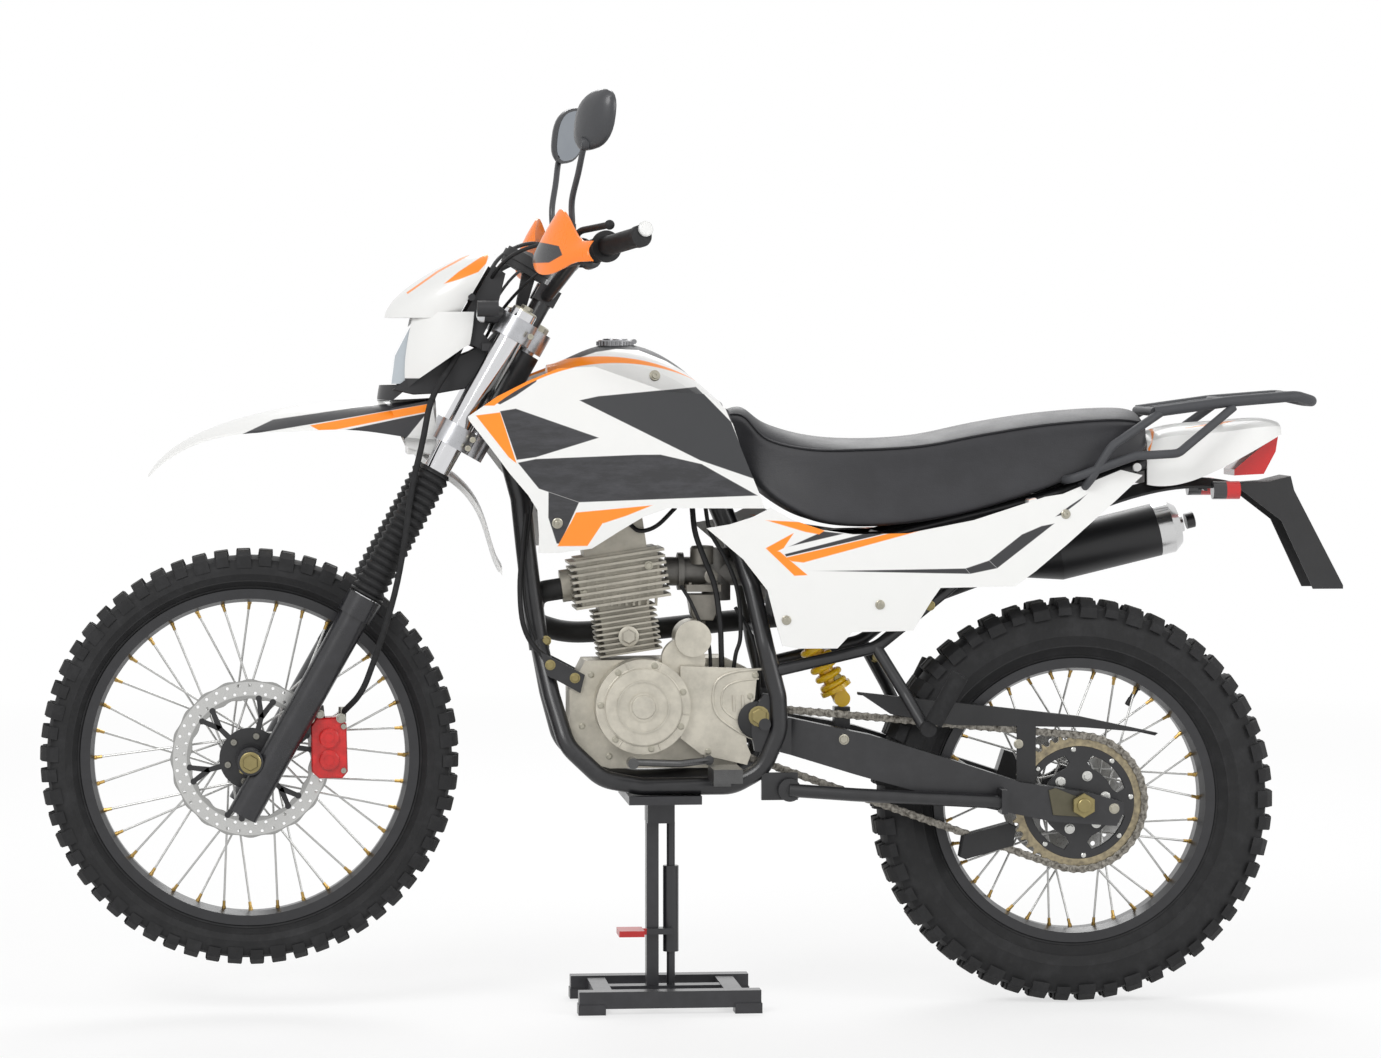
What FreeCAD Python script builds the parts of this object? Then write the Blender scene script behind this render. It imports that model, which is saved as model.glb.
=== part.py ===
import FreeCAD, Part
import Sketcher
import math
import os
import re
from FreeCAD import Placement, Rotation, Vector

# Enduro dirt bike held under its frame by a hydraulic lift stand, in millimetres.
# Front wheel towards -X, left side towards -Y, floor at z = 0.

doc = FreeCAD.newDocument("EnduroBike")
sheet = doc.addObject("Spreadsheet::Sheet", "Sizes")

sizes = {
    # stance
    "wheelbase": 1370,
    "rear_axle_x": 630.5,
    "front_axle_height": 421,
    "rake_angle": 29.4,
    "fork_lead": 32,
    "clamp_offset": 38,
    "fork_half_spacing": 100,
    "seat_gap": 0.3,
    "running_fit": 0.05,
    "overrun": 20,
    # tyres and rims
    "front_tyre_radius": 343,
    "front_tyre_width": 82,
    "rear_tyre_radius": 338,
    "rear_tyre_width": 104,
    "tyre_wall": 9,
    "front_rim_radius": 277,
    "front_rim_width": 54,
    "rear_rim_radius": 238,
    "rear_rim_width": 70,
    "rim_flange": 12,
    "rim_depth": 20,
    "rim_wall": 4,
    "spoke_radius": 1.8,
    # hubs, discs, sprockets
    "axle_radius": 10,
    "axle_wall": 4,
    "hub_barrel_radius": 24,
    "front_hub_flange_radius": 36,
    "rear_hub_flange_radius": 50,
    "hub_flange_width": 7,
    "front_hub_half": 50,
    "front_flange_half": 32,
    "rear_hub_half": 62,
    "rear_flange_half": 36,
    "front_disc_radius": 130,
    "front_disc_band": 34,
    "front_disc_y": 62,
    "disc_thickness": 4,
    "disc_hole_radius": 4,
    "rear_disc_radius": 110,
    "rear_disc_band": 30,
    "chain_pitch": 15.875,
    "rear_teeth": 44,
    "front_teeth": 14,
    "roller_radius": 5.1,
    "chain_plane": 66,
    "sprocket_thickness": 6,
    "tooth_gap": 1.2,
    "chain_half_height": 6.5,
    "chain_width": 14,
    "output_x": 40,
    "output_z": 470,
    # fork
    "fork_tube_radius": 21.5,
    "slider_radius": 25,
    "slider_bottom": 83,
    "slider_top": 324,
    "gaiter_top": 562,
    "gaiter_radius": 28.5,
    "gaiter_wall": 3,
    "axle_lug_radius": 21,
    "axle_lug_half": 24,
    "lower_clamp_z": 625,
    "upper_clamp_z": 825,
    "clamp_height": 36,
    "clamp_wall": 11,
    "fork_top": 856,
    "stem_radius": 14,
    "head_wall": 11,
    # swingarm and axle
    "arm_inner": 77,
    "arm_width": 34,
    "pivot_x": 102,
    "pivot_z": 475,
    "pivot_radius": 18,
    "pivot_half": 76,
    # engine
    "crankcase_half": 62,
    "engine_tilt": 8.6,
    "fin_pitch": 9,
    "fin_thickness": 3,
    # body tubes
    "cradle_radius": 14.5,
    "down_tube_radius": 17,
    "rail_radius": 10,
    "bar_radius": 11,
    # stand
    "stand_length": 300,
    "stand_spacing": 200,
    "stand_bar": 28,
    "stand_bar_width": 30,
    "foot_height": 10,
    "stand_top": 358,
    "stand_x": -62,
    # frame, from the swingarm pivot
    "frame_reach": 500,
    "frame_width": 100,
    "backbone_radius": 19,
    "plate_wall": 10,
    # engine, from the output shaft
    "crankcase_length": 315,
    "crankcase_height": 180,
    "flywheel_x": -98,
    "flywheel_z": 505,
    "flywheel_radius": 78,
    "cover_y": 102,
    "clutch_radius": 84,
    "starter_radius": 30,
    "cylinder_x": -112,
    "barrel_height": 84,
    "barrel_width": 104,
    "head_height": 84,
    "head_length": 158,
    "cam_cover_height": 64,
    "head_pipe_radius": 18,
    "muffler_radius": 45,
    "muffler_length": 285,
    "muffler_y": 131,
    "carb_radius": 24,
    "shock_radius": 27,
    # bodywork
    "panel_wall": 4,
    "tank_length": 300,
    "tank_height": 250,
    "tank_half": 112,
    "tank_front_x": -250,
    "tank_base_z": 850,
    "shroud_length": 500,
    "shroud_height": 300,
    "shroud_flare": 168,
    "seat_length": 700,
    "seat_height": 200,
    "seat_half": 118,
    "seat_front_x": 42,
    "seat_base_z": 797,
    "panel_length": 750,
    "panel_height": 300,
    "panel_half": 128,
    "tail_length": 250,
    "tail_half": 85,
    "rack_length": 400,
    "rack_half": 80,
    "rack_z": 995,
    "plate_bracket_length": 300,
    "tail_tip_x": 1082.5,
    "fender_length": 470,
    "fender_half": 90,
    "fender_top_z": 1008,
    "cowl_height": 240,
    "cowl_half": 96,
    "cowl_depth": 200,
    "bar_half": 386,
    "bar_rise": 137,
    "bar_sweep": 62,
    "riser_height": 57,
    "grip_radius": 16,
    "mirror_height": 107,
    "mirror_width": 112,
    "mirror_wall": 26,
    "mirror_y": 305,
    "guard_height": 96,
    "hose_radius": 5,
    "peg_length": 95,
    "side_stand_length": 350,
    "side_stand_y": 116,
    "side_stand_lift": 5.5,
}

for row, (alias, value) in enumerate(sizes.items(), start=1):
    sheet.set("A%d" % row, alias)
    sheet.set("B%d" % row, str(value))
    sheet.setAlias("B%d" % row, alias)
doc.recompute()


class Reader:
    """Sizes read back from the sheet by their alias."""

    def __getattr__(self, alias):
        return float(sheet.get(alias))


D = Reader()
WORD = re.compile(r"[a-z][a-z_0-9]*")

pieces = []
Y_AXIS = Vector(0, 1, 0)


def linked(text):
    """An expression whose words are cells of the sheet."""
    return WORD.sub(lambda m: "Sizes." + m.group() if m.group() in sizes else m.group(), text)


def bind(thing, prop, text):
    thing.setExpression(prop, linked(text))


def locate(thing, at):
    for letter, text in zip("xyz", at):
        if text != "0":
            bind(thing, "Placement.Base." + letter, text)


def keep(label, thing):
    thing.Label = label
    pieces.append(thing)
    return thing


TURNS = {
    "x": Rotation(Vector(0, 1, 0), 90),
    "y": Rotation(Vector(1, 0, 0), -90),
    "z": Rotation(),
}


def rod(name, radius, length, at, axis="y"):
    """A cylinder centred at a point, along one axis."""
    thing = doc.addObject("Part::Cylinder", name)
    bind(thing, "Radius", radius)
    bind(thing, "Height", length)
    thing.Placement = Placement(Vector(), TURNS[axis])
    at = [("(%s) - (%s) / 2" % (text, length) if letter == axis else text)
          for letter, text in zip("xyz", at)]
    locate(thing, at)
    return thing


def block(name, size, at):
    """A box centred at a point."""
    thing = doc.addObject("Part::Box", name)
    for prop, text in zip(("Length", "Width", "Height"), size):
        bind(thing, prop, text)
    locate(thing, ["(%s) - (%s) / 2" % pair for pair in zip(at, size)])
    return thing


def fused(name, things):
    thing = doc.addObject("Part::MultiFuse", name)
    thing.Shapes = things
    return thing


def bored(name, base, tools):
    thing = doc.addObject("Part::Cut", name)
    thing.Base = base
    thing.Tool = tools[0] if len(tools) == 1 else fused(name + "_tools", tools)
    return thing


def group(name, things):
    """Like solids of one node that don't touch."""
    thing = doc.addObject("Part::Compound", name)
    thing.Links = things
    return thing


def solid(name, shape):
    thing = doc.addObject("Part::Feature", name)
    thing.Shape = shape
    return thing


def mirrored(name, source):
    thing = doc.addObject("Part::Mirroring", name)
    thing.Source = source
    thing.Normal = Y_AXIS
    return thing


def plane(body, role):
    return [item for item in body.Origin.OriginFeatures if item.Role == role][0]


def outline(body, name, role, points):
    """A closed sketch through points given as pairs of expressions."""
    sketch = body.newObject("Sketcher::SketchObject", name)
    sketch.AttachmentSupport = [(plane(body, role), "")]
    sketch.MapMode = "FlatFace"
    spots = [Vector(math.cos(k), math.sin(k), 0) for k in range(len(points))]
    for a, b in zip(spots, spots[1:] + spots[:1]):
        sketch.addGeometry(Part.LineSegment(a, b), False)
    last = len(points)
    for k in range(last):
        sketch.addConstraint(Sketcher.Constraint("Coincident", k, 2, (k + 1) % last, 1))
    for k, point in enumerate(points):
        for kind, text in zip(("DistanceX", "DistanceY"), point):
            row = sketch.addConstraint(Sketcher.Constraint(kind, -1, 1, k, 1, 1))
            bind(sketch, "Constraints[%d]" % row, text)
    return sketch


def turned(name, points, at=("0", "0", "0")):
    """A PartDesign body turned about its own Y axis; points are (radius, y)."""
    body = doc.addObject("PartDesign::Body", name)
    sketch = outline(body, name + "_profile", "XY_Plane", points)
    turn = body.newObject("PartDesign::Revolution", name + "_turn")
    turn.Profile = sketch
    turn.ReferenceAxis = (sketch, ["V_Axis"])
    turn.Angle = 360
    body.Tip = turn
    locate(body, at)
    return body


def padded(name, role, points, depth, at=("0", "0", "0")):
    """A PartDesign body: an outline in a plane, padded half to each side."""
    body = doc.addObject("PartDesign::Body", name)
    sketch = outline(body, name + "_outline", role, points)
    pad = body.newObject("PartDesign::Pad", name + "_pad")
    pad.Profile = sketch
    bind(pad, "Length", depth)
    pad.Midplane = True
    body.Tip = pad
    locate(body, at)
    return body


# the fork frame: origin on the front axle, z up along the fork, x to the rear
FRONT = ("rear_axle_x - wheelbase", "0", "front_axle_height")
REAR = ("rear_axle_x", "0", "rear_tyre_radius")


def raked(thing):
    """Puts a piece of the fork frame on the bike."""
    thing.Placement = Placement(Vector(), Rotation(Y_AXIS, D.rake_angle))
    bind(thing, "Placement.Rotation.Angle", "rake_angle")
    locate(thing, FRONT)
    return thing


def fork_frame():
    base = Vector(D.rear_axle_x - D.wheelbase, 0, D.front_axle_height)
    return Placement(base, Rotation(Y_AXIS, D.rake_angle))


def on_fork(x, y, z):
    return fork_frame().multVec(Vector(x, y, z))


def route(points, bend):
    """Straight runs joined by tangent arcs of about the radius bend."""
    edges = []
    start = points[0]
    for before, corner, after in zip(points, points[1:], points[2:]):
        back = (before - corner).normalize()
        ahead = (after - corner).normalize()
        half = back.getAngle(ahead) / 2
        run_share = 0.45
        room = run_share * min((before - corner).Length, (after - corner).Length)
        reach = min(bend / math.tan(half), room)
        radius = reach * math.tan(half)
        first = corner + back * reach
        last = corner + ahead * reach
        inward = (back + ahead).normalize()
        middle = corner + inward * (radius / math.sin(half) - radius)
        edges.append(Part.LineSegment(start, first).toShape())
        edges.append(Part.Arc(first, middle, last).toShape())
        start = last
    edges.append(Part.LineSegment(start, points[-1]).toShape())
    return Part.Wire(edges)


def pipe(points, radius, bend):
    path = route(points, bend)
    ring = Part.Circle(points[0], points[1] - points[0], radius).toShape()
    return path.makePipeShell([Part.Wire([ring])], True, False)


def slab(points, low, high):
    """A side outline of (x, z) points between two values of y."""
    corners = [Vector(x, low, z) for x, z in points]
    face = Part.Face(Part.makePolygon(corners + corners[:1]))
    return face.extrude(Vector(0, high - low, 0))


def placed(shares, origin, size):
    """Outline points from shares of a piece's length and height."""
    return [(origin[0] + a * size[0], origin[1] + b * size[1]) for a, b in shares]


def skin(stations, wall, along="x"):
    """A curved sheet lofted through thin sections: outer arc through three points."""
    rings = []
    for at, low, mid, high in stations:
        outer = [Vector(at, *point) for point in (low, mid, high)]
        inner = [point - Vector(0, wall, 0) for point in outer]
        edges = [
            Part.Arc(*outer).toShape(),
            Part.LineSegment(outer[2], inner[2]).toShape(),
            Part.Arc(*reversed(inner)).toShape(),
            Part.LineSegment(inner[0], outer[0]).toShape(),
        ]
        rings.append(Part.Wire(edges))
    return Part.makeLoft(rings, True, False)


def arch(stations, wall):
    """A mudguard sheet lofted through arched sections (x, z, half width, drop)."""
    rings = []
    for x, z, half, drop in stations:
        outer = [Vector(x, -half, z - drop), Vector(x, 0, z), Vector(x, half, z - drop)]
        inner = [point - Vector(0, 0, wall) for point in outer]
        edges = [
            Part.Arc(*outer).toShape(),
            Part.LineSegment(outer[2], inner[2]).toShape(),
            Part.Arc(*reversed(inner)).toShape(),
            Part.LineSegment(inner[0], outer[0]).toShape(),
        ]
        rings.append(Part.Wire(edges))
    return Part.makeLoft(rings, True, False)


def crowned(stations):
    """A solid lofted through sections (x, bottom, top, low half, top half, crown)."""
    rings = []
    for x, bottom, top, low, high, crown in stations:
        corners = [Vector(x, -low, bottom), Vector(x, low, bottom), Vector(x, high, top - crown)]
        left = Vector(x, -high, top - crown)
        edges = [
            Part.LineSegment(corners[0], corners[1]).toShape(),
            Part.LineSegment(corners[1], corners[2]).toShape(),
            Part.Arc(corners[2], Vector(x, 0, top), left).toShape(),
            Part.LineSegment(left, corners[0]).toShape(),
        ]
        rings.append(Part.Wire(edges))
    return Part.makeLoft(rings, True, False)


def largest(shape):
    return max(shape.Solids, key=lambda part: part.Volume)


def standing_off(post, carrier, way):
    """The part of a post that ends a seat gap short of what carries it, looking back along a way."""
    moved = carrier.copy()
    moved.translate(way * D.seat_gap)
    return max(post.cut(moved).Solids, key=lambda part: part.CenterOfMass.dot(way))


def both(shape):
    """A shape and its mirror image about the centre plane."""
    return Part.makeCompound([shape, shape.mirror(Vector(), Y_AXIS)])


# wheels


def tyre(label, end, at):
    r = end + "_tyre_radius"
    w = end + "_tyre_width / 2"
    f = end + "_rim_radius"
    b = "(%s_rim_width / 2 - rim_wall - seat_gap)" % end
    outer = [
        (f + " - rim_flange + seat_gap", b),
        (f, b),
        ("%s * 0.55 + %s * 0.45" % (f, r), w),
        ("%s * 0.15 + %s * 0.85" % (f, r), "%s * 0.96" % w),
        (r, "%s * 0.55" % w),
    ]
    inner = [
        (r + " - tyre_wall * 2", "%s * 0.45" % w),
        ("%s * 0.55 + %s * 0.45" % (f, r), w + " - tyre_wall"),
        (f + " - rim_flange + seat_gap", b + " - tyre_wall"),
    ]
    half = outer + [(x, y) for x, y in inner]
    mirror = [(x, "-(%s)" % y) for x, y in half]
    up = outer
    down = [(x, "-(%s)" % y) for x, y in reversed(outer)]
    back = [(x, "-(%s)" % y) for x, y in reversed(inner)]
    front = inner
    return keep(label, turned(label + "_body", up + down + back + front, at))


def rim(label, end, at):
    r = end + "_rim_radius"
    w = end + "_rim_width / 2"
    seat = r + " - rim_flange"
    well = r + " - rim_depth + rim_wall"
    outer = [
        (r, w),
        (r, w + " - rim_wall"),
        (seat, w + " - rim_wall"),
        (well, "%s * 0.4" % w),
    ]
    inner = [
        (r + " - rim_depth - rim_wall / 2", "%s * 0.4" % w),
        (seat + " - rim_wall", w),
    ]
    down = [(x, "-(%s)" % y) for x, y in reversed(outer)]
    back = [(x, "-(%s)" % y) for x, y in reversed(inner)]
    return keep(label, turned(label + "_body", outer + down + back + inner, at))


def hub(label, end, at):
    half = end + "_hub_half"
    mid = end + "_flange_half"
    top = end + "_hub_flange_radius"
    bore = "axle_radius + running_fit"
    side = [
        (bore, half),
        ("hub_barrel_radius", half),
        ("hub_barrel_radius", mid + " + hub_flange_width"),
        (top, mid + " + hub_flange_width / 2"),
        (top, mid + " - hub_flange_width / 2"),
        ("hub_barrel_radius", mid + " - hub_flange_width"),
    ]
    down = [(x, "-(%s)" % y) for x, y in reversed(side)]
    return keep(label, turned(label + "_body", side + down, at))


def spokes(label, end, at):
    """Four sets of crossed spokes from the hub flanges to the rim."""
    count = 36
    lace_angle = 62
    size = {name: getattr(D, end + "_" + name) for name in
            ("rim_radius", "hub_flange_radius", "flange_half")}
    outer = size["rim_radius"] - D.rim_depth - D.rim_wall / 2 - D.seat_gap
    inner = size["hub_flange_radius"] + D.seat_gap
    wires = []
    for k in range(count):
        side = 1 if k % 2 else -1
        lean = 1 if k % 4 < 2 else -1
        turn = math.radians(360 * k / count)
        lace = turn + lean * math.radians(lace_angle)
        shift = D.spoke_radius * lean + D.spoke_radius / 2 * lean
        start = Vector(inner * math.cos(lace), side * (size["flange_half"] + shift), inner * math.sin(lace))
        finish = Vector(outer * math.cos(turn), side * D.spoke_radius * 3, outer * math.sin(turn))
        run = finish - start
        wires.append(Part.makeCylinder(D.spoke_radius, run.Length + D.overrun,
                                       start - run.normalize() * (D.overrun / 2), run))
    ring = Part.makeCylinder(outer, D.overrun * 10, Vector(0, -D.overrun * 5, 0), Y_AXIS)
    ring = ring.cut(Part.makeCylinder(inner, D.overrun * 10, Vector(0, -D.overrun * 5, 0), Y_AXIS))
    thing = solid(label, Part.makeCompound([wire.common(ring).Solids[0] for wire in wires]))
    thing.Placement = Placement(Vector(), Rotation())
    locate(thing, at)
    return keep(label, thing)


for end, at in (("front", FRONT), ("rear", REAR)):
    tyre(end + "_tyre", end, at)
    rim(end + "_rim", end, at)
    hub(end + "_hub", end, at)
    spokes(end + "_spokes", end, at)


def drilled(body, name, radius, distance, count):
    """A ring of round holes through a turned body."""
    sketch = body.newObject("Sketcher::SketchObject", name)
    sketch.AttachmentSupport = [(plane(body, "XZ_Plane"), "")]
    sketch.MapMode = "FlatFace"
    sketch.addGeometry(Part.Circle(Vector(1, 0, 0), Vector(0, 0, 1), 1), False)
    bind(sketch, "Constraints[%d]" % sketch.addConstraint(Sketcher.Constraint("Radius", 0, 1)), radius)
    row = sketch.addConstraint(Sketcher.Constraint("DistanceX", -1, 1, 0, 3, 1))
    bind(sketch, "Constraints[%d]" % row, distance)
    sketch.addConstraint(Sketcher.Constraint("PointOnObject", 0, 3, -1))
    pocket = body.newObject("PartDesign::Pocket", name + "_hole")
    pocket.Profile = sketch
    pocket.Type = 1
    pocket.Midplane = True
    pattern = body.newObject("PartDesign::PolarPattern", name + "_ring")
    pattern.Originals = [pocket]
    pattern.Axis = (plane(body, "Y_Axis"), [""])
    pattern.Angle = 360
    pattern.Occurrences = count
    body.Tip = pattern


def disc(label, end, y, at, count):
    """A drilled brake disc with a carrier ring seated on the hub."""
    outer = end + "_disc_radius"
    band = "(%s_disc_radius - %s_disc_band)" % (end, end)
    seat = "hub_barrel_radius + seat_gap"
    half = "disc_thickness / 2"
    low = "(%s) - %s" % (y, half)
    high = "(%s) + %s" % (y, half)
    body = turned(label + "_body", [(outer, low), (outer, high), (seat, high), (seat, low)], at)
    drilled(body, label + "_band_hole", "disc_hole_radius", "%s - %s_disc_band / 2" % (outer, end), count)
    drilled(body, label + "_window", "(%s - hub_barrel_radius) * 0.3" % band,
            "(%s + hub_barrel_radius) / 2" % band, 6)
    return keep(label, body)


disc("front_disc", "front", "-front_hub_half + disc_thickness", FRONT, 36)
disc("rear_disc", "rear", "rear_hub_half - disc_thickness", REAR, 24)

# the sprocket's teeth stay inside the circle that the chain's rollers leave free
pitch_radius = "(chain_pitch / (2 * sin(180 / rear_teeth)))"
tooth = pitch_radius + " - roller_radius - tooth_gap"
low = "-chain_plane - sprocket_thickness / 2"
high = "-chain_plane + sprocket_thickness / 2"
sprocket = turned("sprocket_body", [(tooth, low), (tooth, high), ("axle_radius + seat_gap", high),
                                    ("axle_radius + seat_gap", low)], REAR)
drilled(sprocket, "sprocket_window", "rear_hub_flange_radius * 0.32", "rear_hub_flange_radius * 1.5", 8)
keep("rear_sprocket", sprocket)

# front axle clamped in the fork, rear axle in the swingarm
axle = rod("front_axle_rod", "axle_radius", "fork_half_spacing * 2 + axle_lug_half * 2 + axle_wall * 2", ("0", "0", "0"))
sleeves = [bored("front_spacer" + tag, rod("front_spacer_out" + tag, "axle_radius + axle_wall",
           "fork_half_spacing - axle_lug_half - front_hub_half - seat_gap * 2",
           ("0", sign + "(fork_half_spacing - axle_lug_half + front_hub_half) / 2", "0")),
           [rod("front_spacer_in" + tag, "axle_radius", "fork_half_spacing",
                ("0", sign + "(fork_half_spacing - axle_lug_half + front_hub_half) / 2", "0"))])
           for tag, sign in (("_l", "-"), ("_r", ""))]
front_axle = fused("front_axle_body", [axle] + sleeves)
locate(front_axle, FRONT)
keep("front_axle", front_axle)

arm_outer = "(arm_inner + arm_width)"
axle = rod("rear_axle_rod", "axle_radius", arm_outer + " * 2 + axle_wall * 6", ("0", "0", "0"))
nuts = [rod("rear_axle_nut" + tag, "axle_radius * 1.7", "axle_wall * 2",
            ("0", sign + "(arm_inner + arm_width + axle_wall + seat_gap)", "0"))
        for tag, sign in (("_l", "-"), ("_r", ""))]
rear_axle = fused("rear_axle_body", [axle] + nuts)
locate(rear_axle, REAR)
keep("rear_axle", rear_axle)

# fork, all in the fork frame


def pair(name, make):
    left = make(name + "_l", "-fork_half_spacing")
    right = make(name + "_r", "fork_half_spacing")
    return raked(group(name + "_pair", [left, right]))


def tube(name, y):
    return rod(name, "fork_tube_radius", "fork_top - slider_top - seat_gap",
               ("fork_lead", y, "(fork_top + slider_top + seat_gap) / 2"), "z")


keep("fork_tubes", pair("fork_tube", tube))


def slider(name, y):
    leg = rod(name + "_leg", "slider_radius", "slider_top + slider_bottom",
              ("fork_lead", y, "(slider_top - slider_bottom) / 2"), "z")
    lug = rod(name + "_lug", "axle_lug_radius", "axle_lug_half * 2", ("0", y, "0"))
    collar = rod(name + "_collar", "slider_radius + 3 * seat_gap * 5", "clamp_height",
                 ("fork_lead", y, "slider_top - clamp_height / 2"), "z")
    bore = rod(name + "_bore", "axle_radius + seat_gap", "axle_lug_half * 4", ("0", y, "0"))
    return bored(name, fused(name + "_solid", [leg, lug, collar]), [bore])


keep("fork_sliders", pair("fork_slider", slider))


def gaiter(name, y):
    """A ribbed rubber boot turned about the fork tube."""
    folds = 11
    inner = "fork_tube_radius + seat_gap"
    points = []
    length = "(gaiter_top - slider_top - seat_gap)"
    for k in range(folds * 2 + 1):
        radius = "gaiter_radius" if k % 2 else "gaiter_radius - gaiter_wall"
        points.append((radius, "slider_top + seat_gap + %s * %d / %d" % (length, k, folds * 2)))
    points.append((inner, "gaiter_top"))
    points.append((inner, "slider_top + seat_gap"))
    body = turned(name, points, ("fork_lead", y, "0"))
    body.Placement = Placement(body.Placement.Base, Rotation(Vector(1, 0, 0), 90))
    return body


keep("fork_gaiters", pair("fork_gaiter", gaiter))


bridge_share = 0.7


def clamp(name, z):
    """A fork clamp: a waisted plate with two bored ears and the steering stem's boss."""
    reach = "(fork_tube_radius + clamp_wall)"
    ears = [rod(name + "_ear" + tag, reach, "clamp_height", ("fork_lead", y, z), "z")
            for tag, y in (("_l", "-fork_half_spacing"), ("_r", "fork_half_spacing"))]
    bridge = block(name + "_bridge", ("fork_tube_radius * 1.8", "fork_half_spacing * 2", "clamp_height * %s" % bridge_share),
                   ("fork_lead + clamp_offset * 0.35", "0", z))
    boss = rod(name + "_boss", "stem_radius + head_wall", "clamp_height", ("fork_lead + clamp_offset", "0", z), "z")
    bores = [rod(name + "_bore" + tag, "fork_tube_radius + seat_gap", "clamp_height * 2", ("fork_lead", y, z), "z")
             for tag, y in (("_l", "-fork_half_spacing"), ("_r", "fork_half_spacing"))]
    return bored(name, fused(name + "_solid", ears + [bridge, boss]), bores)


lower = clamp("lower_clamp", "lower_clamp_z")
upper = clamp("upper_clamp", "upper_clamp_z")
stem = rod("steering_stem", "stem_radius", "upper_clamp_z - lower_clamp_z",
           ("fork_lead + clamp_offset", "0", "(upper_clamp_z + lower_clamp_z) / 2"), "z")
keep("triple_clamps", raked(fused("clamps_and_stem", [lower, upper, stem])))

# frame


def near_pivot(share):
    """A point given as shares of the frame's reach and width, from the swingarm pivot."""
    return Vector(D.pivot_x + share[0] * D.frame_reach, share[1] * D.frame_width,
                  D.pivot_z + share[2] * D.frame_reach)


down_tube_shares = [(-0.86, 0, 1.0), (-0.79, 0, 0.74), (-0.772, 0, 0.57), (-0.758, 0, 0.45), (-0.728, 0, 0.24)]
cradle_shares = [(-0.732, 0.02, 0.27), (-0.694, 0.45, 0.09), (-0.648, 0.8, -0.07), (-0.534, 0.9, -0.178),
                 (-0.404, 0.9, -0.204), (-0.104, 0.9, -0.204), (-0.004, 0.93, -0.15), (0.05, 0.95, -0.02),
                 (0.046, 0.95, 0.09), (0.006, 0.9, 0.25), (-0.034, 0.6, 0.45), (-0.09, 0.2, 0.62)]
backbone_shares = [(-0.834, 0, 1.11), (-0.604, 0, 1.0), (-0.324, 0, 0.87), (-0.144, 0, 0.75), (-0.09, 0, 0.62)]


def across(share):
    return (share[0], -share[1], share[2])


shock_head_share = (0.13, 0, 0.335)
shock_bar_share = (-0.005, 0.86, 0.3)
engine_plate_shares = [(-0.73, 0.235), (-0.71, 0.16), (-0.6, 0.1), (-0.585, 0.16), (-0.66, 0.2)]


def frame_tubes(grow):
    bend = D.frame_reach * 0.12
    tubes = [
        pipe([near_pivot(share) for share in down_tube_shares], D.down_tube_radius + grow, bend),
        pipe([near_pivot(share) for share in backbone_shares], D.backbone_radius + grow, bend),
        pipe([near_pivot(share) for share in cradle_shares], D.cradle_radius + grow, bend),
        pipe([near_pivot(across(share)) for share in cradle_shares], D.cradle_radius + grow, bend),
    ]
    stem_x = D.fork_lead + D.clamp_offset
    foot = on_fork(stem_x, 0, D.lower_clamp_z + D.clamp_height / 2 + D.head_wall / 2)
    top = on_fork(stem_x, 0, D.upper_clamp_z - D.clamp_height / 2 - D.head_wall / 2)
    tubes.append(Part.makeCylinder(D.stem_radius + D.head_wall + grow, (top - foot).Length, foot, top - foot))
    bar = near_pivot(shock_bar_share)
    tubes.append(Part.makeCylinder(D.rail_radius + grow, bar.y * 2, Vector(bar.x, -bar.y, bar.z), Y_AXIS))
    mount = near_pivot((-0.69, 0, 0.165))
    width = D.chain_plane * 1.52 + D.seat_gap * 2 + D.plate_wall * 1.2
    tubes.append(Part.makeCylinder(D.rail_radius * 0.8 + grow, width, Vector(mount.x, -width / 2, mount.z), Y_AXIS))
    eye = near_pivot(shock_head_share)
    reach = eye.x - D.shock_radius / 2 - D.seat_gap - bar.x
    tubes.append(Part.makeBox(reach + grow, D.shock_radius + grow * 2, D.rail_radius * 1.6 + grow * 2,
                              Vector(bar.x, -D.shock_radius / 2 - grow, eye.z - D.rail_radius * 0.8 - grow)))
    half = D.pivot_half + D.seat_gap
    for side in (-1, 1):
        near = D.chain_plane * 0.76 + D.seat_gap
        plate_shares = [(D.pivot_x + a * D.frame_reach, D.pivot_z + b * D.frame_reach) for a, b in engine_plate_shares]
        tubes.append(slab(plate_shares, min(side * (near - grow), side * (near + D.plate_wall * 0.6 + grow)),
                          max(side * (near - grow), side * (near + D.plate_wall * 0.6 + grow))))
        low = min(side * half, side * (half + D.plate_wall * 2))
        plate = [(-0.03, -0.09), (0.05, -0.1), (0.055, 0.09), (0.0, 0.1), (-0.042, 0.03), (-0.042, -0.03)]
        plate_shares = [(D.pivot_x + a * D.frame_reach, D.pivot_z + b * D.frame_reach) for a, b in plate]
        tubes.append(slab(plate_shares, low, low + D.plate_wall * 2))
    return tubes


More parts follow.
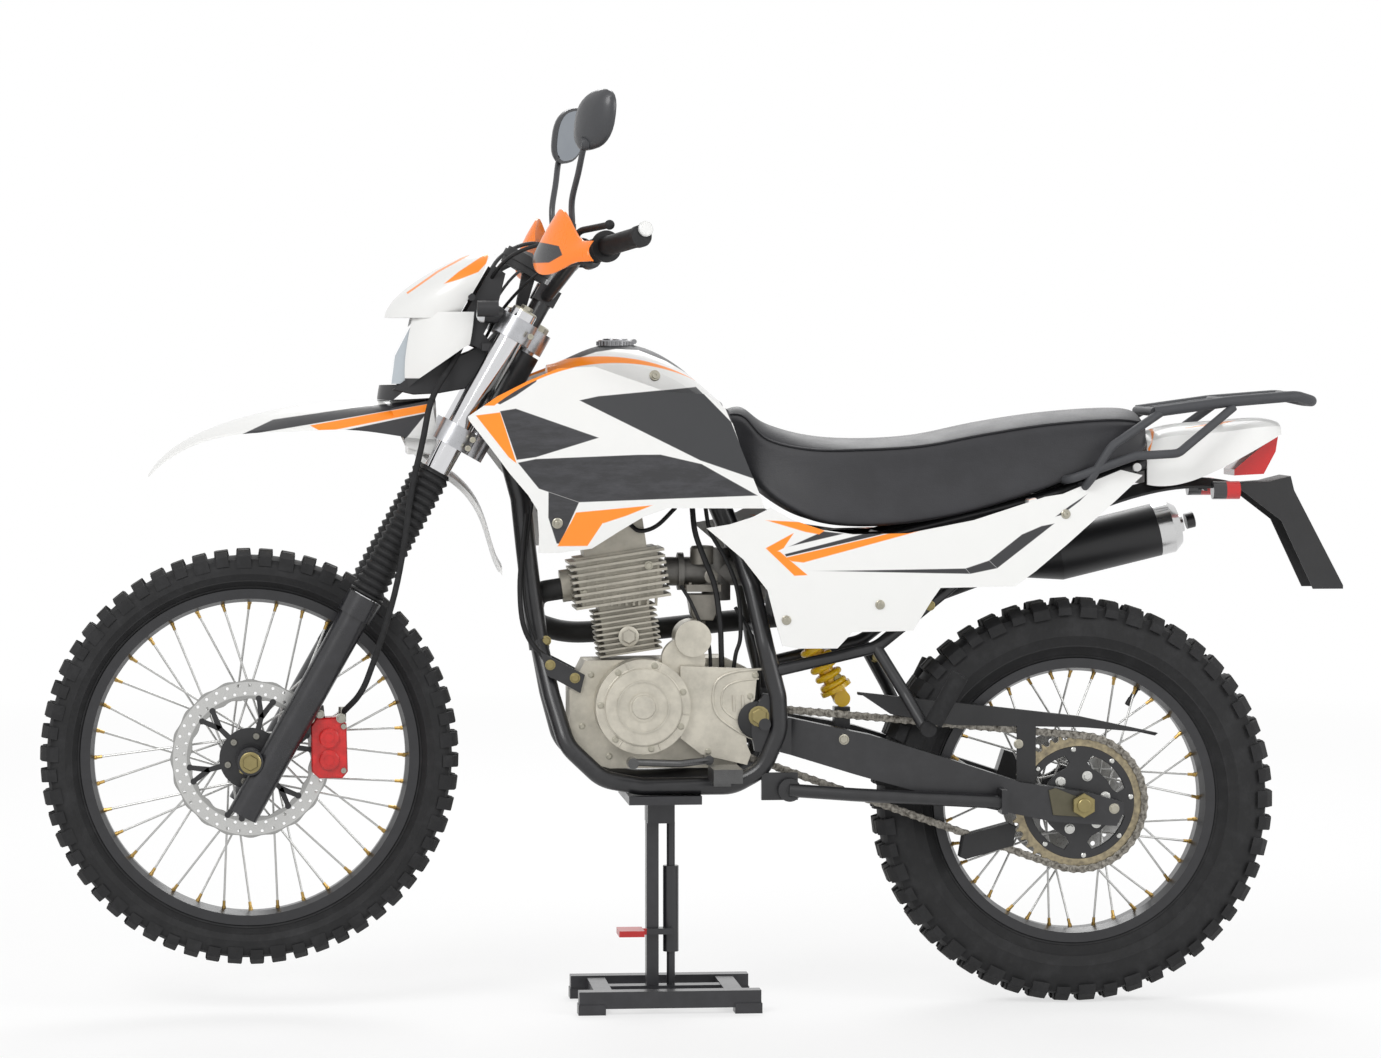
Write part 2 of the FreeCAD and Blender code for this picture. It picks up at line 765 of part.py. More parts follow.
def frame_body():
    tubes = frame_tubes(0)
    body = tubes[0].fuse(tubes[1:])
    stem_x = D.fork_lead + D.clamp_offset
    foot = on_fork(stem_x, 0, D.lower_clamp_z)
    top = on_fork(stem_x, 0, D.upper_clamp_z)
    bore = Part.makeCylinder(D.stem_radius + D.running_fit, (top - foot).Length, foot, top - foot)
    pivot = Part.makeCylinder(D.axle_radius + D.seat_gap, D.frame_width * 4,
                              Vector(D.pivot_x, -D.frame_width * 2, D.pivot_z), Y_AXIS)
    lug = Part.makeBox(D.frame_reach * 0.12, D.plate_wall, D.frame_reach * 0.09,
                       near_pivot((-0.01, -1.04, -0.25)))
    hole = Part.makeCylinder(D.axle_radius / 2 + D.running_fit, D.frame_width,
                             Vector(stand_pivot().x, -D.frame_width * 1.5, stand_pivot().z), Y_AXIS)
    return body.fuse(lug).cut(bore).cut(pivot).cut(hole)


def stand_pivot():
    share = (0.08, -1.16, -0.215)
    return near_pivot(share)


keep("main_frame", solid("frame_weldment", frame_body()))
frame_room = frame_tubes(D.seat_gap)
frame_room = frame_room[0].fuse(frame_room[1:])

rail_shares = [(0.0, 0.5, 0.6), (0.396, 0.7, 0.61), (0.916, 0.72, 0.735), (1.1, 0.62, 0.79),
               (1.34, 0.5, 0.87)]
strut_shares = [(0.02, 0.93, 0.17), (0.372, 0.92, 0.25), (0.6, 0.85, 0.43), (0.93, 0.74, 0.72)]
peg_stay_shares = [(0.372, 0.92, 0.25), (0.46, 1.2, 0.1), (0.52, 1.45, -0.01)]


def subframe_tubes(grow):
    tubes = []
    bend = D.frame_reach * 0.12
    for shares in (rail_shares, strut_shares, peg_stay_shares):
        tubes.append(pipe([near_pivot(share) for share in shares], D.rail_radius + grow, bend))
        tubes.append(pipe([near_pivot(across(share)) for share in shares], D.rail_radius + grow, bend))
    for share in ((0.916, 0.72, 0.735), (0.396, 0.7, 0.61), (1.33, 0.505, 0.867)):
        tubes.append(pipe([near_pivot(share), near_pivot(across(share))],
                          D.rail_radius * 0.8 + grow, bend))
    neck = pipe([near_pivot((-0.01, 0.5, 0.6)), near_pivot((-0.08, 0.2, 0.6))], D.rail_radius + grow, bend)
    tubes += [neck, neck.mirror(Vector(), Y_AXIS)]
    return tubes[0].fuse(tubes[1:])


keep("subframe", solid("subframe_weldment", subframe_tubes(0).cut(frame_room)))
subframe_room = subframe_tubes(D.seat_gap)

# swingarm: side outline crossed with a plan outline
arm_side_shares = [(0.0, 0.1), (0.075, 0.06), (0.29, -0.13), (0.51, -0.43), (0.71, -0.72), (0.91, -0.86),
                   (1.0, -0.98), (1.0, -1.1), (0.98, -1.26), (0.8, -1.2), (0.54, -0.96), (0.29, -0.66),
                   (0.07, -0.38), (0.0, -0.3)]


def arm_plan():
    inner = D.arm_inner
    outer = D.arm_inner + D.arm_width
    start = D.pivot_x
    reach = D.rear_axle_x - D.pivot_x
    low = D.pivot_half * 0.6
    end = start + reach * 1.14
    return [(start, low), (start + reach * 0.09, low), (start + reach * 0.28, inner), (end, inner),
            (end, outer), (start + reach * 0.28, outer), (start + reach * 0.09, D.pivot_half - D.seat_gap * 3),
            (start, D.pivot_half - D.seat_gap * 3)]


def swingarm_body():
    reach = D.rear_axle_x - D.pivot_x
    drop = D.pivot_z - D.rear_tyre_radius
    side = placed(arm_side_shares, (D.pivot_x, D.pivot_z), (reach * 1.13, drop))
    wide = D.frame_width * 2
    profile = slab(side, -wide, wide)
    corners = [Vector(x, y, 0) for x, y in arm_plan()]
    plan = Part.Face(Part.makePolygon(corners + corners[:1])).extrude(Vector(0, 0, D.frame_reach * 2))
    arms = []
    for band in (plan, plan.mirror(Vector(), Y_AXIS)):
        arms.append(profile.common(band))
    tube = Part.makeCylinder(D.pivot_radius, D.pivot_half * 2, Vector(D.pivot_x, -D.pivot_half, D.pivot_z), Y_AXIS)
    bolt_half = D.pivot_half + D.plate_wall * 3
    bolt = Part.makeCylinder(D.axle_radius, bolt_half * 2, Vector(D.pivot_x, -bolt_half, D.pivot_z), Y_AXIS)
    brace = Part.makeBox(reach * 0.09, D.arm_inner * 2, drop * 0.36,
                         Vector(D.pivot_x + reach * 0.2, -D.arm_inner, D.pivot_z - drop * 0.5))
    bore = Part.makeCylinder(D.axle_radius + D.seat_gap, wide * 2,
                             Vector(D.rear_axle_x, -wide, D.rear_tyre_radius), Y_AXIS)
    eye_x = D.pivot_x + reach * 0.28
    lugs = Part.makeBox(reach * 0.05, D.shock_radius, drop * 0.35,
                        Vector(D.pivot_x + reach * 0.24, -D.shock_radius / 2, D.pivot_z - drop * 0.2))
    return arms[0].fuse(arms[1:] + [tube, bolt, brace, lugs]).cut(bore)


keep("swingarm", solid("swingarm_weldment", swingarm_body()))


def shock_body():
    reach = D.rear_axle_x - D.pivot_x
    drop = D.pivot_z - D.rear_tyre_radius
    eye = D.shock_radius * 0.5
    foot = Vector(D.pivot_x + reach * 0.265, 0, D.pivot_z + drop * 0.15 + eye + D.seat_gap)
    head = near_pivot(shock_head_share)
    run = head - foot
    core = Part.makeCylinder(eye, run.Length, foot, run)
    coils = [core]
    for end in (foot, head):
        coils.append(Part.makeCylinder(eye, eye * 2, end - Vector(0, eye, 0), Y_AXIS))
    turns = 7
    for k in range(turns):
        at = foot + run * (0.18 + 0.66 * k / (turns - 1))
        coils.append(Part.makeTorus(eye + D.shock_radius * 0.19, D.shock_radius * 0.2, at, run))
    ends = [Part.makeCylinder(D.shock_radius, run.Length * 0.05, foot + run * 0.1, run),
            Part.makeCylinder(D.shock_radius, run.Length * 0.05, foot + run * 0.86, run)]
    return core.fuse(coils[1:] + ends)


keep("rear_shock", solid("shock_unit", shock_body()))

# chain: one loop round both sprockets, its plates and rollers as a band


def chain_loop(inset):
    near = D.chain_pitch / (2 * math.sin(math.pi / D.front_teeth)) + inset
    far = D.chain_pitch / (2 * math.sin(math.pi / D.rear_teeth)) + inset
    a = Vector(D.output_x, 0, D.output_z)
    b = Vector(D.rear_axle_x, 0, D.rear_tyre_radius)
    run = b - a
    slope = math.atan2(run.z, run.x)
    lean = math.acos((near - far) / run.Length)

    def at(centre, radius, angle):
        return centre + Vector(radius * math.cos(angle), 0, radius * math.sin(angle))

    up_a, up_b = at(a, near, slope + lean), at(b, far, slope + lean)
    low_a, low_b = at(a, near, slope - lean), at(b, far, slope - lean)
    edges = [
        Part.LineSegment(up_a, up_b).toShape(),
        Part.Arc(up_b, at(b, far, slope), low_b).toShape(),
        Part.LineSegment(low_b, low_a).toShape(),
        Part.Arc(low_a, at(a, near, slope + math.pi), up_a).toShape(),
    ]
    return Part.Wire(edges)


def chain_band(outset, inset, width):
    """The space between two loops, a width across the chain's plane."""
    low = Vector(0, -D.chain_plane - width / 2, 0)
    outer = Part.Face(chain_loop(outset)).extrude(Vector(0, width, 0))
    inner = Part.Face(chain_loop(inset)).extrude(Vector(0, width, 0))
    band = outer.cut(inner)
    band.translate(low)
    return band


def chain_body():
    band = chain_band(D.chain_half_height, -D.chain_half_height, D.chain_width)
    return band.cut(chain_band(-D.roller_radius, -D.overrun, D.chain_width * 0.6))


keep("drive_chain", solid("chain_loop", chain_body()))

# engine


def by_shares(shares, origin, size):
    """Sketch points from shares of a length and a height about a named origin."""
    return [("%s + %s * (%s)" % (origin[0], size[0], a), "%s + %s * (%s)" % (origin[1], size[1], b))
            for a, b in shares]


crankcase_shares = [(-0.81, -0.17), (-0.76, -0.31), (-0.6, -0.39), (0.06, -0.39), (0.1, -0.22), (0.1, 0.1),
                    (0.143, 0.5), (0, 0.62), (-0.32, 0.61), (-0.73, 0.6), (-0.81, 0.33)]
crankcase = padded("crankcase_casting", "XZ_Plane",
                   by_shares(crankcase_shares, ("output_x", "output_z"), ("crankcase_length", "crankcase_height")),
                   "chain_plane * 1.52")
keep("crankcase", crankcase)

case_half = "chain_plane * 0.76"
drum_width = "(cover_y - chain_plane * 0.76 - seat_gap)"
drum = rod("flywheel_drum", "flywheel_radius", drum_width,
           ("flywheel_x", "-(cover_y + chain_plane * 0.76 + seat_gap) / 2", "flywheel_z"))
lid = rod("flywheel_lid", "flywheel_radius * 0.8", "plate_wall", ("flywheel_x", "-cover_y", "flywheel_z"))
plug = rod("flywheel_plug", "flywheel_radius * 0.3", "plate_wall * 1.6", ("flywheel_x", "-cover_y", "flywheel_z"))
starter_x = "(output_x - starter_radius * 1.8)"
starter_z = "(output_z + crankcase_height * 0.64 + starter_radius + seat_gap)"
gear_lid = rod("starter_gear_lid", "starter_radius * 1.2", "plate_wall * 2.4",
               ("output_x - starter_radius * 2.3", "-(chain_plane * 0.76 + seat_gap + plate_wall * 1.2)",
                "output_z + crankcase_height * 0.61"))
starter = rod("starter_motor", "starter_radius", "chain_plane", (starter_x, "-chain_plane * 0.8", starter_z))
guard_shares = [(-0.24, 0.56), (0.165, 0.53), (0.15, 0.25), (0.105, 0.16), (0.095, 0.03), (0.11, -0.17), (0.13, -0.25),
                (0.11, -0.35), (-0.13, -0.25), (-0.24, -0.1)]
guard = padded("sprocket_guard", "XZ_Plane",
               by_shares(guard_shares, ("output_x", "output_z"), ("crankcase_length", "crankcase_height")),
               "plate_wall", ("0", "-(chain_plane + chain_width / 2 + plate_wall)", "0"))
clutch = rod("clutch_drum", "clutch_radius", drum_width,
             ("output_x - clutch_radius * 0.6", "(cover_y + chain_plane * 0.76 + seat_gap) / 2",
              "output_z + clutch_radius * 0.1"))
clutch_lid = rod("clutch_lid", "clutch_radius * 0.82", "plate_wall",
                 ("output_x - clutch_radius * 0.6", "cover_y", "output_z + clutch_radius * 0.1"))
keep("engine_covers", group("cover_castings", [
    fused("left_covers", [drum, lid, plug, gear_lid, starter, guard]),
    fused("right_covers", [clutch, clutch_lid]),
]))
sprocket_small = rod("output_sprocket_disc",
                     "chain_pitch / (2 * sin(180 / front_teeth)) - roller_radius - seat_gap",
                     "sprocket_thickness", ("output_x", "-chain_plane", "output_z"))
shaft = rod("output_shaft", "axle_radius", "chain_width * 1.9",
            ("output_x", "-(chain_plane * 0.76 + seat_gap + chain_width * 0.95)", "output_z"))
keep("output_sprocket", fused("output_sprocket_body", [sprocket_small, shaft]))


def finned(name, length, width, height, pitch, count, fin):
    """A casting with a ladder of cooling fins about it."""
    half_l, half_w = "(%s) / 2" % length, "(%s) / 2" % width
    core = "plate_wall * 1.1"
    body = doc.addObject("PartDesign::Body", name)
    inner = [("-%s + %s" % (half_l, core), "-%s + %s" % (half_w, core)),
             ("%s - %s" % (half_l, core), "-%s + %s" % (half_w, core)),
             ("%s - %s" % (half_l, core), "%s - %s" % (half_w, core)),
             ("-%s + %s" % (half_l, core), "%s - %s" % (half_w, core))]
    pad = body.newObject("PartDesign::Pad", name + "_core")
    pad.Profile = outline(body, name + "_core_outline", "XY_Plane", inner)
    bind(pad, "Length", height)
    wide = [("-" + half_l, "-" + half_w), (half_l, "-" + half_w), (half_l, half_w), ("-" + half_l, half_w)]
    leaf = body.newObject("PartDesign::Pad", name + "_fin")
    sketch = outline(body, name + "_fin_outline", "XY_Plane", wide)
    leaf.Profile = sketch
    bind(leaf, "Length", fin)
    pattern = body.newObject("PartDesign::LinearPattern", name + "_fins")
    pattern.Originals = [leaf]
    pattern.Direction = (plane(body, "Z_Axis"), [""])
    bind(pattern, "Length", "%s * %d" % (pitch, count - 1))
    pattern.Occurrences = count
    body.Tip = pattern
    return body


CYLINDER = ("cylinder_x", "0", "output_z + crankcase_height * 0.62 + seat_gap")


def leaned(thing):
    """Stands a piece of the engine's top end on the crankcase, leaning forward."""
    thing.Placement = Placement(Vector(), Rotation(Vector(0, -1, 0), D.engine_tilt))
    bind(thing, "Placement.Rotation.Angle", "engine_tilt")
    locate(thing, CYLINDER)
    return thing


skirt = "(barrel_width * sin(engine_tilt) / 2 + seat_gap)"
barrel = finned("barrel_casting", "barrel_width", "barrel_width", "barrel_height", "fin_pitch", 9, "fin_thickness")
bind(barrel, "Placement.Base.z", skirt)
keep("cylinder", leaned(group("barrel_leaning", [barrel])))
head = finned("head_casting", "head_length", "barrel_width * 1.1", "head_height", "fin_pitch * 1.2", 8,
              "fin_thickness * 1.4")
bind(head, "Placement.Base.z", skirt + " + barrel_height + seat_gap")
cam = block("cam_cover_block", ("head_length * 0.66", "barrel_width * 0.8", "cam_cover_height + seat_gap"),
            ("0", "0", skirt + " + barrel_height + head_height + cam_cover_height / 2"))
port = rod("exhaust_port", "head_pipe_radius * 1.5", "head_length * 0.12",
           ("-head_length * 0.53", "head_pipe_radius * 2.2", skirt + " + barrel_height + head_height * 0.45"), "x")
keep("cylinder_head", leaned(fused("head_leaning", [head, cam, port])))


def engine_frame():
    base = Vector(D.cylinder_x, 0, D.output_z + D.crankcase_height * 0.62 + D.seat_gap)
    return Placement(base, Rotation(Vector(0, -1, 0), D.engine_tilt))


def on_engine(x, y, z):
    return engine_frame().multVec(Vector(x, y, z))


def intake():
    """Carburettor between the head and the air box."""
    rise = D.barrel_height + D.head_height * 0.55
    start = on_engine(D.head_length / 2 + D.seat_gap, 0, rise)
    end = Vector(near_pivot((0.03, 0, 0)).x, 0, start.z)
    run = end - start
    body = Part.makeCylinder(D.carb_radius, run.Length - D.seat_gap, start, run)
    bowl = Part.makeCylinder(D.carb_radius, D.carb_radius * 3.6, start + run * 0.5 - Vector(0, 0, D.carb_radius * 2), Vector(0, 0, 1))
    flange = Part.makeCylinder(D.carb_radius * 1.3, D.carb_radius * 0.4, start + run * 0.12, run)
    room = Part.makeBox(D.head_length + D.seat_gap * 2, D.barrel_width * 2, D.frame_reach,
                        Vector(-D.head_length / 2 - D.seat_gap, -D.barrel_width, 0))
    room.Placement = engine_frame().multiply(room.Placement)
    return body.fuse([bowl, flange]).cut(room)


keep("carburettor", solid("carburettor_body", intake()))


def muffler_frame():
    end = Vector(D.rear_axle_x + D.muffler_length * 0.72, D.muffler_y, D.pivot_z + D.frame_reach * 0.634)
    lift_angle = 13.5
    turn = Rotation(Y_AXIS, 90 - lift_angle)
    return end, turn.multVec(Vector(0, 0, 1))


def pipe_points():
    end, axis = muffler_frame()
    start = end - axis * D.muffler_length
    port = on_engine(-D.head_length * 0.59 - D.seat_gap, D.head_pipe_radius * 2.2, D.barrel_height + D.head_height * 0.5)
    out = D.muffler_y - D.seat_gap
    low = D.pivot_z + D.frame_reach * 0.29
    ahead = on_engine(-D.head_length * 0.59 - D.head_pipe_radius * 2.4, D.head_pipe_radius * 2.2,
                      D.barrel_height + D.head_height * 0.5)
    return [port, ahead,
            Vector(D.cylinder_x - D.frame_reach * 0.32, D.head_pipe_radius * 4, low + D.frame_reach * 0.03),
            Vector(D.cylinder_x - D.frame_reach * 0.2, D.frame_width * 1.02, low - D.frame_reach * 0.01),
            Vector(D.cylinder_x + D.frame_reach * 0.1, D.frame_width * 1.05, low),
            Vector(D.pivot_x - D.frame_reach * 0.1, out, low + D.frame_reach * 0.02),
            Vector(D.pivot_x + D.frame_reach * 0.5, out, low + D.frame_reach * 0.07),
            start - axis * D.head_pipe_radius * 2, start]


def exhaust(grow):
    return pipe(pipe_points(), D.head_pipe_radius + grow, D.head_pipe_radius * 6)


keep("exhaust_pipe", solid("exhaust_tube", exhaust(0)))


def muffler_body(grow):
    end, axis = muffler_frame()
    start = end - axis * (D.muffler_length - D.seat_gap)
    cone = Part.makeCone(D.head_pipe_radius * 1.3 + grow, D.muffler_radius + grow, D.muffler_length * 0.25, start, axis)
    can = Part.makeCylinder(D.muffler_radius + grow, D.muffler_length * 0.7, start + axis * D.muffler_length * 0.25, axis)
    cap = Part.makeCone(D.muffler_radius + grow, D.muffler_radius * 0.75 + grow, D.muffler_length * 0.05,
                        start + axis * D.muffler_length * 0.95, axis)
    body = cone.fuse([can, cap])
    if grow:
        return body
    tip = Part.makeCylinder(D.head_pipe_radius * 0.8, D.muffler_length * 0.1, start + axis * D.muffler_length * 0.93, axis)
    hole = Part.makeCylinder(D.head_pipe_radius * 0.6, D.muffler_length * 0.1, start + axis * D.muffler_length * 0.96, axis)
    hook = near_pivot((1.08, 0.625, 0.785))
    run = end - axis * (D.muffler_length * 0.66) - hook
    stay = Part.makeCylinder(D.rail_radius * 0.6, run.Length, hook, run)
    return largest(body.fuse([tip, stay]).cut(hole).cut(subframe_room))


keep("muffler", solid("muffler_can", muffler_body(0)))


def air_box_body():
    front = near_pivot((0.035, 0, 0)).x
    side = [(0, 0.35), (0.02, 0.62), (0.4, 0.59), (0.48, 0.45), (0.42, 0.36), (0.2, 0.38)]
    box_shares = [(front + a * D.frame_reach, D.pivot_z + b * D.frame_reach) for a, b in side]
    half = D.frame_width * 0.55
    return slab(box_shares, -half, half).cut(frame_room).cut(subframe_room)


keep("air_box", solid("air_box_shell", air_box_body()))

# bodywork

tank_stations = [
    # along the tank, bottom, top, low half width, top half width, crown: shares of its size
    (0.0, 0.3, 0.86, 0.28, 0.3, 0.06),
    (0.16, 0.18, 0.93, 0.62, 0.55, 0.1),
    (0.38, 0.08, 1.0, 0.92, 0.74, 0.13),
    (0.62, 0.05, 0.93, 0.97, 0.72, 0.13),
    (0.82, 0.07, 0.76, 0.94, 0.66, 0.1),
    (0.965, 0.12, 0.61, 0.9, 0.6, 0.08),
]


def sized(stations, front, base, length, height, half):
    rows = []
    for a, bottom, top, low, high, crown in stations:
        rows.append((front + a * length, base + bottom * height, base + top * height,
                     low * half, high * half, crown * height))
    return rows


def tank_body():
    rows = sized(tank_stations, D.tank_front_x, D.tank_base_z, D.tank_length, D.tank_height, D.tank_half)
    body = crowned(rows)
    tunnel = Part.makeBox(D.tank_length * 2, D.backbone_radius * 2.6, D.tank_height,
                          Vector(D.tank_front_x - D.tank_length / 2, -D.backbone_radius * 1.3,
                                 D.tank_base_z - D.tank_height * 0.42))
    return body.cut(tunnel).cut(frame_room)


keep("fuel_tank", solid("tank_shell", tank_body()))
cap_share = 0.38
cap_at = ("tank_front_x + tank_length * 0.38", "0",
          "tank_base_z + tank_height * 1.0 + seat_gap + tank_height * 0.04")
keep("fuel_cap", rod("fuel_cap_disc", "backbone_radius * 1.6", "tank_height * 0.08", cap_at, "z"))

shroud_side_shares = [
    (0.0, 0.74), (0.096, 0.85), (0.196, 0.933), (0.296, 1.0), (0.416, 1.01), (0.656, 0.87), (0.78, 0.86), (0.856, 0.77),
    (0.896, 0.57), (0.966, 0.285), (0.976, 0.235), (0.656, 0.24), (0.576, 0.195), (0.496, 0.117), (0.406, 0.023),
    (0.296, 0.0), (0.232, 0.0), (0.232, 0.1), (0.226, 0.235), (0.196, 0.316), (0.136, 0.433), (0.076, 0.567), (0.006, 0.717)]


def shroud():
    front = D.tank_front_x - D.shroud_length * 0.276
    base = D.tank_base_z - D.shroud_height * 0.3
    top = base + D.shroud_height * 1.04
    flare = D.shroud_flare
    rows = []
    for a, low, mid, high in ((-0.02, 0.9, 0.98, 0.93), (0.16, 0.88, 1.0, 0.92), (0.45, 0.8, 0.9, 0.76),
                              (0.75, 0.72, 0.78, 0.68), (1.0, 0.66, 0.7, 0.6)):
        x = front + a * D.shroud_length
        rows.append((x, (low * flare, base - D.seat_gap), (mid * flare, (base + top) / 2), (high * flare, top)))
    sheet_body = skin(rows, D.panel_wall)
    side = placed(shroud_side_shares, (front, base), (D.shroud_length, D.shroud_height))
    return sheet_body.common(slab(side, 0, flare * 2))


tank_shape = pieces[-2].Shape
shroud_skin = shroud()
LEFT_TO_RIGHT = Vector(0, 1, 0)


def carried(panel, spots, radius, carrier):
    """A panel with bosses on its inside, each ending just short of what carries it."""
    body = panel
    for x, z in spots:
        post = Part.makeCylinder(radius, D.shroud_flare, Vector(x, 0, z), Y_AXIS)
        inner_y = post.common(panel).optimalBoundingBox().YMin
        post = Part.makeCylinder(radius, inner_y + D.panel_wall / 2, Vector(x, 0, z), Y_AXIS)
        body = body.fuse(standing_off(post, carrier, LEFT_TO_RIGHT))
    return body


shroud_spot_shares = [(0.34, 0.62), (0.6, 0.62), (0.8, 0.6)]
shroud_spots = placed(shroud_spot_shares, (D.tank_front_x - D.shroud_length * 0.276, D.tank_base_z - D.shroud_height * 0.3),
                      (D.shroud_length, D.shroud_height))
keep("tank_shrouds", solid("shroud_pair", both(carried(shroud_skin, shroud_spots, D.rail_radius, tank_shape))))


def rack(grow):
    """Tubular luggage rack on four struts from the subframe."""
    size = D.rack_length
    x = D.tail_tip_x - size * 0.82
    z = D.rack_z
    tubes = []
    half = D.rack_half
    loop_shares = [(0.0, 1.0, -0.02), (0.31, 1.05, 0.022), (0.6, 0.9, 0.045), (0.69, 0.5, 0.022)]
    points = [Vector(x + a * size, b * half, z + c * size) for a, b, c in loop_shares]
    points += [Vector(point.x, -point.y, point.z) for point in reversed(points)]
    radius = D.rail_radius * 0.9
    tubes.append(pipe(points, radius + grow, size * 0.09))
    for a, b, c in loop_shares[:3]:
        near = Vector(x + a * size, b * half, z + c * size)
        tubes.append(pipe([near, Vector(near.x, -near.y, near.z)], radius * 0.8 + grow, radius))
    for b in (-0.36, 0.36):
        tubes.append(pipe([Vector(x + share[0] * size, b * half, z + share[2] * size) for share in loop_shares[:3]],
                          radius * 0.7 + grow, size * 0.1))
    wide = half * 1.5
    for side in (-1, 1):
        out = side * wide
        seat_foot = near_pivot((1.06, side * 0.645, 0.778)) + Vector(0, side * (D.rail_radius + D.seat_gap * 2), 0)
        rear_foot = near_pivot((1.0, side * 0.66, 0.765)) + Vector(0, 0, D.rail_radius + radius * 0.8 + D.seat_gap * 2)
        upper = [seat_foot, Vector(seat_foot.x, out, seat_foot.z), Vector(x - 0.2 * size, out, z - 0.16 * size),
                 Vector(x + 0.03 * size, side * half, z - 0.02 * size)]
        lower = [rear_foot, Vector(rear_foot.x, out, rear_foot.z), Vector(x - 0.1 * size, out, z - 0.2 * size),
                 Vector(x + 0.08 * size, out, z - 0.19 * size), Vector(x + 0.33 * size, side * half * 1.05, z)]
        tubes.append(pipe(upper, radius * 0.8 + grow, size * 0.06))
        tubes.append(pipe(lower, radius * 0.8 + grow, size * 0.06))
    return tubes[0].fuse(tubes[1:])


seat_stations = [
    (0.0, 0.62, 0.965, 0.3, 0.27, 0.04), (0.045, 0.45, 0.99, 0.45, 0.36, 0.08), (0.1, 0.26, 0.86, 0.7, 0.5, 0.14),
    (0.2, 0.06, 0.76, 0.92, 0.68, 0.12), (0.32, 0.01, 0.73, 1.0, 0.78, 0.09), (0.46, 0.05, 0.76, 1.0, 0.84, 0.09),
    (0.6, 0.15, 0.86, 0.96, 0.86, 0.1), (0.75, 0.31, 0.94, 0.88, 0.82, 0.1), (0.9, 0.51, 0.98, 0.8, 0.76, 0.1),
    (0.975, 0.57, 0.965, 0.76, 0.7, 0.1), (1.0, 0.68, 0.88, 0.7, 0.62, 0.06)]


def seat_body():
    rows = sized(seat_stations, D.seat_front_x, D.seat_base_z, D.seat_length, D.seat_height, D.seat_half)
    return crowned(rows).cut(frame_room).cut(subframe_room).cut(rack(D.seat_gap))


keep("seat", solid("seat_cushion", seat_body()))

side_panel_shares = [
    (0.0, 0.66), (0.08, 0.49), (0.133, 0.32), (0.153, 0.13), (0.167, 0.015), (0.2, 0.0), (0.287, 0.0), (0.32, 0.09),
    (0.453, 0.095), (0.493, 0.26), (0.513, 0.33), (0.68, 0.335), (0.727, 0.42), (0.8, 0.57), (0.907, 0.8),
    (0.97, 0.94), (0.92, 0.97), (0.827, 0.88), (0.787, 0.84), (0.747, 0.825), (0.587, 0.7), (0.44, 0.63), (0.32, 0.625),
    (0.253, 0.65), (0.187, 0.705), (0.14, 0.77), (0.1, 0.72), (0.05, 0.68)]


def side_panel():
    front = D.seat_front_x - D.panel_length * 0.05
    base = D.seat_base_z - D.panel_height * 0.655
    top = base + D.panel_height * 1.02
    half = D.panel_half
    rows = []
    for a, low, mid, high in ((-0.02, 0.88, 0.92, 0.9), (0.2, 0.94, 1.0, 0.97), (0.5, 0.98, 1.04, 1.0),
                              (0.8, 0.84, 0.9, 0.87), (1.0, 0.68, 0.73, 0.7)):
        x = front + a * D.panel_length
        rows.append((x, (low * half, base - D.seat_gap), (mid * half, (base + top) / 2), (high * half, top)))
    side = placed(side_panel_shares, (front, base), (D.panel_length, D.panel_height))
    return skin(rows, D.panel_wall).common(slab(side, 0, half * 2)).cut(rack(D.seat_gap))


def tube_spot(share):
    spot = near_pivot(share)
    return spot.x, spot.z


subframe_shape = pieces[[thing.Label for thing in pieces].index("subframe")].Shape
upper_spots = [tube_spot((0.396, 0.7, 0.61)), tube_spot((0.886, 0.72, 0.728))]
lower_spots = [tube_spot((0.486, 0.886, 0.34))]
left_panel = carried(side_panel(), upper_spots + lower_spots, D.rail_radius * 0.8, subframe_shape)
left_panel = left_panel.mirror(Vector(), Y_AXIS)
right_panel = largest(side_panel().cut(exhaust(D.plate_wall)).cut(muffler_body(D.plate_wall)))
right_panel = carried(right_panel, upper_spots, D.rail_radius * 0.8, subframe_shape)
keep("side_panels", solid("side_panel_pair", Part.makeCompound([left_panel, right_panel])))

tail_stations = [
    (0.0, 0.16, 0.8, 0.8, 0.74, 0.1), (0.3, 0.2, 0.94, 0.9, 0.8, 0.14), (0.6, 0.42, 0.98, 0.82, 0.7, 0.14),
    (0.9, 0.7, 1.0, 0.66, 0.56, 0.1), (1.0, 0.8, 0.96, 0.6, 0.5, 0.06)]


def tail_body():
    front = D.seat_front_x + D.seat_length + D.seat_gap * 10
    base = D.rack_z - D.tail_length * 0.6
    rows = sized(tail_stations, front, base, D.tail_length * 0.92, D.tail_length * 0.52, D.tail_half)
    outer = crowned(rows)
    inner = []
    for x, bottom, top, low, high, crown in rows:
        wall = D.panel_wall
        inner.append((x, bottom - wall * 4, top - wall, low - wall, high - wall, crown))
    return outer.cut(crowned(inner))


def tail_shell():
    """The tail with a boss each side on the subframe's rails."""
    shell = tail_body().cut(subframe_room)
    rail = near_pivot((1.25, 0.55, 0.84))
    for side in (-1, 1):
        way = Vector(0, side, 0)
        post = Part.makeCylinder(D.rail_radius * 0.7, D.tail_half * 0.86 - rail.y, Vector(rail.x, side * rail.y, rail.z), way)
        shell = shell.fuse(standing_off(post, subframe_shape, way))
    return shell


keep("tail_fairing", solid("tail_shell", tail_shell()))

mudguard_stations = [
    (0.0, 0.0, 0.6, 0.06), (0.25, 0.19, 0.62, 0.06), (0.5, 0.33, 0.64, 0.05), (0.75, 0.42, 0.66, 0.04), (1.0, 0.42, 0.66, 0.04)]


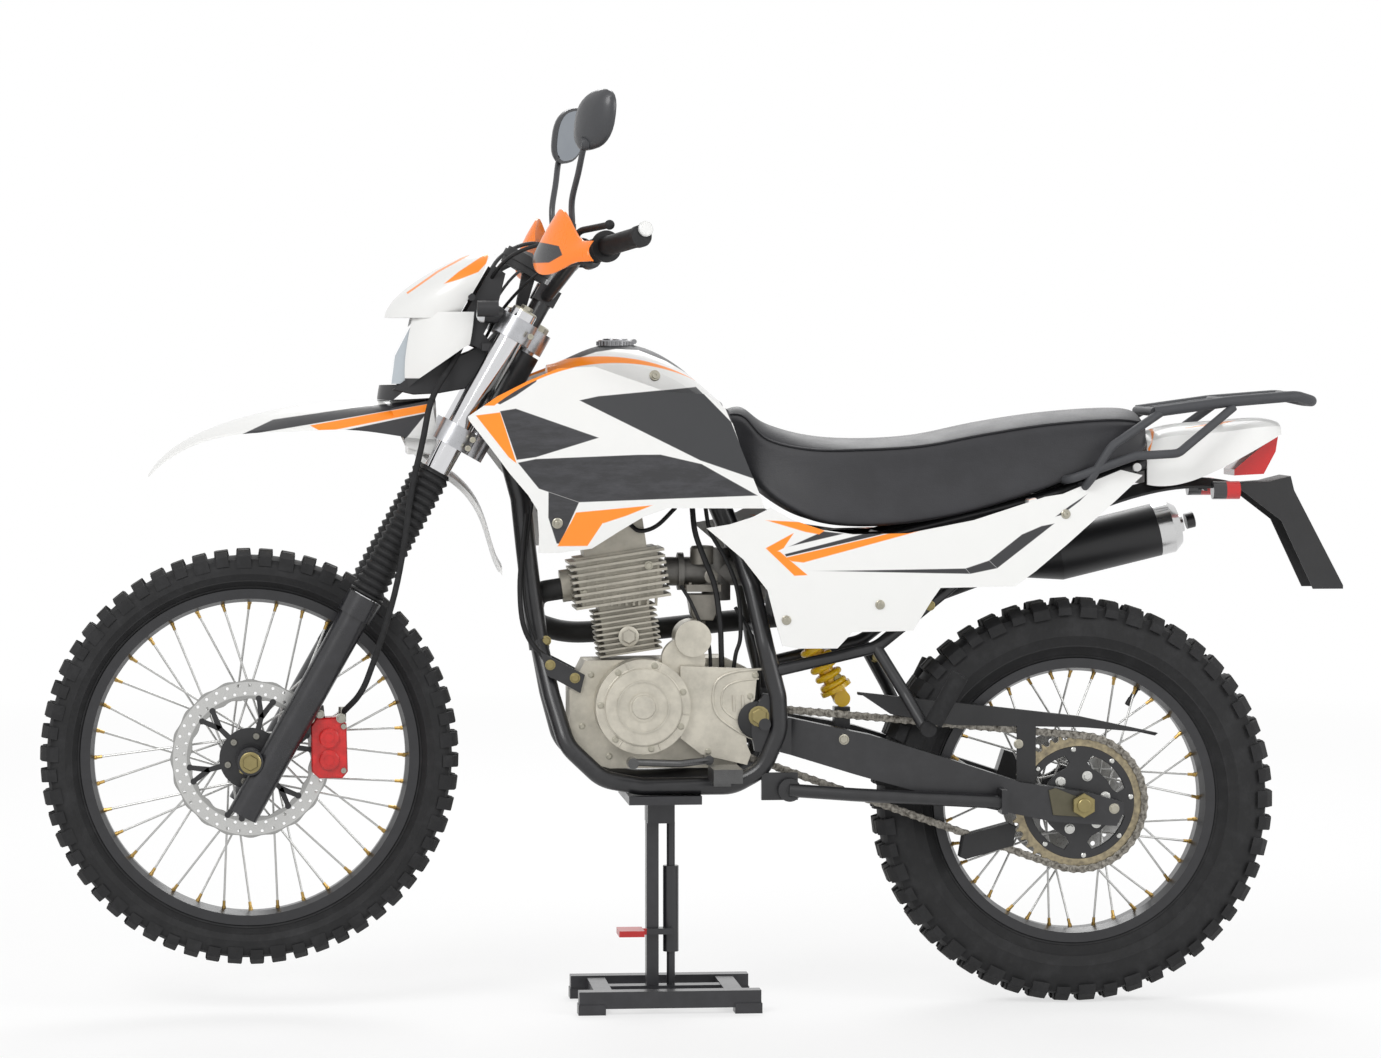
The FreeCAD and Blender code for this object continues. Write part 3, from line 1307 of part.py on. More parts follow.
def rear_mudguard():
    start_x = D.pivot_x + D.frame_reach * 0.53
    start_z = D.pivot_z + D.frame_reach * 0.42
    reach = D.tail_tip_x - D.plate_bracket_length * 0.62 - start_x
    rise = D.rack_z - D.tail_length * 0.5 - start_z
    rows = []
    for a, lift, half, drop in mudguard_stations:
        rows.append((start_x + a * reach, start_z + lift / 0.42 * rise, half * D.tail_half, drop * D.tail_half * 4))
    sheet_body = arch(rows, D.panel_wall)
    top_x, top_z = rows[-1][0], rows[-1][1]
    length = D.plate_bracket_length
    tip = D.tail_tip_x
    bracket = [(-0.42, 0.0), (-0.3, 0.03), (-0.28, -0.05), (0.0, -0.58), (0.0, -0.6), (-0.17, -0.6), (-0.35, -0.22),
               (-0.6, -0.03), (-0.7, -0.02)]
    bracket_shares = [(tip + a * length, top_z + b * length) for a, b in bracket]
    half = D.tail_half * 0.52
    keel = slab(bracket_shares, -half, half)
    hollow = slab([(x, z - D.panel_wall * 2) for x, z in bracket_shares], -half + D.panel_wall, half - D.panel_wall)
    posts = []
    for share in ((0.916, 0.3, 0.735), (1.33, 0.3, 0.867)):
        spot = near_pivot(share)
        for side in (-1, 1):
            foot = Vector(spot.x, side * spot.y, spot.z - D.frame_reach * 0.14)
            posts.append(Part.makeCylinder(D.rail_radius * 0.8, spot.z - foot.z, foot))
    under = slab([(x, z - D.panel_wall) for x, z, half, drop in rows] + [(rows[-1][0], 0), (rows[0][0], 0)],
                 -D.tail_half, D.tail_half)
    posts = posts[0].fuse(posts[1:]).cut(under)
    return largest(sheet_body.fuse([keel.cut(hollow), posts]).cut(subframe_room))


keep("rear_mudguard", solid("rear_mudguard_shell", rear_mudguard()))


def tail_lamps():
    base = D.rack_z - D.tail_length * 0.5
    size = D.tail_length
    front = D.seat_front_x + D.seat_length
    lamp = [(0.62, 0.08), (0.92, 0.33), (0.9, 0.2), (0.82, 0.05), (0.62, 0.04)]
    lamp_shares = [(front + a * size, base + b * size) for a, b in lamp]
    half = D.tail_half * 0.5
    lens = slab(lamp_shares, -half, half)
    solids = [lens]
    for side in (-1, 1):
        start = Vector(front + size * 0.5, side * D.tail_half * 0.62, base - size * 0.05)
        root = Vector(start.x, side * D.tail_half * 0.5, start.z)
        stalk = Part.makeCylinder(D.rail_radius * 0.6, D.tail_half * 0.67, root, Vector(0, side, 0))
        head = Part.makeCylinder(D.rail_radius * 1.5, size * 0.18, start + Vector(-size * 0.08, side * D.tail_half * 0.6, 0),
                                 Vector(1, 0, 0))
        solids.append(stalk.fuse(head))
    return Part.makeCompound(solids)


lamp_room = pieces[-1].Shape.fuse(pieces[-2].Shape)
lamp_parts = [largest(part.cut(lamp_room)) for part in tail_lamps().Solids]
keep("tail_lamps", solid("tail_lamp_set", Part.makeCompound(lamp_parts)))


keep("luggage_rack", solid("rack_weldment", rack(0)))

# handlebar and what it carries, in the fork frame

bar_shares = [(0, 0, 0), (0.18, 0, 0), (0.48, 0.5, 0.08), (0.7, 0.76, 0.5), (1.0, 1.0, 1.0)]


def bar_point(share, side=1):
    """A point from shares of the bar's half width, rise and sweep."""
    return Vector(D.fork_lead + D.clamp_offset * 0.55 + share[2] * D.bar_sweep, side * share[0] * D.bar_half,
                  D.upper_clamp_z + D.clamp_height / 2 + D.riser_height + share[1] * D.bar_rise)


def bar_tube(radius):
    left = [bar_point(share, -1) for share in reversed(bar_shares[1:])]
    right = [bar_point(share) for share in bar_shares[1:]]
    return pipe(left + right, radius, D.bar_half * 0.12)


def handlebar():
    tube_body = bar_tube(D.bar_radius)
    risers = []
    for side in (-1, 1):
        low = D.upper_clamp_z + D.clamp_height * bridge_share / 2 + D.seat_gap
        foot = Vector(bar_point((0, 0, 0)).x, side * D.fork_half_spacing * 0.42, D.upper_clamp_z + D.clamp_height / 2)
        post = Part.makeCylinder(D.bar_radius * 1.3, foot.z + D.riser_height - low, Vector(foot.x, foot.y, low))
        grip_block = Part.makeBox(D.bar_radius * 3.4, D.bar_radius * 2.6, D.bar_radius * 2.6,
                                  foot + Vector(-D.bar_radius * 1.7, -D.bar_radius * 1.3, D.riser_height - D.bar_radius * 1.3))
        risers += [post, grip_block]
    return tube_body.fuse(risers)


def on_bar(label, name, shape):
    return keep(label, raked(solid(name, shape)))


on_bar("handlebar", "bar_and_risers", handlebar())
bar_room = bar_tube(D.bar_radius + D.seat_gap)


def between(first, last, share):
    return first + (last - first) * share


def hand_controls():
    """Grips, perches, switch blocks and levers, left and right."""
    solids = []
    for side in (-1, 1):
        inner, end = bar_point(bar_shares[3], side), bar_point(bar_shares[4], side)
        grip_start = between(inner, end, 0.02)
        run = end - grip_start
        grip = Part.makeCylinder(D.grip_radius, run.Length, grip_start, run)
        flange = Part.makeCylinder(D.grip_radius * 1.6, D.grip_radius * 0.35, grip_start, run)
        plug = Part.makeCylinder(D.grip_radius * 1.1, D.grip_radius * 0.8, end + run.normalize() * D.seat_gap, run)
        solids += [grip.fuse(flange).cut(bar_room), plug]
        bend, out = bar_point(bar_shares[2], side), bar_point(bar_shares[3], side)
        run = out - bend
        switch = Part.makeCylinder(D.grip_radius * 1.25, run.Length * 0.34, between(bend, out, 0.62), run)
        perch = Part.makeCylinder(D.grip_radius, run.Length * 0.22, between(bend, out, 0.36), run)
        hinge = between(bend, out, 0.45) + Vector(-D.grip_radius * 2.4, 0, 0)
        arm = Part.makeBox(D.grip_radius * 2.4, D.grip_radius * 1.1, D.grip_radius,
                           hinge + Vector(0, -D.grip_radius * 0.55, -D.grip_radius * 0.5))
        tip = between(inner, end, 0.86) + Vector(-D.grip_radius * 2.7, 0, 0)
        knee = between(inner, end, 0.1) + Vector(-D.grip_radius * 3.1, 0, 0)
        lever = pipe([hinge, knee, tip], D.grip_radius * 0.34, D.bar_half * 0.2)
        knob = Part.makeSphere(D.grip_radius * 0.5, tip)
        collar = perch.fuse([arm, lever, knob]).cut(bar_room)
        solids += [switch.cut(bar_room), max(collar.Solids, key=lambda part: part.Volume)]
    return Part.makeCompound(solids)


on_bar("hand_controls", "hand_control_set", hand_controls())


def handguards():
    """Bent shields in front of the grips, carried from the bar beside the levers."""
    solids = []
    for side in (-1, 1):
        middle = between(bar_point(bar_shares[3]), bar_point(bar_shares[4]), 0.45)
        front = middle.x - D.guard_height * 1.15
        low, high = middle.z - D.guard_height * 0.5, middle.z + D.guard_height * 0.5
        wall = D.panel_wall
        reach = D.bar_half * 0.52
        outer = [Vector(front + D.guard_height * 0.25, middle.y - reach * 0.52, low),
                 Vector(front, middle.y - reach * 0.1, low), Vector(front + D.guard_height * 0.42, middle.y + reach * 0.31, low)]
        inner = [point + Vector(wall, -wall * 0.4, 0) for point in outer]
        edges = [Part.Arc(*outer).toShape(), Part.LineSegment(outer[2], inner[2]).toShape(),
                 Part.Arc(*reversed(inner)).toShape(), Part.LineSegment(inner[0], outer[0]).toShape()]
        sheet_body = Part.Face(Part.Wire(edges)).extrude(Vector(0, 0, high - low))
        shape_shares = [(-0.52, 0.3), (-0.5, 0.75), (-0.2, 0.97), (0.12, 1.0), (0.28, 0.8), (0.31, 0.45), (0.2, 0.12), (-0.1, 0.0), (-0.4, 0.05)]
        corners = [Vector(front - wall * 2, middle.y + a * reach, low + b * (high - low)) for a, b in shape_shares]
        mask = Part.Face(Part.makePolygon(corners + corners[:1])).extrude(Vector(D.guard_height, 0, 0))
        shield = sheet_body.common(mask)
        hold = between(bar_point(bar_shares[2]), bar_point(bar_shares[3]), 0.16)
        ring = Part.makeCylinder(D.bar_radius * 1.5, D.bar_radius * 0.9, hold,
                                 bar_point(bar_shares[3]) - bar_point(bar_shares[2]))
        arm = pipe([hold + Vector(-D.bar_radius * 0.5, D.bar_radius * 0.5, -D.bar_radius * 1.3),
                    Vector(front + D.guard_height * 0.3, middle.y - reach * 0.5, middle.z - D.guard_height * 0.62),
                    Vector(front + D.guard_height * 0.1, middle.y - reach * 0.36, middle.z - D.guard_height * 0.38)],
                   D.bar_radius * 0.5, D.bar_radius * 3)
        body = shield.fuse([ring, arm]).cut(bar_room)
        body = max(body.Solids, key=lambda part: part.Volume)
        solids.append(body if side == 1 else body.mirror(Vector(), Y_AXIS))
    return Part.makeCompound(solids)


on_bar("handguards", "handguard_pair", handguards())


def mirrors():
    """Faceted mirror heads on bent stalks."""
    solids = []
    base = bar_point(bar_shares[2])
    tall = D.mirror_height
    lean = Rotation(Y_AXIS, -D.rake_angle)
    upright = lean.multVec(Vector(0, 0, 1))
    rearward = lean.multVec(Vector(1, 0, 0))
    ring = Part.makeCylinder(D.bar_radius * 1.5, D.bar_radius * 1.6, base - Vector(0, D.bar_radius * 0.8, 0), Y_AXIS)
    foot = base + upright * D.bar_radius
    centre = base + upright * tall * 2.05 + rearward * tall * 0.06
    centre.y = D.mirror_y
    stalk = pipe([foot, foot + upright * tall * 0.62 - rearward * tall * 0.1,
                  foot + upright * tall * 1.15 - rearward * tall * 0.02 + Vector(0, tall * 0.22, 0),
                  centre - Vector(0, D.mirror_width * 0.12, 0) - upright * tall * 0.3], D.hose_radius, tall * 0.3)
    back_shares = [(-0.45, -0.42), (0.12, -0.5), (0.46, -0.3), (0.5, 0.2), (0.34, 0.46), (-0.28, 0.5), (-0.5, 0.1)]
    rings = []
    for depth, grow in ((-0.5, 0.6), (0.1, 0.97), (0.5, 1.0)):
        points = [Vector(depth * D.mirror_wall, a * D.mirror_width * grow, b * tall * grow) for a, b in back_shares]
        rings.append(Part.makePolygon(points + points[:1]))
    head = Part.makeLoft(rings, True, True)
    yaw = 24
    head.Placement = Placement(centre, lean.multiply(Rotation(Vector(0, 0, 1), -yaw)))
    body = stalk.fuse([ring, head]).cut(bar_room)
    body = max(body.Solids, key=lambda part: part.Volume)
    return both(body)


on_bar("mirrors", "mirror_pair", mirrors())


def gauge():
    """Instrument case ahead of the bar on a bracket from the upper clamp."""
    top = D.upper_clamp_z + D.clamp_height / 2
    size = D.riser_height
    x = D.fork_lead - size * 0.55
    case = Part.makeCylinder(size * 0.7, size * 0.5, Vector(x, 0, top + size * 1.25))
    rim_ring = Part.makeCylinder(size * 0.76, size * 0.2, Vector(x, 0, top + size * 1.45))
    low = D.upper_clamp_z + D.clamp_height * bridge_share / 2 + D.seat_gap
    stay = slab([(x, top + size * 1.3), (x + size * 0.4, top + size * 1.3), (D.fork_lead + size * 0.16, low),
                 (D.fork_lead - size * 0.1, low)], -size * 0.3, size * 0.3)
    return case.fuse([rim_ring, stay])


on_bar("gauge", "gauge_case", gauge())

# headlight cowl: a lower shield and a brow, cut open for the lamp


def bow(z, front, rear, half):
    """A level curve round the front of the cowl."""
    depth = rear - front
    turn_shares = [(1, -1), (0.36, -0.86), (0, 0), (0.36, 0.86), (1, 1)]
    curve = Part.BSplineCurve()
    curve.interpolate([Vector(front + a * depth, b * half, z) for a, b in turn_shares])
    return curve


def level_skin(rows, wall):
    """A shield lofted through level bows (z, front, rear, half width)."""
    rings = []
    for z, front, rear, half in rows:
        outer = bow(z, front, rear, half)
        inner = bow(z, front + wall, rear, half - wall)
        first, last = outer.value(outer.FirstParameter), outer.value(outer.LastParameter)
        near, far = inner.value(inner.FirstParameter), inner.value(inner.LastParameter)
        edges = [outer.toShape(), Part.LineSegment(last, far).toShape(),
                 inner.toShape(), Part.LineSegment(near, first).toShape()]
        rings.append(Part.Wire(Part.__sortEdges__(edges)))
    return Part.makeLoft(rings, True, False)


# the cowl's shares run back from the wheel's axle line and up from the fender's top
brow_shares = [(0.56, 0.02, 0.62, 0.86), (0.64, 0.06, 0.66, 0.92), (0.76, 0.2, 0.75, 0.98), (0.88, 0.42, 0.82, 0.92), (1.0, 0.78, 0.95, 0.55)]
cheek_shares = [(0.0, -0.04, 0.42, 0.58), (0.18, 0.0, 0.62, 0.8), (0.36, 0.06, 0.7, 0.92), (0.6, 0.14, 0.74, 0.96)]


def cowl_place(a, c):
    lead = D.rear_axle_x - D.wheelbase
    return lead + D.cowl_depth * (1.09 + a), D.fender_top_z + D.cowl_height * c


def cowl_rows(table):
    rows = []
    for up, front, rear, half in table:
        x0, z = cowl_place(front, up)
        x1, z = cowl_place(rear, up)
        rows.append((z, x0, x1, half * D.cowl_half))
    return rows


def cowl():
    cheeks = level_skin(cowl_rows(cheek_shares), D.panel_wall)
    brow = level_skin(cowl_rows(brow_shares), D.panel_wall)
    x0, z0 = cowl_place(-0.2, 0.1)
    x1, z1 = cowl_place(0.5, 0.56)
    window = Part.makeBox(x1 - x0, D.cowl_half * 1.24, z1 - z0, Vector(x0, -D.cowl_half * 0.62, z0))
    low = [cowl_place(a, c) for a, c in ((-0.3, -0.1), (0.06, -0.02), (0.3, 0.15), (0.66, 0.36), (0.76, 0.4), (0.95, 0.65), (0.8, 0.76),
                                         (0.8, 1.1), (-0.3, 1.1))]
    return cheeks.cut(window).common(slab(low, -D.cowl_half * 2, D.cowl_half * 2)).fuse(brow)


cowl_shape = cowl()


keep("headlight_cowl", solid("cowl_shell", cowl_shape))


def front_lamps():
    x0, z0 = cowl_place(0.0, 0.11)
    x1, z1 = cowl_place(0.5, 0.55)
    half = D.cowl_half * 0.6
    lens_shares = [(0.07, 0.11), (0.1, 0.3), (0.2, 0.46), (0.26, 0.55), (0.6, 0.55), (0.6, 0.3), (0.4, 0.11)]
    lens = slab([cowl_place(a, c) for a, c in lens_shares], -half, half)
    solids = [lens]
    for side in (-1, 1):
        plate = [(0.55, 0.42), (0.9, 0.92), (1.0, 0.86), (0.93, 0.62), (0.82, 0.45), (0.9, 0.37), (0.84, 0.33), (0.66, 0.4)]
        low = side * D.cowl_half * 0.78
        sheet_body = slab([cowl_place(a, c) for a, c in plate], min(low, low + side * D.panel_wall), max(low, low + side * D.panel_wall))
        stalk_x, stalk_z = cowl_place(0.85, 0.62)
        stalk = Part.makeCylinder(D.rail_radius * 0.7, D.cowl_half * 0.55, Vector(stalk_x, low, stalk_z), Vector(0, side, 0))
        head = Part.makeCylinder(D.rail_radius * 1.3, D.cowl_half * 0.36,
                                 Vector(stalk_x - D.cowl_half * 0.2, low + side * D.cowl_half * 0.62, stalk_z), Vector(1, 0, 0))
        solids.append(sheet_body.fuse([stalk, head]))
    plate_y = D.cowl_half * 0.78 + D.panel_wall
    bridge = Part.makeBox(D.cowl_depth * 0.06, plate_y * 2, D.cowl_height * 0.05,
                          Vector(cowl_place(0.45, 0)[0], -plate_y, cowl_place(0, 0.44)[1]))
    for side in (-1, 1):
        link_x, link_z = cowl_place(0.45, 0.44)
        low = min(side * (plate_y - D.panel_wall * 2), side * plate_y)
        solids.append(Part.makeBox(D.cowl_depth * 0.16, D.panel_wall * 2, D.cowl_height * 0.05, Vector(link_x, low, link_z)))
        lug_x, lug_z = cowl_place(0.8, 0.335)
        low = min(side * (plate_y - D.panel_wall), side * D.fork_half_spacing)
        solids.append(Part.makeBox(D.cowl_depth * 0.14, D.fork_half_spacing - plate_y + D.panel_wall, D.panel_wall * 3,
                                   Vector(lug_x, low, lug_z)))
        for a, c in ((0.6, 0.45), (0.72, 0.7)):
            x, z = cowl_place(a, c)
            post = Part.makeCylinder(D.rail_radius * 0.6, D.cowl_half - plate_y, Vector(x, side * (plate_y - D.panel_wall / 2), z), Vector(0, side, 0))
            solids.append(post)
    return solids[0].fuse(solids[1:] + [bridge])


def fork_room(grow):
    tubes = []
    for side in (-1, 1):
        start = on_fork(D.fork_lead, side * D.fork_half_spacing, D.slider_top)
        top = on_fork(D.fork_lead, side * D.fork_half_spacing, D.fork_top)
        tubes.append(Part.makeCylinder(D.fork_tube_radius + grow, (top - start).Length, start, top - start))
    return tubes[0].fuse(tubes[1:])


lamps = front_lamps().cut(fork_room(D.seat_gap))
for way in (Vector(), Vector(0, 1, 0), Vector(0, -1, 0), Vector(1, 0, 0)):
    moved_cowl = cowl_shape.copy()
    moved_cowl.translate(way * D.seat_gap)
    lamps = lamps.cut(moved_cowl)
keep("front_lamps", solid("lamp_set", largest(lamps)))

# front mudguard under the lower clamp

fender_shares = [(0.0, -0.45, 0.22, 0.02), (0.08, -0.3, 0.5, 0.1), (0.32, -0.11, 0.88, 0.24), (0.5, -0.04, 1.0, 0.4),
                 (0.68, -0.01, 1.0, 0.46), (0.86, 0.0, 0.9, 0.6), (1.0, 0.012, 0.76, 0.7)]
tail_piece_shares = [(0.93, -0.27, 0.7, 0.1), (1.02, -0.39, 0.7, 0.12), (1.1, -0.5, 0.68, 0.12), (1.18, -0.76, 0.6, 0.12), (1.23, -1.0, 0.5, 0.1)]


def fender():
    lead = D.rear_axle_x - D.wheelbase - D.fender_length * 0.35
    high = D.fender_half * 3

    def rows(table):
        return [(lead + a * D.fender_length, D.fender_top_z + b * high, half * D.fender_half, drop * D.fender_half)
                for a, b, half, drop in table]

    top = arch(rows(fender_shares), D.panel_wall)
    tail_sheet = arch(rows(tail_piece_shares), D.panel_wall * 2.5)
    walls = []
    side_shares = [(0.84, -0.05), (0.985, 0.0), (1.0, -0.2), (1.0, -0.34), (0.9, -0.29)]
    for side in (-1, 1):
        inner = side * D.fender_half * 0.66
        low = min(inner, inner + side * D.panel_wall)
        walls.append(slab([(lead + a * D.fender_length, D.fender_top_z + b * high) for a, b in side_shares],
                          low, low + D.panel_wall))
    neck = Part.makeBox(D.fender_length * 0.14, D.fender_half * 1.3, D.panel_wall * 4,
                        Vector(lead + D.fender_length * 0.9, -D.fender_half * 0.65, D.fender_top_z - high * 0.33))
    pads = []
    for side in (-1, 1):
        foot = Vector(D.fork_lead + D.clamp_offset * 0.05, side * D.fork_half_spacing * 0.36,
                      D.lower_clamp_z - D.clamp_height * 0.95)
        pad = Part.makeCylinder(D.rail_radius, D.clamp_height, foot)
        pad.Placement = fork_frame().multiply(pad.Placement)
        pads.append(pad)
    return top.fuse([tail_sheet, neck] + walls + pads)


def clamp_room():
    """Space that the lower clamp and the fork legs take."""
    tubes = []
    reach = D.fork_tube_radius + D.clamp_wall + D.seat_gap
    low = D.lower_clamp_z - D.clamp_height / 2 - D.seat_gap
    high = D.lower_clamp_z + D.clamp_height / 2 + D.seat_gap
    for side in (-1, 1):
        start = on_fork(D.fork_lead, side * D.fork_half_spacing, low)
        top = on_fork(D.fork_lead, side * D.fork_half_spacing, high)
        tubes.append(Part.makeCylinder(reach, high - low, start, top - start))
        start = on_fork(D.fork_lead, side * D.fork_half_spacing, 0)
        tubes.append(Part.makeCylinder(D.gaiter_radius + D.seat_gap, high, start, top - start))
    thick = D.clamp_height * bridge_share + D.seat_gap * 2
    box = Part.makeBox(D.fork_tube_radius * 4, D.fork_half_spacing * 2, thick,
                       Vector(D.fork_lead + D.clamp_offset * 0.35 - D.fork_tube_radius * 0.9 - D.seat_gap,
                              -D.fork_half_spacing, D.lower_clamp_z - thick / 2))
    box.Placement = fork_frame().multiply(box.Placement)
    return tubes[0].fuse(tubes[1:] + [box])


fender_shape = fender().cut(clamp_room())
fender_shape = max(fender_shape.Solids, key=lambda part: part.Volume)
keep("front_fender", solid("fender_shell", fender_shape))


def caliper(plate_y, radius, band, x_share, z_share):
    """A brake caliper straddling a disc, in the wheel's own frame."""
    size = band * 1.6
    middle = radius - band * 0.3
    centre = Vector(middle * x_share, plate_y, middle * z_share)
    out = -1 if plate_y < 0 else 1
    near, far = plate_y - out * size * 0.23, plate_y + out * size * 0.45
    body = Part.makeBox(size, abs(far - near), size * 1.75,
                        Vector(centre.x - size / 2, min(near, far), centre.z - size * 0.875))
    slot = Part.makeCylinder(radius + D.disc_thickness * 1.5, D.disc_thickness * 2, Vector(0, plate_y - D.disc_thickness, 0), Y_AXIS)
    return body.cut(slot), centre, size


def hose_points():
    """The front brake hose: right lever, ahead of the clamps, down outside the left leg."""
    y = -D.fork_half_spacing
    lead = D.fork_lead
    top = D.upper_clamp_z
    return [bar_point((0.46, 0.46, -0.3)), Vector(lead - 52, 95, top + 100), Vector(lead - 80, 15, top + 45),
            Vector(lead - 66, -50, top - 25), Vector(lead - 60, -70, top - 90), Vector(lead - 66, y + 4, top - 165),
            Vector(lead - 42, y - 14, top - 235), Vector(lead - 24, y - 29.8, top - 305), Vector(lead + 10, y - 35.8, top - 388),
            Vector(lead + 38, y - 35, top - 470), Vector(lead + 58, y - 30, top - 560), Vector(lead + 72, y - 6, top - 640),
            Vector(lead + 62, y + 36, top - 686)]


def front_caliper_shape():
    y = -D.front_hub_half + D.disc_thickness
    body, centre, size = caliper(y, D.front_disc_radius, D.front_disc_band, 1, 0)
    turn_angle = -38
    bracket_y = -D.fork_half_spacing + D.slider_radius * 0.4
    bracket = Part.makeBox(D.front_disc_radius * 0.9, y - size * 0.3 - bracket_y, size * 1.1,
                           Vector(D.fork_lead, bracket_y, -size * 0.5))
    shift = Rotation(Y_AXIS, turn_angle)
    body.Placement = Placement(Vector(), shift).multiply(body.Placement)
    bracket = bracket.cut(Part.makeCylinder(D.slider_radius + D.seat_gap, D.slider_top * 2,
                                            Vector(D.fork_lead, -D.fork_half_spacing, -D.slider_top), Vector(0, 0, 1)))
    bracket = bracket.cut(Part.makeCylinder(D.axle_lug_radius + D.seat_gap, D.fork_half_spacing * 2,
                                            Vector(0, -D.fork_half_spacing * 2, 0), Y_AXIS))
    bracket.Placement = Placement(Vector(), shift).multiply(bracket.Placement)
    whole = body.fuse(bracket)
    legs = Part.makeCylinder(D.slider_radius + D.seat_gap, D.slider_top * 2,
                             Vector(D.fork_lead, -D.fork_half_spacing, -D.slider_top), Vector(0, 0, 1))
    whole = whole.cut(legs)
    return max(whole.Solids, key=lambda part: part.Volume)


on_bar("front_caliper", "front_caliper_body", front_caliper_shape())

hose_path = hose_points()
on_bar("brake_hose", "brake_hose_tube", pipe(hose_path, D.hose_radius, D.wheelbase))

# rear brake, chain guard, foot controls


def rear_caliper_shape():
    y = D.rear_hub_half - D.disc_thickness
    body, centre, size = caliper(y, D.rear_disc_radius, D.rear_disc_band, -1, 0)
    base = Vector(D.rear_axle_x, 0, D.rear_tyre_radius)
    stay = Part.makeBox(D.rear_disc_radius * 1.05, D.arm_inner - D.rear_hub_half - D.plate_wall * 0.35, size * 0.5,
                        Vector(-D.rear_disc_radius * 1.05, D.rear_hub_half + D.plate_wall * 0.25, -size * 0.25))
    ring = Part.makeCylinder(D.axle_radius * 2, D.arm_inner - D.rear_hub_half - D.plate_wall * 0.35,
                             Vector(0, D.rear_hub_half + D.plate_wall * 0.25, 0), Y_AXIS)
    bore = Part.makeCylinder(D.axle_radius + D.seat_gap, D.arm_inner * 2, Vector(), Y_AXIS)
    lift_angle = 18
    whole = body.fuse([stay, ring]).cut(bore)
    whole.Placement = Placement(base, Rotation(Y_AXIS, lift_angle)).multiply(whole.Placement)
    return whole


arm_shape = pieces[[thing.Label for thing in pieces].index("swingarm")].Shape
rear_caliper_solid = rear_caliper_shape().cut(arm_shape)
keep("rear_caliper", solid("rear_caliper_body", max(rear_caliper_solid.Solids, key=lambda part: part.Volume)))


def chain_guard():
    """Guard over the upper run and the guide under the arm."""
    reach = D.rear_axle_x - D.pivot_x
    drop = D.pivot_z - D.rear_tyre_radius
    guard_outline_shares = [(0.3, 0.36), (0.67, 0.2), (1.0, 0.05), (1.25, -0.16), (1.01, -0.08), (0.6, -0.04), (0.4, 0.1)]
    side = placed(guard_outline_shares, (D.pivot_x, D.pivot_z), (reach, drop))
    y = -D.chain_plane - D.chain_width / 2 - D.plate_wall * 0.5
    cover = slab(side, y - D.panel_wall, y)
    top_shares = [(0.3, 0.36), (0.67, 0.2), (1.0, 0.05), (1.25, -0.16), (1.24, -0.19), (1.0, 0.02), (0.67, 0.17), (0.3, 0.33)]
    roof = slab(placed(top_shares, (D.pivot_x, D.pivot_z), (reach, drop)), y, y + D.chain_width + D.plate_wall * 0.4)
    tab_shares = [(0.8, 0.0), (0.86, -0.02), (0.86, -0.8), (0.8, -0.8)]
    tab = slab(placed(tab_shares, (D.pivot_x, D.pivot_z), (reach, drop)), y - D.panel_wall, y)
    whole = cover.fuse([roof, tab])
    for way in (Vector(), Vector(0, 0, 1)):
        arm = arm_shape.copy()
        arm.translate(way * D.seat_gap)
        whole = whole.cut(arm)
    return largest(whole)


keep("chain_guard", solid("chain_guard_sheet", chain_guard()))


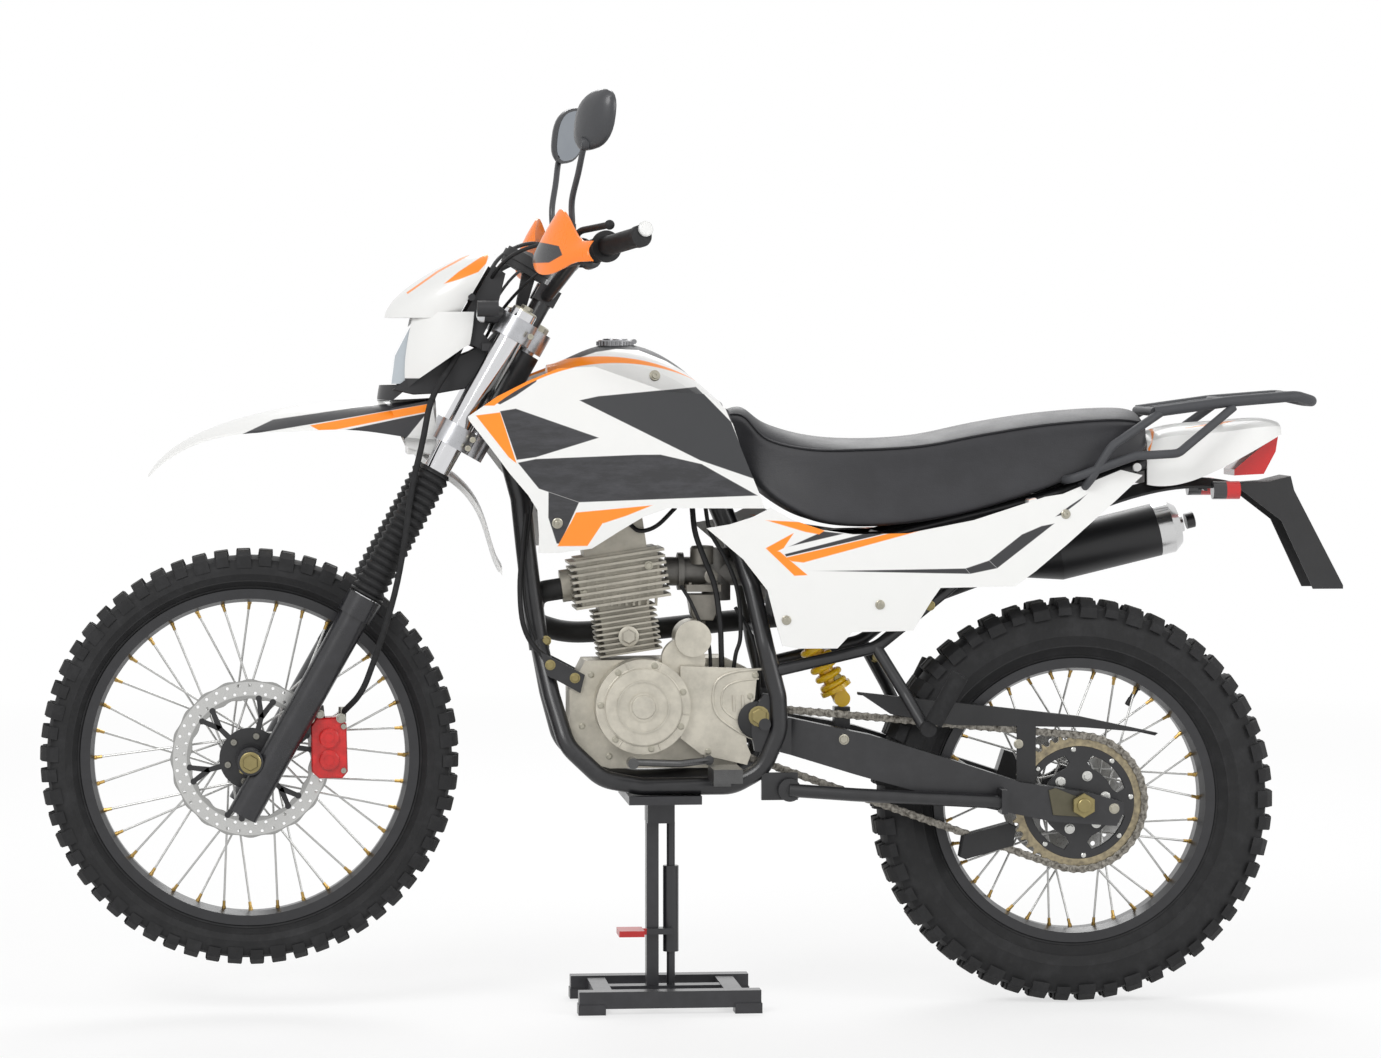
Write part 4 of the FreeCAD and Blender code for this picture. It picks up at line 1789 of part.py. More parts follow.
def foot_controls():
    """Footpegs, gear lever and brake pedal."""
    rail = near_pivot((-0.146, 0.9, -0.204))
    solids = []
    for side in (-1, 1):
        start = Vector(rail.x, side * (rail.y + D.cradle_radius + D.seat_gap), rail.z + D.cradle_radius)
        stem_box = Part.makeBox(D.peg_length * 0.3, D.peg_length * 0.32, D.peg_length * 0.34,
                                Vector(start.x - D.peg_length * 0.15, min(start.y, start.y + side * D.peg_length * 0.32), start.z - D.peg_length * 0.12))
        peg = Part.makeBox(D.peg_length * 0.5, D.peg_length, D.peg_length * 0.24,
                           Vector(start.x - D.peg_length * 0.25, min(start.y + side * D.peg_length * 0.3, start.y + side * D.peg_length * 1.3), start.z + D.peg_length * 0.02))
        solids.append(stem_box.fuse(peg))
    shaft_at = Vector(D.output_x - D.crankcase_length * 0.1, -(D.chain_plane + D.chain_width / 2 + D.plate_wall * 1.5 + D.seat_gap), D.output_z - D.crankcase_height * 0.29)
    shaft_end = Vector(shaft_at.x, -D.cover_y - D.plate_wall * 1.7, shaft_at.z)
    shaft_rod = Part.makeCylinder(D.rail_radius * 0.8, (shaft_end - shaft_at).Length, shaft_at, Vector(0, -1, 0))
    toe = shaft_end + Vector(-D.peg_length * 1.35, -D.peg_length * 0.2, 0)
    lever = pipe([shaft_end + Vector(0, D.rail_radius * 0.6, 0), shaft_end + Vector(-D.peg_length * 0.5, 0, -D.rail_radius * 0.5), toe], D.rail_radius * 0.6, D.peg_length * 0.2)
    toe_peg = Part.makeCylinder(D.rail_radius * 0.9, D.peg_length * 0.36, toe + Vector(0, D.rail_radius * 0.4, 0), Vector(0, -1, 0))
    solids.append(shaft_rod.fuse([lever, toe_peg]))
    hinge = near_pivot((-0.1, 0.9, -0.204)) + Vector(0, D.cradle_radius + D.seat_gap, -D.cradle_radius * 0.4)
    pad_at = hinge + Vector(-D.peg_length * 1.6, D.peg_length * 0.35, D.peg_length * 0.3)
    pedal = pipe([hinge + Vector(0, D.rail_radius * 0.7, 0), hinge + Vector(-D.peg_length * 0.3, D.peg_length * 0.3, 0),
                  pad_at], D.rail_radius * 0.7, D.peg_length * 0.2)
    pad = Part.makeBox(D.peg_length * 0.3, D.peg_length * 0.3, D.rail_radius, pad_at - Vector(D.peg_length * 0.15, D.peg_length * 0.15, D.rail_radius * 0.5))
    boss = Part.makeCylinder(D.rail_radius * 0.9, D.rail_radius * 1.4, hinge - Vector(0, D.cradle_radius, 0), Y_AXIS)
    boss = boss.cut(frame_room)
    boss = standing_off(boss, frame_room, Vector(0, D.seat_gap, 0))
    solids.append(pedal.fuse([pad, boss]))
    return solids


controls = foot_controls()
keep("foot_controls", solid("foot_control_set", Part.makeCompound(controls)))


def passenger_pegs():
    """Pegs folded up on the subframe's stays."""
    solids = []
    for side in (-1, 1):
        foot = near_pivot((0.52, side * 1.45, -0.01))
        up = Vector(D.peg_length * 0.45, side * D.peg_length * 0.1, D.peg_length * 0.85)
        start = foot + Vector(0, side * (D.rail_radius * 1.2), 0)
        knuckle = Part.makeCylinder(D.rail_radius * 1.3, D.rail_radius * 2, foot + Vector(D.rail_radius * 0.3, side * D.rail_radius * 0.2, 0), Vector(0, side, 0))
        peg = Part.makeCylinder(D.rail_radius * 1.5, D.peg_length * 0.95, foot + Vector(D.rail_radius * 1.2, side * D.rail_radius * 1.5, D.rail_radius), up)
        solids.append(knuckle.fuse(peg))
    return solids


pegs = passenger_pegs()
pegs = [largest(peg.cut(subframe_room)) for peg in pegs]
keep("passenger_footpegs", solid("passenger_peg_pair", Part.makeCompound(pegs)))

# side stand folded along the left side


def side_stand():
    pin = stand_pivot()
    y = -D.side_stand_y
    length = D.side_stand_length
    eye = Part.makeCylinder(D.rail_radius * 1.9, D.plate_wall * 0.8, Vector(pin.x, y - D.plate_wall * 0.4, pin.z), Y_AXIS)
    near = Vector(pin.x, y - D.rail_radius * 0.2, pin.z)
    knee = near + Vector(length * 0.3, -D.rail_radius * 1.5, -length * 0.02)
    tip = near + Vector(length, -D.rail_radius * 2.3, -length * 0.06)
    leg = pipe([near, knee, tip], D.rail_radius * 1.1, length * 0.2)
    foot = Part.makeBox(D.plate_wall, D.rail_radius * 4.5, D.rail_radius * 4, tip - Vector(D.plate_wall / 2, D.rail_radius * 2.2, D.rail_radius * 1.8))
    bolt = Part.makeCylinder(D.axle_radius / 2, D.plate_wall * 3, Vector(pin.x, y + D.plate_wall * 2.4, pin.z), Vector(0, -1, 0))
    return leg.fuse([eye, foot, bolt])


keep("side_stand", solid("side_stand_leg", side_stand()))

# hydraulic lift stand under the frame's rails

lift = []
bar_z = "foot_height + stand_bar / 2"
for tag, sign in (("_l", "-"), ("_r", "")):
    y = sign + "stand_spacing / 2"
    lift.append(block("stand_rail" + tag, ("stand_length", "stand_bar_width", "stand_bar"), ("stand_x + clamp_offset * 0.2", y, bar_z)))
    for end, shift in (("_front", "-"), ("_back", "+")):
        lift.append(block("stand_foot" + tag + end, ("stand_bar_width * 1.5", "stand_bar_width * 1.2", "foot_height + stand_bar / 4"),
                          ("stand_x + clamp_offset * 0.2 %s (stand_length / 2 - stand_bar_width * 0.7)" % shift, y,
                           "(foot_height + stand_bar / 4) / 2")))
for tag, share in (("_front", "-0.36"), ("_back", "0.36")):
    lift.append(block("stand_cross" + tag, ("stand_bar_width", "stand_spacing", "stand_bar * 0.8"),
                      ("stand_x + clamp_offset * 0.2 + stand_length * (%s)" % share, "0", bar_z)))
lift.append(block("stand_spine", ("stand_length * 0.72", "stand_bar_width", "stand_bar * 0.7"),
                  ("stand_x + clamp_offset * 0.2", "0", bar_z)))
keep("lift_base", fused("lift_base_weldment", lift))

table_top = "(pivot_z - frame_reach * 0.204 - cradle_radius - seat_gap)"
deck = "(plate_wall * 1.4)"
spine_top = "(foot_height + stand_bar * 0.85 + seat_gap)"
joint_low = "(%s - %s - stand_bar * 1.38)" % (table_top, deck)
column = [
    block("lift_deck", ("stand_bar_width * 4", "stand_spacing * 1.1", deck), ("stand_x", "0", "%s - %s / 2" % (table_top, deck))),
    block("lift_joint", ("stand_bar_width * 1.5", "stand_bar_width * 2", "stand_bar * 1.4"),
          ("stand_x", "0", "%s - %s - stand_bar * 0.68" % (table_top, deck))),
    block("lift_arm_front", ("plate_wall * 2", "stand_bar_width", "%s - %s - %s" % (table_top, deck, spine_top)),
          ("stand_x - plate_wall * 1.3", "0", "(%s - %s + %s) / 2" % (table_top, deck, spine_top))),
]
keep("lift_column", fused("lift_column_weldment", column))
cylinder_x = "stand_x + plate_wall * 0.95"
ram = [
    rod("lift_barrel", "cradle_radius * 0.9", "stand_top * 0.4", (cylinder_x + " + plate_wall * 0.9", "0", "stand_top * 0.45"), "z"),
    rod("lift_rod", "axle_radius * 0.7", "%s - seat_gap - %s" % (joint_low, spine_top),
        (cylinder_x + " + plate_wall * 0.9", "0", "(%s - seat_gap + %s) / 2" % (joint_low, spine_top)), "z"),
    block("lift_pedal", ("stand_bar_width * 1.4", "stand_bar_width * 2", "plate_wall"), ("stand_x - stand_bar_width * 1.7", "-stand_bar_width * 0.9", "stand_top * 0.35")),
    block("lift_pedal_arm", ("stand_bar_width * 2", "plate_wall", "plate_wall"), ("stand_x - stand_bar_width * 0.8", "-stand_bar_width * 0.7", "stand_top * 0.35")),
    block("lift_pedal_tie", ("plate_wall * 2", "stand_bar_width * 0.9", "plate_wall"), ("stand_x + plate_wall * 0.9", "-stand_bar_width * 0.42", "stand_top * 0.35")),
]
keep("lift_cylinder", bored("lift_cylinder_set", fused("lift_cylinder_solid", ram), [
    block("lift_arm_room", ("plate_wall * 2 + seat_gap * 2", "stand_bar_width + seat_gap * 2", "stand_top"),
          ("stand_x - plate_wall * 1.3", "0", "stand_top / 2"))]))

doc.recompute()
broken = [thing.Name for thing in doc.Objects if "Invalid" in thing.State or "Error" in thing.State]
for thing in pieces:
    if thing.Shape.isNull() or not thing.Shape.isValid() or not thing.Shape.Solids:
        broken.append(thing.Label)
if broken:
    raise RuntimeError("failed: " + ", ".join(broken))
os.makedirs("parts", exist_ok=True)
for thing in pieces:
    thing.Shape.exportStep("parts/%s.step" % thing.Label)
print(len(pieces), "sub-parts")
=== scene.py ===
"""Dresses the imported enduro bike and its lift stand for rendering."""

import math

import bmesh
import bpy
from bpy.props import FloatProperty, FloatVectorProperty, PointerProperty
from mathutils import Matrix, Vector


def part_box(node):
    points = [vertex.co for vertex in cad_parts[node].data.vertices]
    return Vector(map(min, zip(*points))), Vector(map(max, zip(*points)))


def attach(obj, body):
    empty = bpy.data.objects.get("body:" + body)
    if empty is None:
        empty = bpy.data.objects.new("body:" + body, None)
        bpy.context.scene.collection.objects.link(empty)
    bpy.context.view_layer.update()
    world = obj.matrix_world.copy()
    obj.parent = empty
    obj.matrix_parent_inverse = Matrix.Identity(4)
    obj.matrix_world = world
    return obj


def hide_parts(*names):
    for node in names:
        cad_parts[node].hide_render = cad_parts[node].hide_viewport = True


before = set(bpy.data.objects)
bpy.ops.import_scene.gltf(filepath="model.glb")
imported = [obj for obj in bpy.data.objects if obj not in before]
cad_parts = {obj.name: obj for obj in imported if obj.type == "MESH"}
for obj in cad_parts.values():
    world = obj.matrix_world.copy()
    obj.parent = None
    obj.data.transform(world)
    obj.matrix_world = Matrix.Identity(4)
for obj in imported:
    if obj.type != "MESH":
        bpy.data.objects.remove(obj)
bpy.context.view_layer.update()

bl_info = {
    "name": "Enduro Bike Dressing",
    "version": (1, 0, 0),
    "blender": (4, 5, 0),
    "location": "View3D > Sidebar > Enduro",
    "description": "Finishes, tread, chain, upholstery and studio for the enduro bike",
    "category": "Object",
}

MM = 0.001


def linear(red, green, blue):
    """Turn 0-255 display values into the linear colour that shaders take."""
    def channel(value):
        value /= 255
        return value / 12.92 if value <= 0.04045 else ((value + 0.055) / 1.055) ** 2.4
    return (channel(red), channel(green), channel(blue))


def colour_property(name, description, red, green, blue):
    return FloatVectorProperty(name=name, description=description, subtype="COLOR", size=3, min=0, max=1,
                               default=linear(red, green, blue))


def length_property(name, description, metres, low=0.0):
    return FloatProperty(name=name, description=description, unit="LENGTH", min=low, default=metres)


class Wire:
    """A socket that can be added, multiplied and compared like a number."""

    def __init__(self, surface, socket):
        self.surface = surface
        self.socket = socket

    def sum_with(self, operation, first, second):
        return self.surface.node("Math", {"operation": operation}, {0: first, 1: second})

    def __add__(self, other):
        return self.sum_with("ADD", self, other)

    __radd__ = __add__

    def __sub__(self, other):
        return self.sum_with("SUBTRACT", self, other)

    def __rsub__(self, other):
        return self.sum_with("SUBTRACT", other, self)

    def __mul__(self, other):
        return self.sum_with("MULTIPLY", self, other)

    __rmul__ = __mul__

    def __and__(self, other):
        return self.sum_with("MINIMUM", self, other)

    def __or__(self, other):
        return self.sum_with("MAXIMUM", self, other)


class Surface:
    """A material under construction, with the places on the bike at hand as x, y and z in metres."""

    def __init__(self, name):
        self.material = bpy.data.materials.new(name)
        self.material.use_nodes = True
        self.tree = self.material.node_tree
        self.shader = self.tree.nodes["Principled BSDF"]
        self.place = self.node("TexCoord", output="Object")
        self.x = self.part(self.place, "X")
        self.y = self.part(self.place, "Y")
        self.z = self.part(self.place, "Z")

    def node(self, kind, settings=None, values=None, output=0):
        """Add a node: its settings first, then its sockets' values or links."""
        made = self.tree.nodes.new("ShaderNode" + kind)
        for key, value in (settings or {}).items():
            if key == "stops":
                ramp = made.color_ramp
                for stop, (position, shade) in enumerate(value):
                    spot = ramp.elements[stop] if stop < len(ramp.elements) else ramp.elements.new(position)
                    spot.position = position
                    spot.color = (shade, shade, shade, 1) if isinstance(shade, (int, float)) else (*shade,
                                                                                                   1)
            else:
                setattr(made, key, value)
        for key, value in (values or {}).items():
            if isinstance(value, Wire):
                self.tree.links.new(value.socket, made.inputs[key])
            else:
                made.inputs[key].default_value = value
        return Wire(self, made.outputs[output])

    def part(self, vector, axis):
        return self.node("SeparateXYZ", values={"Vector": vector}, output=axis)

    def stretched(self, sides):
        """Places scaled differently along the three axes."""
        return self.node("VectorMath", {"operation": "MULTIPLY"}, {0: self.place, 1: sides})

    def noise(self, size, detail=4.0, rough=0.55, place=None):
        """Soft random values whose marks are about the given size in metres."""
        return self.node("TexNoise",
                         values={"Vector": place or self.place, "Scale": 1 / size, "Detail": detail,
                                             "Roughness": rough})

    def cells(self, size, feature="F1", output="Distance"):
        return self.node("TexVoronoi", {"feature": feature}, {"Vector": self.place, "Scale": 1 / size},
                         output)

    def ramp(self, value, *stops):
        return self.node("ValToRGB", {"stops": stops}, {"Fac": value})

    def spread(self, value, low, high, out_low=0.0, out_high=1.0):
        return self.node("MapRange", values={"Value": value, "From Min": low, "From Max": high,
                                             "To Min": out_low, "To Max": out_high})

    def mixed(self, amount, first, second):
        """Blend two colours."""
        values = {0: amount}
        for socket, value in ((6, first), (7, second)):
            values[socket] = value if isinstance(value, Wire) else (*value, 1)
        return self.node("Mix", {"data_type": "RGBA"}, values, 2)

    def side_of(self, first, second, soft=0.0006):
        """1 to the left of the line from first to second, seen from the bike's left; (x, z) in mm."""
        run = Vector((second[0] - first[0], second[1] - first[1])).normalized()
        level = self.node("VectorMath", {"operation": "DOT_PRODUCT"},
                          {0: self.place, 1: (-run.y, 0, run.x)}, "Value")
        start = (-run.y * first[0] + run.x * first[1]) * MM
        return self.spread(level, start - soft, start + soft)

    def patch(self, *corners):
        """1 inside a convex outline of (x, z) corners in mm, given anticlockwise in the side view."""
        area = sum(a[0] * b[1] - b[0] * a[1] for a, b in zip(corners, corners[1:] + corners[:1]))
        if area < 0:
            corners = corners[::-1]
        mask = None
        for first, second in zip(corners, corners[1:] + corners[:1]):
            inside = self.side_of(first, second)
            mask = inside if mask is None else mask & inside
        return mask

    def strip(self, width, *spots):
        """1 along a line through (x, z) spots in mm."""
        mask = None
        for first, second in zip(spots, spots[1:]):
            run = Vector((second[0] - first[0], second[1] - first[1]))
            across = Vector((-run.y, run.x)).normalized() * (width / 2)
            a = Vector(first)
            b = Vector(second)
            piece = self.patch(tuple(a - across), tuple(b - across), tuple(b + across), tuple(a + across))
            mask = piece if mask is None else mask | piece
        return mask

    def wear(self, amount=0.08):
        """Uneven dulling, in patches of a few centimetres with fine rubbing in them."""
        broad = self.noise(0.05, 5)
        fine = self.noise(0.004, 3, place=self.stretched((1, 1, 0.25)))
        return (broad - 0.5) * amount * 2 + (fine - 0.5) * amount

    def grain(self, size, depth, strength=1.0, place=None):
        """A bump of fine random grain."""
        return self.bump(self.noise(size, 2, place=place), depth, strength)

    def bump(self, height, depth, strength=1.0):
        return self.node("Bump", values={"Height": height, "Distance": depth, "Strength": strength})

    def finish(self, colour, rough, metal=0.0, normal=None, coat=0.0, coat_rough=0.1, specular=None):
        """Connect what varies and set what doesn't."""
        wanted = {"Base Color": colour, "Roughness": rough, "Metallic": metal, "Coat Weight": coat}
        for key, value in wanted.items():
            socket = self.shader.inputs[key]
            if isinstance(value, Wire):
                self.tree.links.new(value.socket, socket)
            elif key == "Base Color":
                socket.default_value = (*value, 1)
            else:
                socket.default_value = value
        self.shader.inputs["Coat Roughness"].default_value = coat_rough
        if specular is not None:
            self.shader.inputs["Specular IOR Level"].default_value = specular
        if normal is not None:
            self.tree.links.new(normal.socket, self.shader.inputs["Normal"])
        return self.material


def dress(node, material):
    """Give a CAD node its material."""
    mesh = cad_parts[node].data
    mesh.materials.clear()
    mesh.materials.append(material)


def grown(colour, factor):
    return tuple(min(1.0, channel * factor) for channel in colour)


class EnduroColours(bpy.types.PropertyGroup):
    white: colour_property("White plastic", "Moulded bodywork", 232, 232, 230)
    orange: colour_property("Orange stripe", "Stripes along the bodywork", 252, 140, 22)
    charcoal: colour_property("Charcoal", "Dark panels and stripes", 40, 40, 43)
    black: colour_property("Black", "Frame, rims and fork legs", 27, 27, 29)
    guard: colour_property("Guard orange", "Handguard shields", 253, 130, 26)
    cast: colour_property("Cast alloy", "Engine castings", 196, 191, 178)
    rubber: colour_property("Rubber", "Tyres, grips and gaiters", 30, 30, 31)
    vinyl: colour_property("Seat vinyl", "Seat cover", 36, 36, 39)
    zinc: colour_property("Zinc", "Olive zinc-plated hardware", 150, 138, 96)
    brass: colour_property("Brass", "Spoke nipples", 178, 146, 84)
    red: colour_property("Caliper red", "Front brake caliper and stand pedal", 176, 26, 26)
    lens_red: colour_property("Rear lens", "Tail light", 190, 14, 14)
    spring: colour_property("Spring yellow", "Rear shock's coil", 235, 190, 20)
    floor: colour_property("Floor", "Studio floor and backdrop", 246, 246, 246)


class EnduroSizes(bpy.types.PropertyGroup):
    knob_height: length_property("Tread height", "How far a block stands off the casing", 0.012)
    nipple_length: length_property("Nipple length", "Spoke nipple outside the rim's well", 0.013)
    chain_pitch: length_property("Chain pitch", "Pin-to-pin length of the 520 chain", 0.015875)
    seat_crown: length_property("Seat crown", "Rise of the seat's middle over its edges", 0.012)
    piping: length_property("Seat piping", "Diameter of the seam's piping", 0.004)


def colours():
    return bpy.context.scene.enduro_colours


def sizes():
    return bpy.context.scene.enduro_sizes


def moulded(surface, colour, rough=0.34, depth=0.00004):
    """Glossy bodywork plastic with faint orange peel and rubbed patches."""
    return surface.finish(colour, surface.wear(0.09) + rough, coat=0.25, coat_rough=0.12,
                          normal=surface.grain(0.0035, depth, 0.5))


def textured(surface, colour, rough=0.62, size=0.0011, depth=0.00012):
    """Leathery moulded black plastic."""
    speck = surface.noise(size, 3)
    tone = surface.mixed(surface.noise(0.03, 4), colour, grown(colour, 1.35))
    return surface.finish(tone, surface.wear(0.1) + rough, normal=surface.bump(speck, depth, 0.7))


def enamelled(surface, colour, rough=0.36):
    """Satin powder coat with a fine ripple, and thinner, lighter spots at random."""
    ripple = surface.noise(0.0018, 3)
    tone = surface.mixed(surface.spread(surface.noise(0.02, 6), 0.4, 0.75), colour, grown(colour, 1.5))
    return surface.finish(tone, surface.wear(0.12) + rough, coat=0.2, coat_rough=0.2,
                          normal=surface.bump(ripple, 0.00005, 0.6))


def cast_alloy(surface, colour, rough=0.5, metal=0.65):
    """Sand-cast alloy: fine pits, and darker grime in broad stains."""
    pits = surface.noise(0.0013, 4, 0.7)
    stain = surface.spread(surface.noise(0.035, 7, 0.65), 0.35, 0.72)
    tone = surface.mixed(stain, colour, grown(colour, 0.72))
    return surface.finish(tone, surface.wear(0.14) + rough, metal, surface.bump(pits, 0.00016, 0.8))


def machined(surface, colour, rough=0.3, metal=0.95, along=(1, 1, 1)):
    """Turned or brushed metal with fine scratches."""
    marks = surface.noise(0.0009, 3, place=surface.stretched(along))
    tone = surface.mixed(surface.spread(surface.noise(0.015, 5), 0.3, 0.8), colour, grown(colour, 0.82))
    return surface.finish(tone, (marks - 0.5) * 0.22 + rough, metal, surface.bump(marks, 0.00003, 0.5))


def rubbery(surface, colour, rough=0.78, depth=0.00012):
    """Moulded rubber, a little chalky in random patches."""
    chalk = surface.spread(surface.noise(0.012, 6, 0.6), 0.45, 0.8)
    tone = surface.mixed(chalk, colour, grown(colour, 1.8))
    return surface.finish(tone, surface.wear(0.08) + rough, normal=surface.grain(0.0015, depth, 0.6),
                          specular=0.35)


def plain_paints(shades):
    """Finishes that cover a whole node."""
    black = tuple(shades.black)
    cast = tuple(shades.cast)
    steel = linear(150, 150, 148)
    table = {
        "frame enamel": (enamelled, black, ("main_frame", "subframe", "side_stand")),
        "stand enamel": (enamelled, linear(34, 34, 37), ("lift_base", "lift_column")),
        "pipe enamel": (textured, linear(24, 24, 24), ("exhaust_pipe",)),
        "crankcase casting": (cast_alloy, cast, ("crankcase",)),
        "head casting": (cast_alloy, grown(cast, 0.86), ("cylinder_head",)),
        "carburettor casting": (cast_alloy, linear(118, 116, 112), ("carburettor",)),
        "rack enamel": (textured, linear(56, 57, 60), ("luggage_rack",)),
        "mudguard plastic": (textured, linear(30, 30, 31),
                             ("rear_mudguard", "air_box", "chain_guard", "gauge")),
        "cap plastic": (textured, linear(26, 26, 27), ("fuel_cap",)),
        "clamp alloy": (machined, linear(188, 189, 192), ("triple_clamps",)),
        "gaiter rubber": (rubbery, tuple(shades.rubber),
                          ("fork_gaiters", "passenger_footpegs", "brake_hose")),
        "rim anodising": (enamelled, linear(24, 24, 27),
                          ("front_rim", "rear_rim", "front_hub", "rear_hub")),
        "bar enamel": (enamelled, linear(30, 30, 32), ("handlebar",)),
        "spoke steel": (machined, linear(196, 196, 194), ("front_spokes", "rear_spokes")),
        "axle steel": (machined, steel, ("front_axle", "output_sprocket")),
        "rear brake enamel": (enamelled, linear(34, 34, 36), ("rear_caliper",)),
        "control steel": (machined, linear(96, 96, 96), ("foot_controls",)),
    }
    for name, (make, colour, nodes) in table.items():
        material = make(Surface(name), colour)
        for node in nodes:
            dress(node, material)


def ring_distance(surface, centre):
    """Distance from a wheel's axle line, in metres, seen from the side."""
    moved = surface.node("VectorMath", {"operation": "SUBTRACT"},
                         {0: surface.place, 1: (centre[0], 0, centre[1])})
    flat = surface.node("VectorMath", {"operation": "MULTIPLY"}, {0: moved, 1: (1, 0, 1)})
    return surface.node("VectorMath", {"operation": "LENGTH"}, {0: flat}, "Value")


EYE = (-0.7575, -7.7577, 1.1096)


def brought(points, out):
    """Places in mm on the centre plane of the main view, moved to a surface that stands out from it."""
    share = 1 + out * MM / EYE[1]
    ahead, high = EYE[0] / MM, EYE[2] / MM
    return [(ahead + (x - ahead) * share, high + (z - high) * share) for x, z in points]


def shapes(surface, out, *outlines):
    """1 inside any of several convex outlines, given on the centre plane."""
    mask = None
    for outline in outlines:
        inside = surface.patch(*brought(outline, out))
        mask = inside if mask is None else mask | inside
    return mask


def arch(surface, out, points):
    """1 below a circle through three places on the centre plane."""
    (ax, az), (bx, bz), (cx, cz) = brought(points, out)
    double = 2 * (ax * (bz - cz) + bx * (cz - az) + cx * (az - bz))
    first, second, third = ax ** 2 + az ** 2, bx ** 2 + bz ** 2, cx ** 2 + cz ** 2
    x = (first * (bz - cz) + second * (cz - az) + third * (az - bz)) / double
    z = (first * (cx - bx) + second * (ax - cx) + third * (bx - ax)) / double
    radius = math.hypot(ax - x, az - z) * MM
    return surface.spread(ring_distance(surface, (x * MM, z * MM)), radius + 0.0005, radius - 0.0005)


def tank_graphics(name, out, shades):
    """White plastic with the orange arc, the dark panels and the knee grip, for shroud and tank alike."""
    white, orange, charcoal = tuple(shades.white), tuple(shades.orange), tuple(shades.charcoal)
    side = Surface(name)
    dark = shapes(side, out, ((-328, 989), (-302, 993), (-128, 932), (-269, 913), (-299, 904)),
                  ((-299, 904), (-269, 910), (-98, 916), (-60, 916), (9, 900), (104, 847), (-197, 838),
                   (-264, 861)),
                  ((-264, 861), (-197, 838), (-228, 769), (-248, 771), (-248, 813)),
                  ((-328, 1000), (-302, 1014), (-268, 1037), (-264, 1046), (-335, 1003)))
    knee = shapes(side, out,
                  ((-207, 1004), (-164, 1013), (2, 1028), (59, 970), (104, 858), (7, 906), (-98, 942),
                   (-155, 975)),
                  ((2, 1028), (16, 1040), (54, 1004), (120, 960), (110, 850), (59, 970)))
    above = arch(side, out, ((-373, 1002), (-193, 1077), (-5, 1043)))
    below = arch(side, out, ((-335, 1000), (-190, 1063), (-5, 1042)))
    arc = above & (1 - below) & side.side_of((-5, 900), (-5, 1100)) & side.side_of((-500, 1000),
                                                                                   (300, 1000))
    wedge = shapes(side, out, ((-368, 982), (-328, 987), (-301, 903), (-314, 913)))
    low = shapes(side, out, ((-202, 821), (-74, 832), (-117, 815), (-155, 803), (-212, 801)),
                 ((-212, 802), (-155, 806), (-182, 765), (-232, 765)))
    crest = shapes(side, out,
                   ((-202, 1073), (-164, 1086), (-131, 1091), (-93, 1089), (-45, 1070), (16, 1036),
                    (5, 1026), (-202, 1023)))
    top = (1 - above) & (1 - crest)
    marks = side.spread(side.noise(0.03, 6, 0.7, side.stretched((0.5, 1, 2))), 0.42, 0.72)
    printed = side.mixed(marks, grown(charcoal, 0.9), grown(charcoal, 2.2))
    tone = side.mixed(dark, white, printed)
    tone = side.mixed(arc | wedge | low, tone, orange)
    tone = side.mixed(knee | top, tone, linear(50, 51, 53))
    rough = side.spread(knee | top, 0, 1, 0.34, 0.55)
    relief = side.noise(0.0011, 3)
    return side.finish(tone, side.wear(0.08) + rough, coat=(1 - (knee | top)) * 0.3, coat_rough=0.12,
                       normal=side.bump(relief * (knee | top), 0.0001, 0.6))


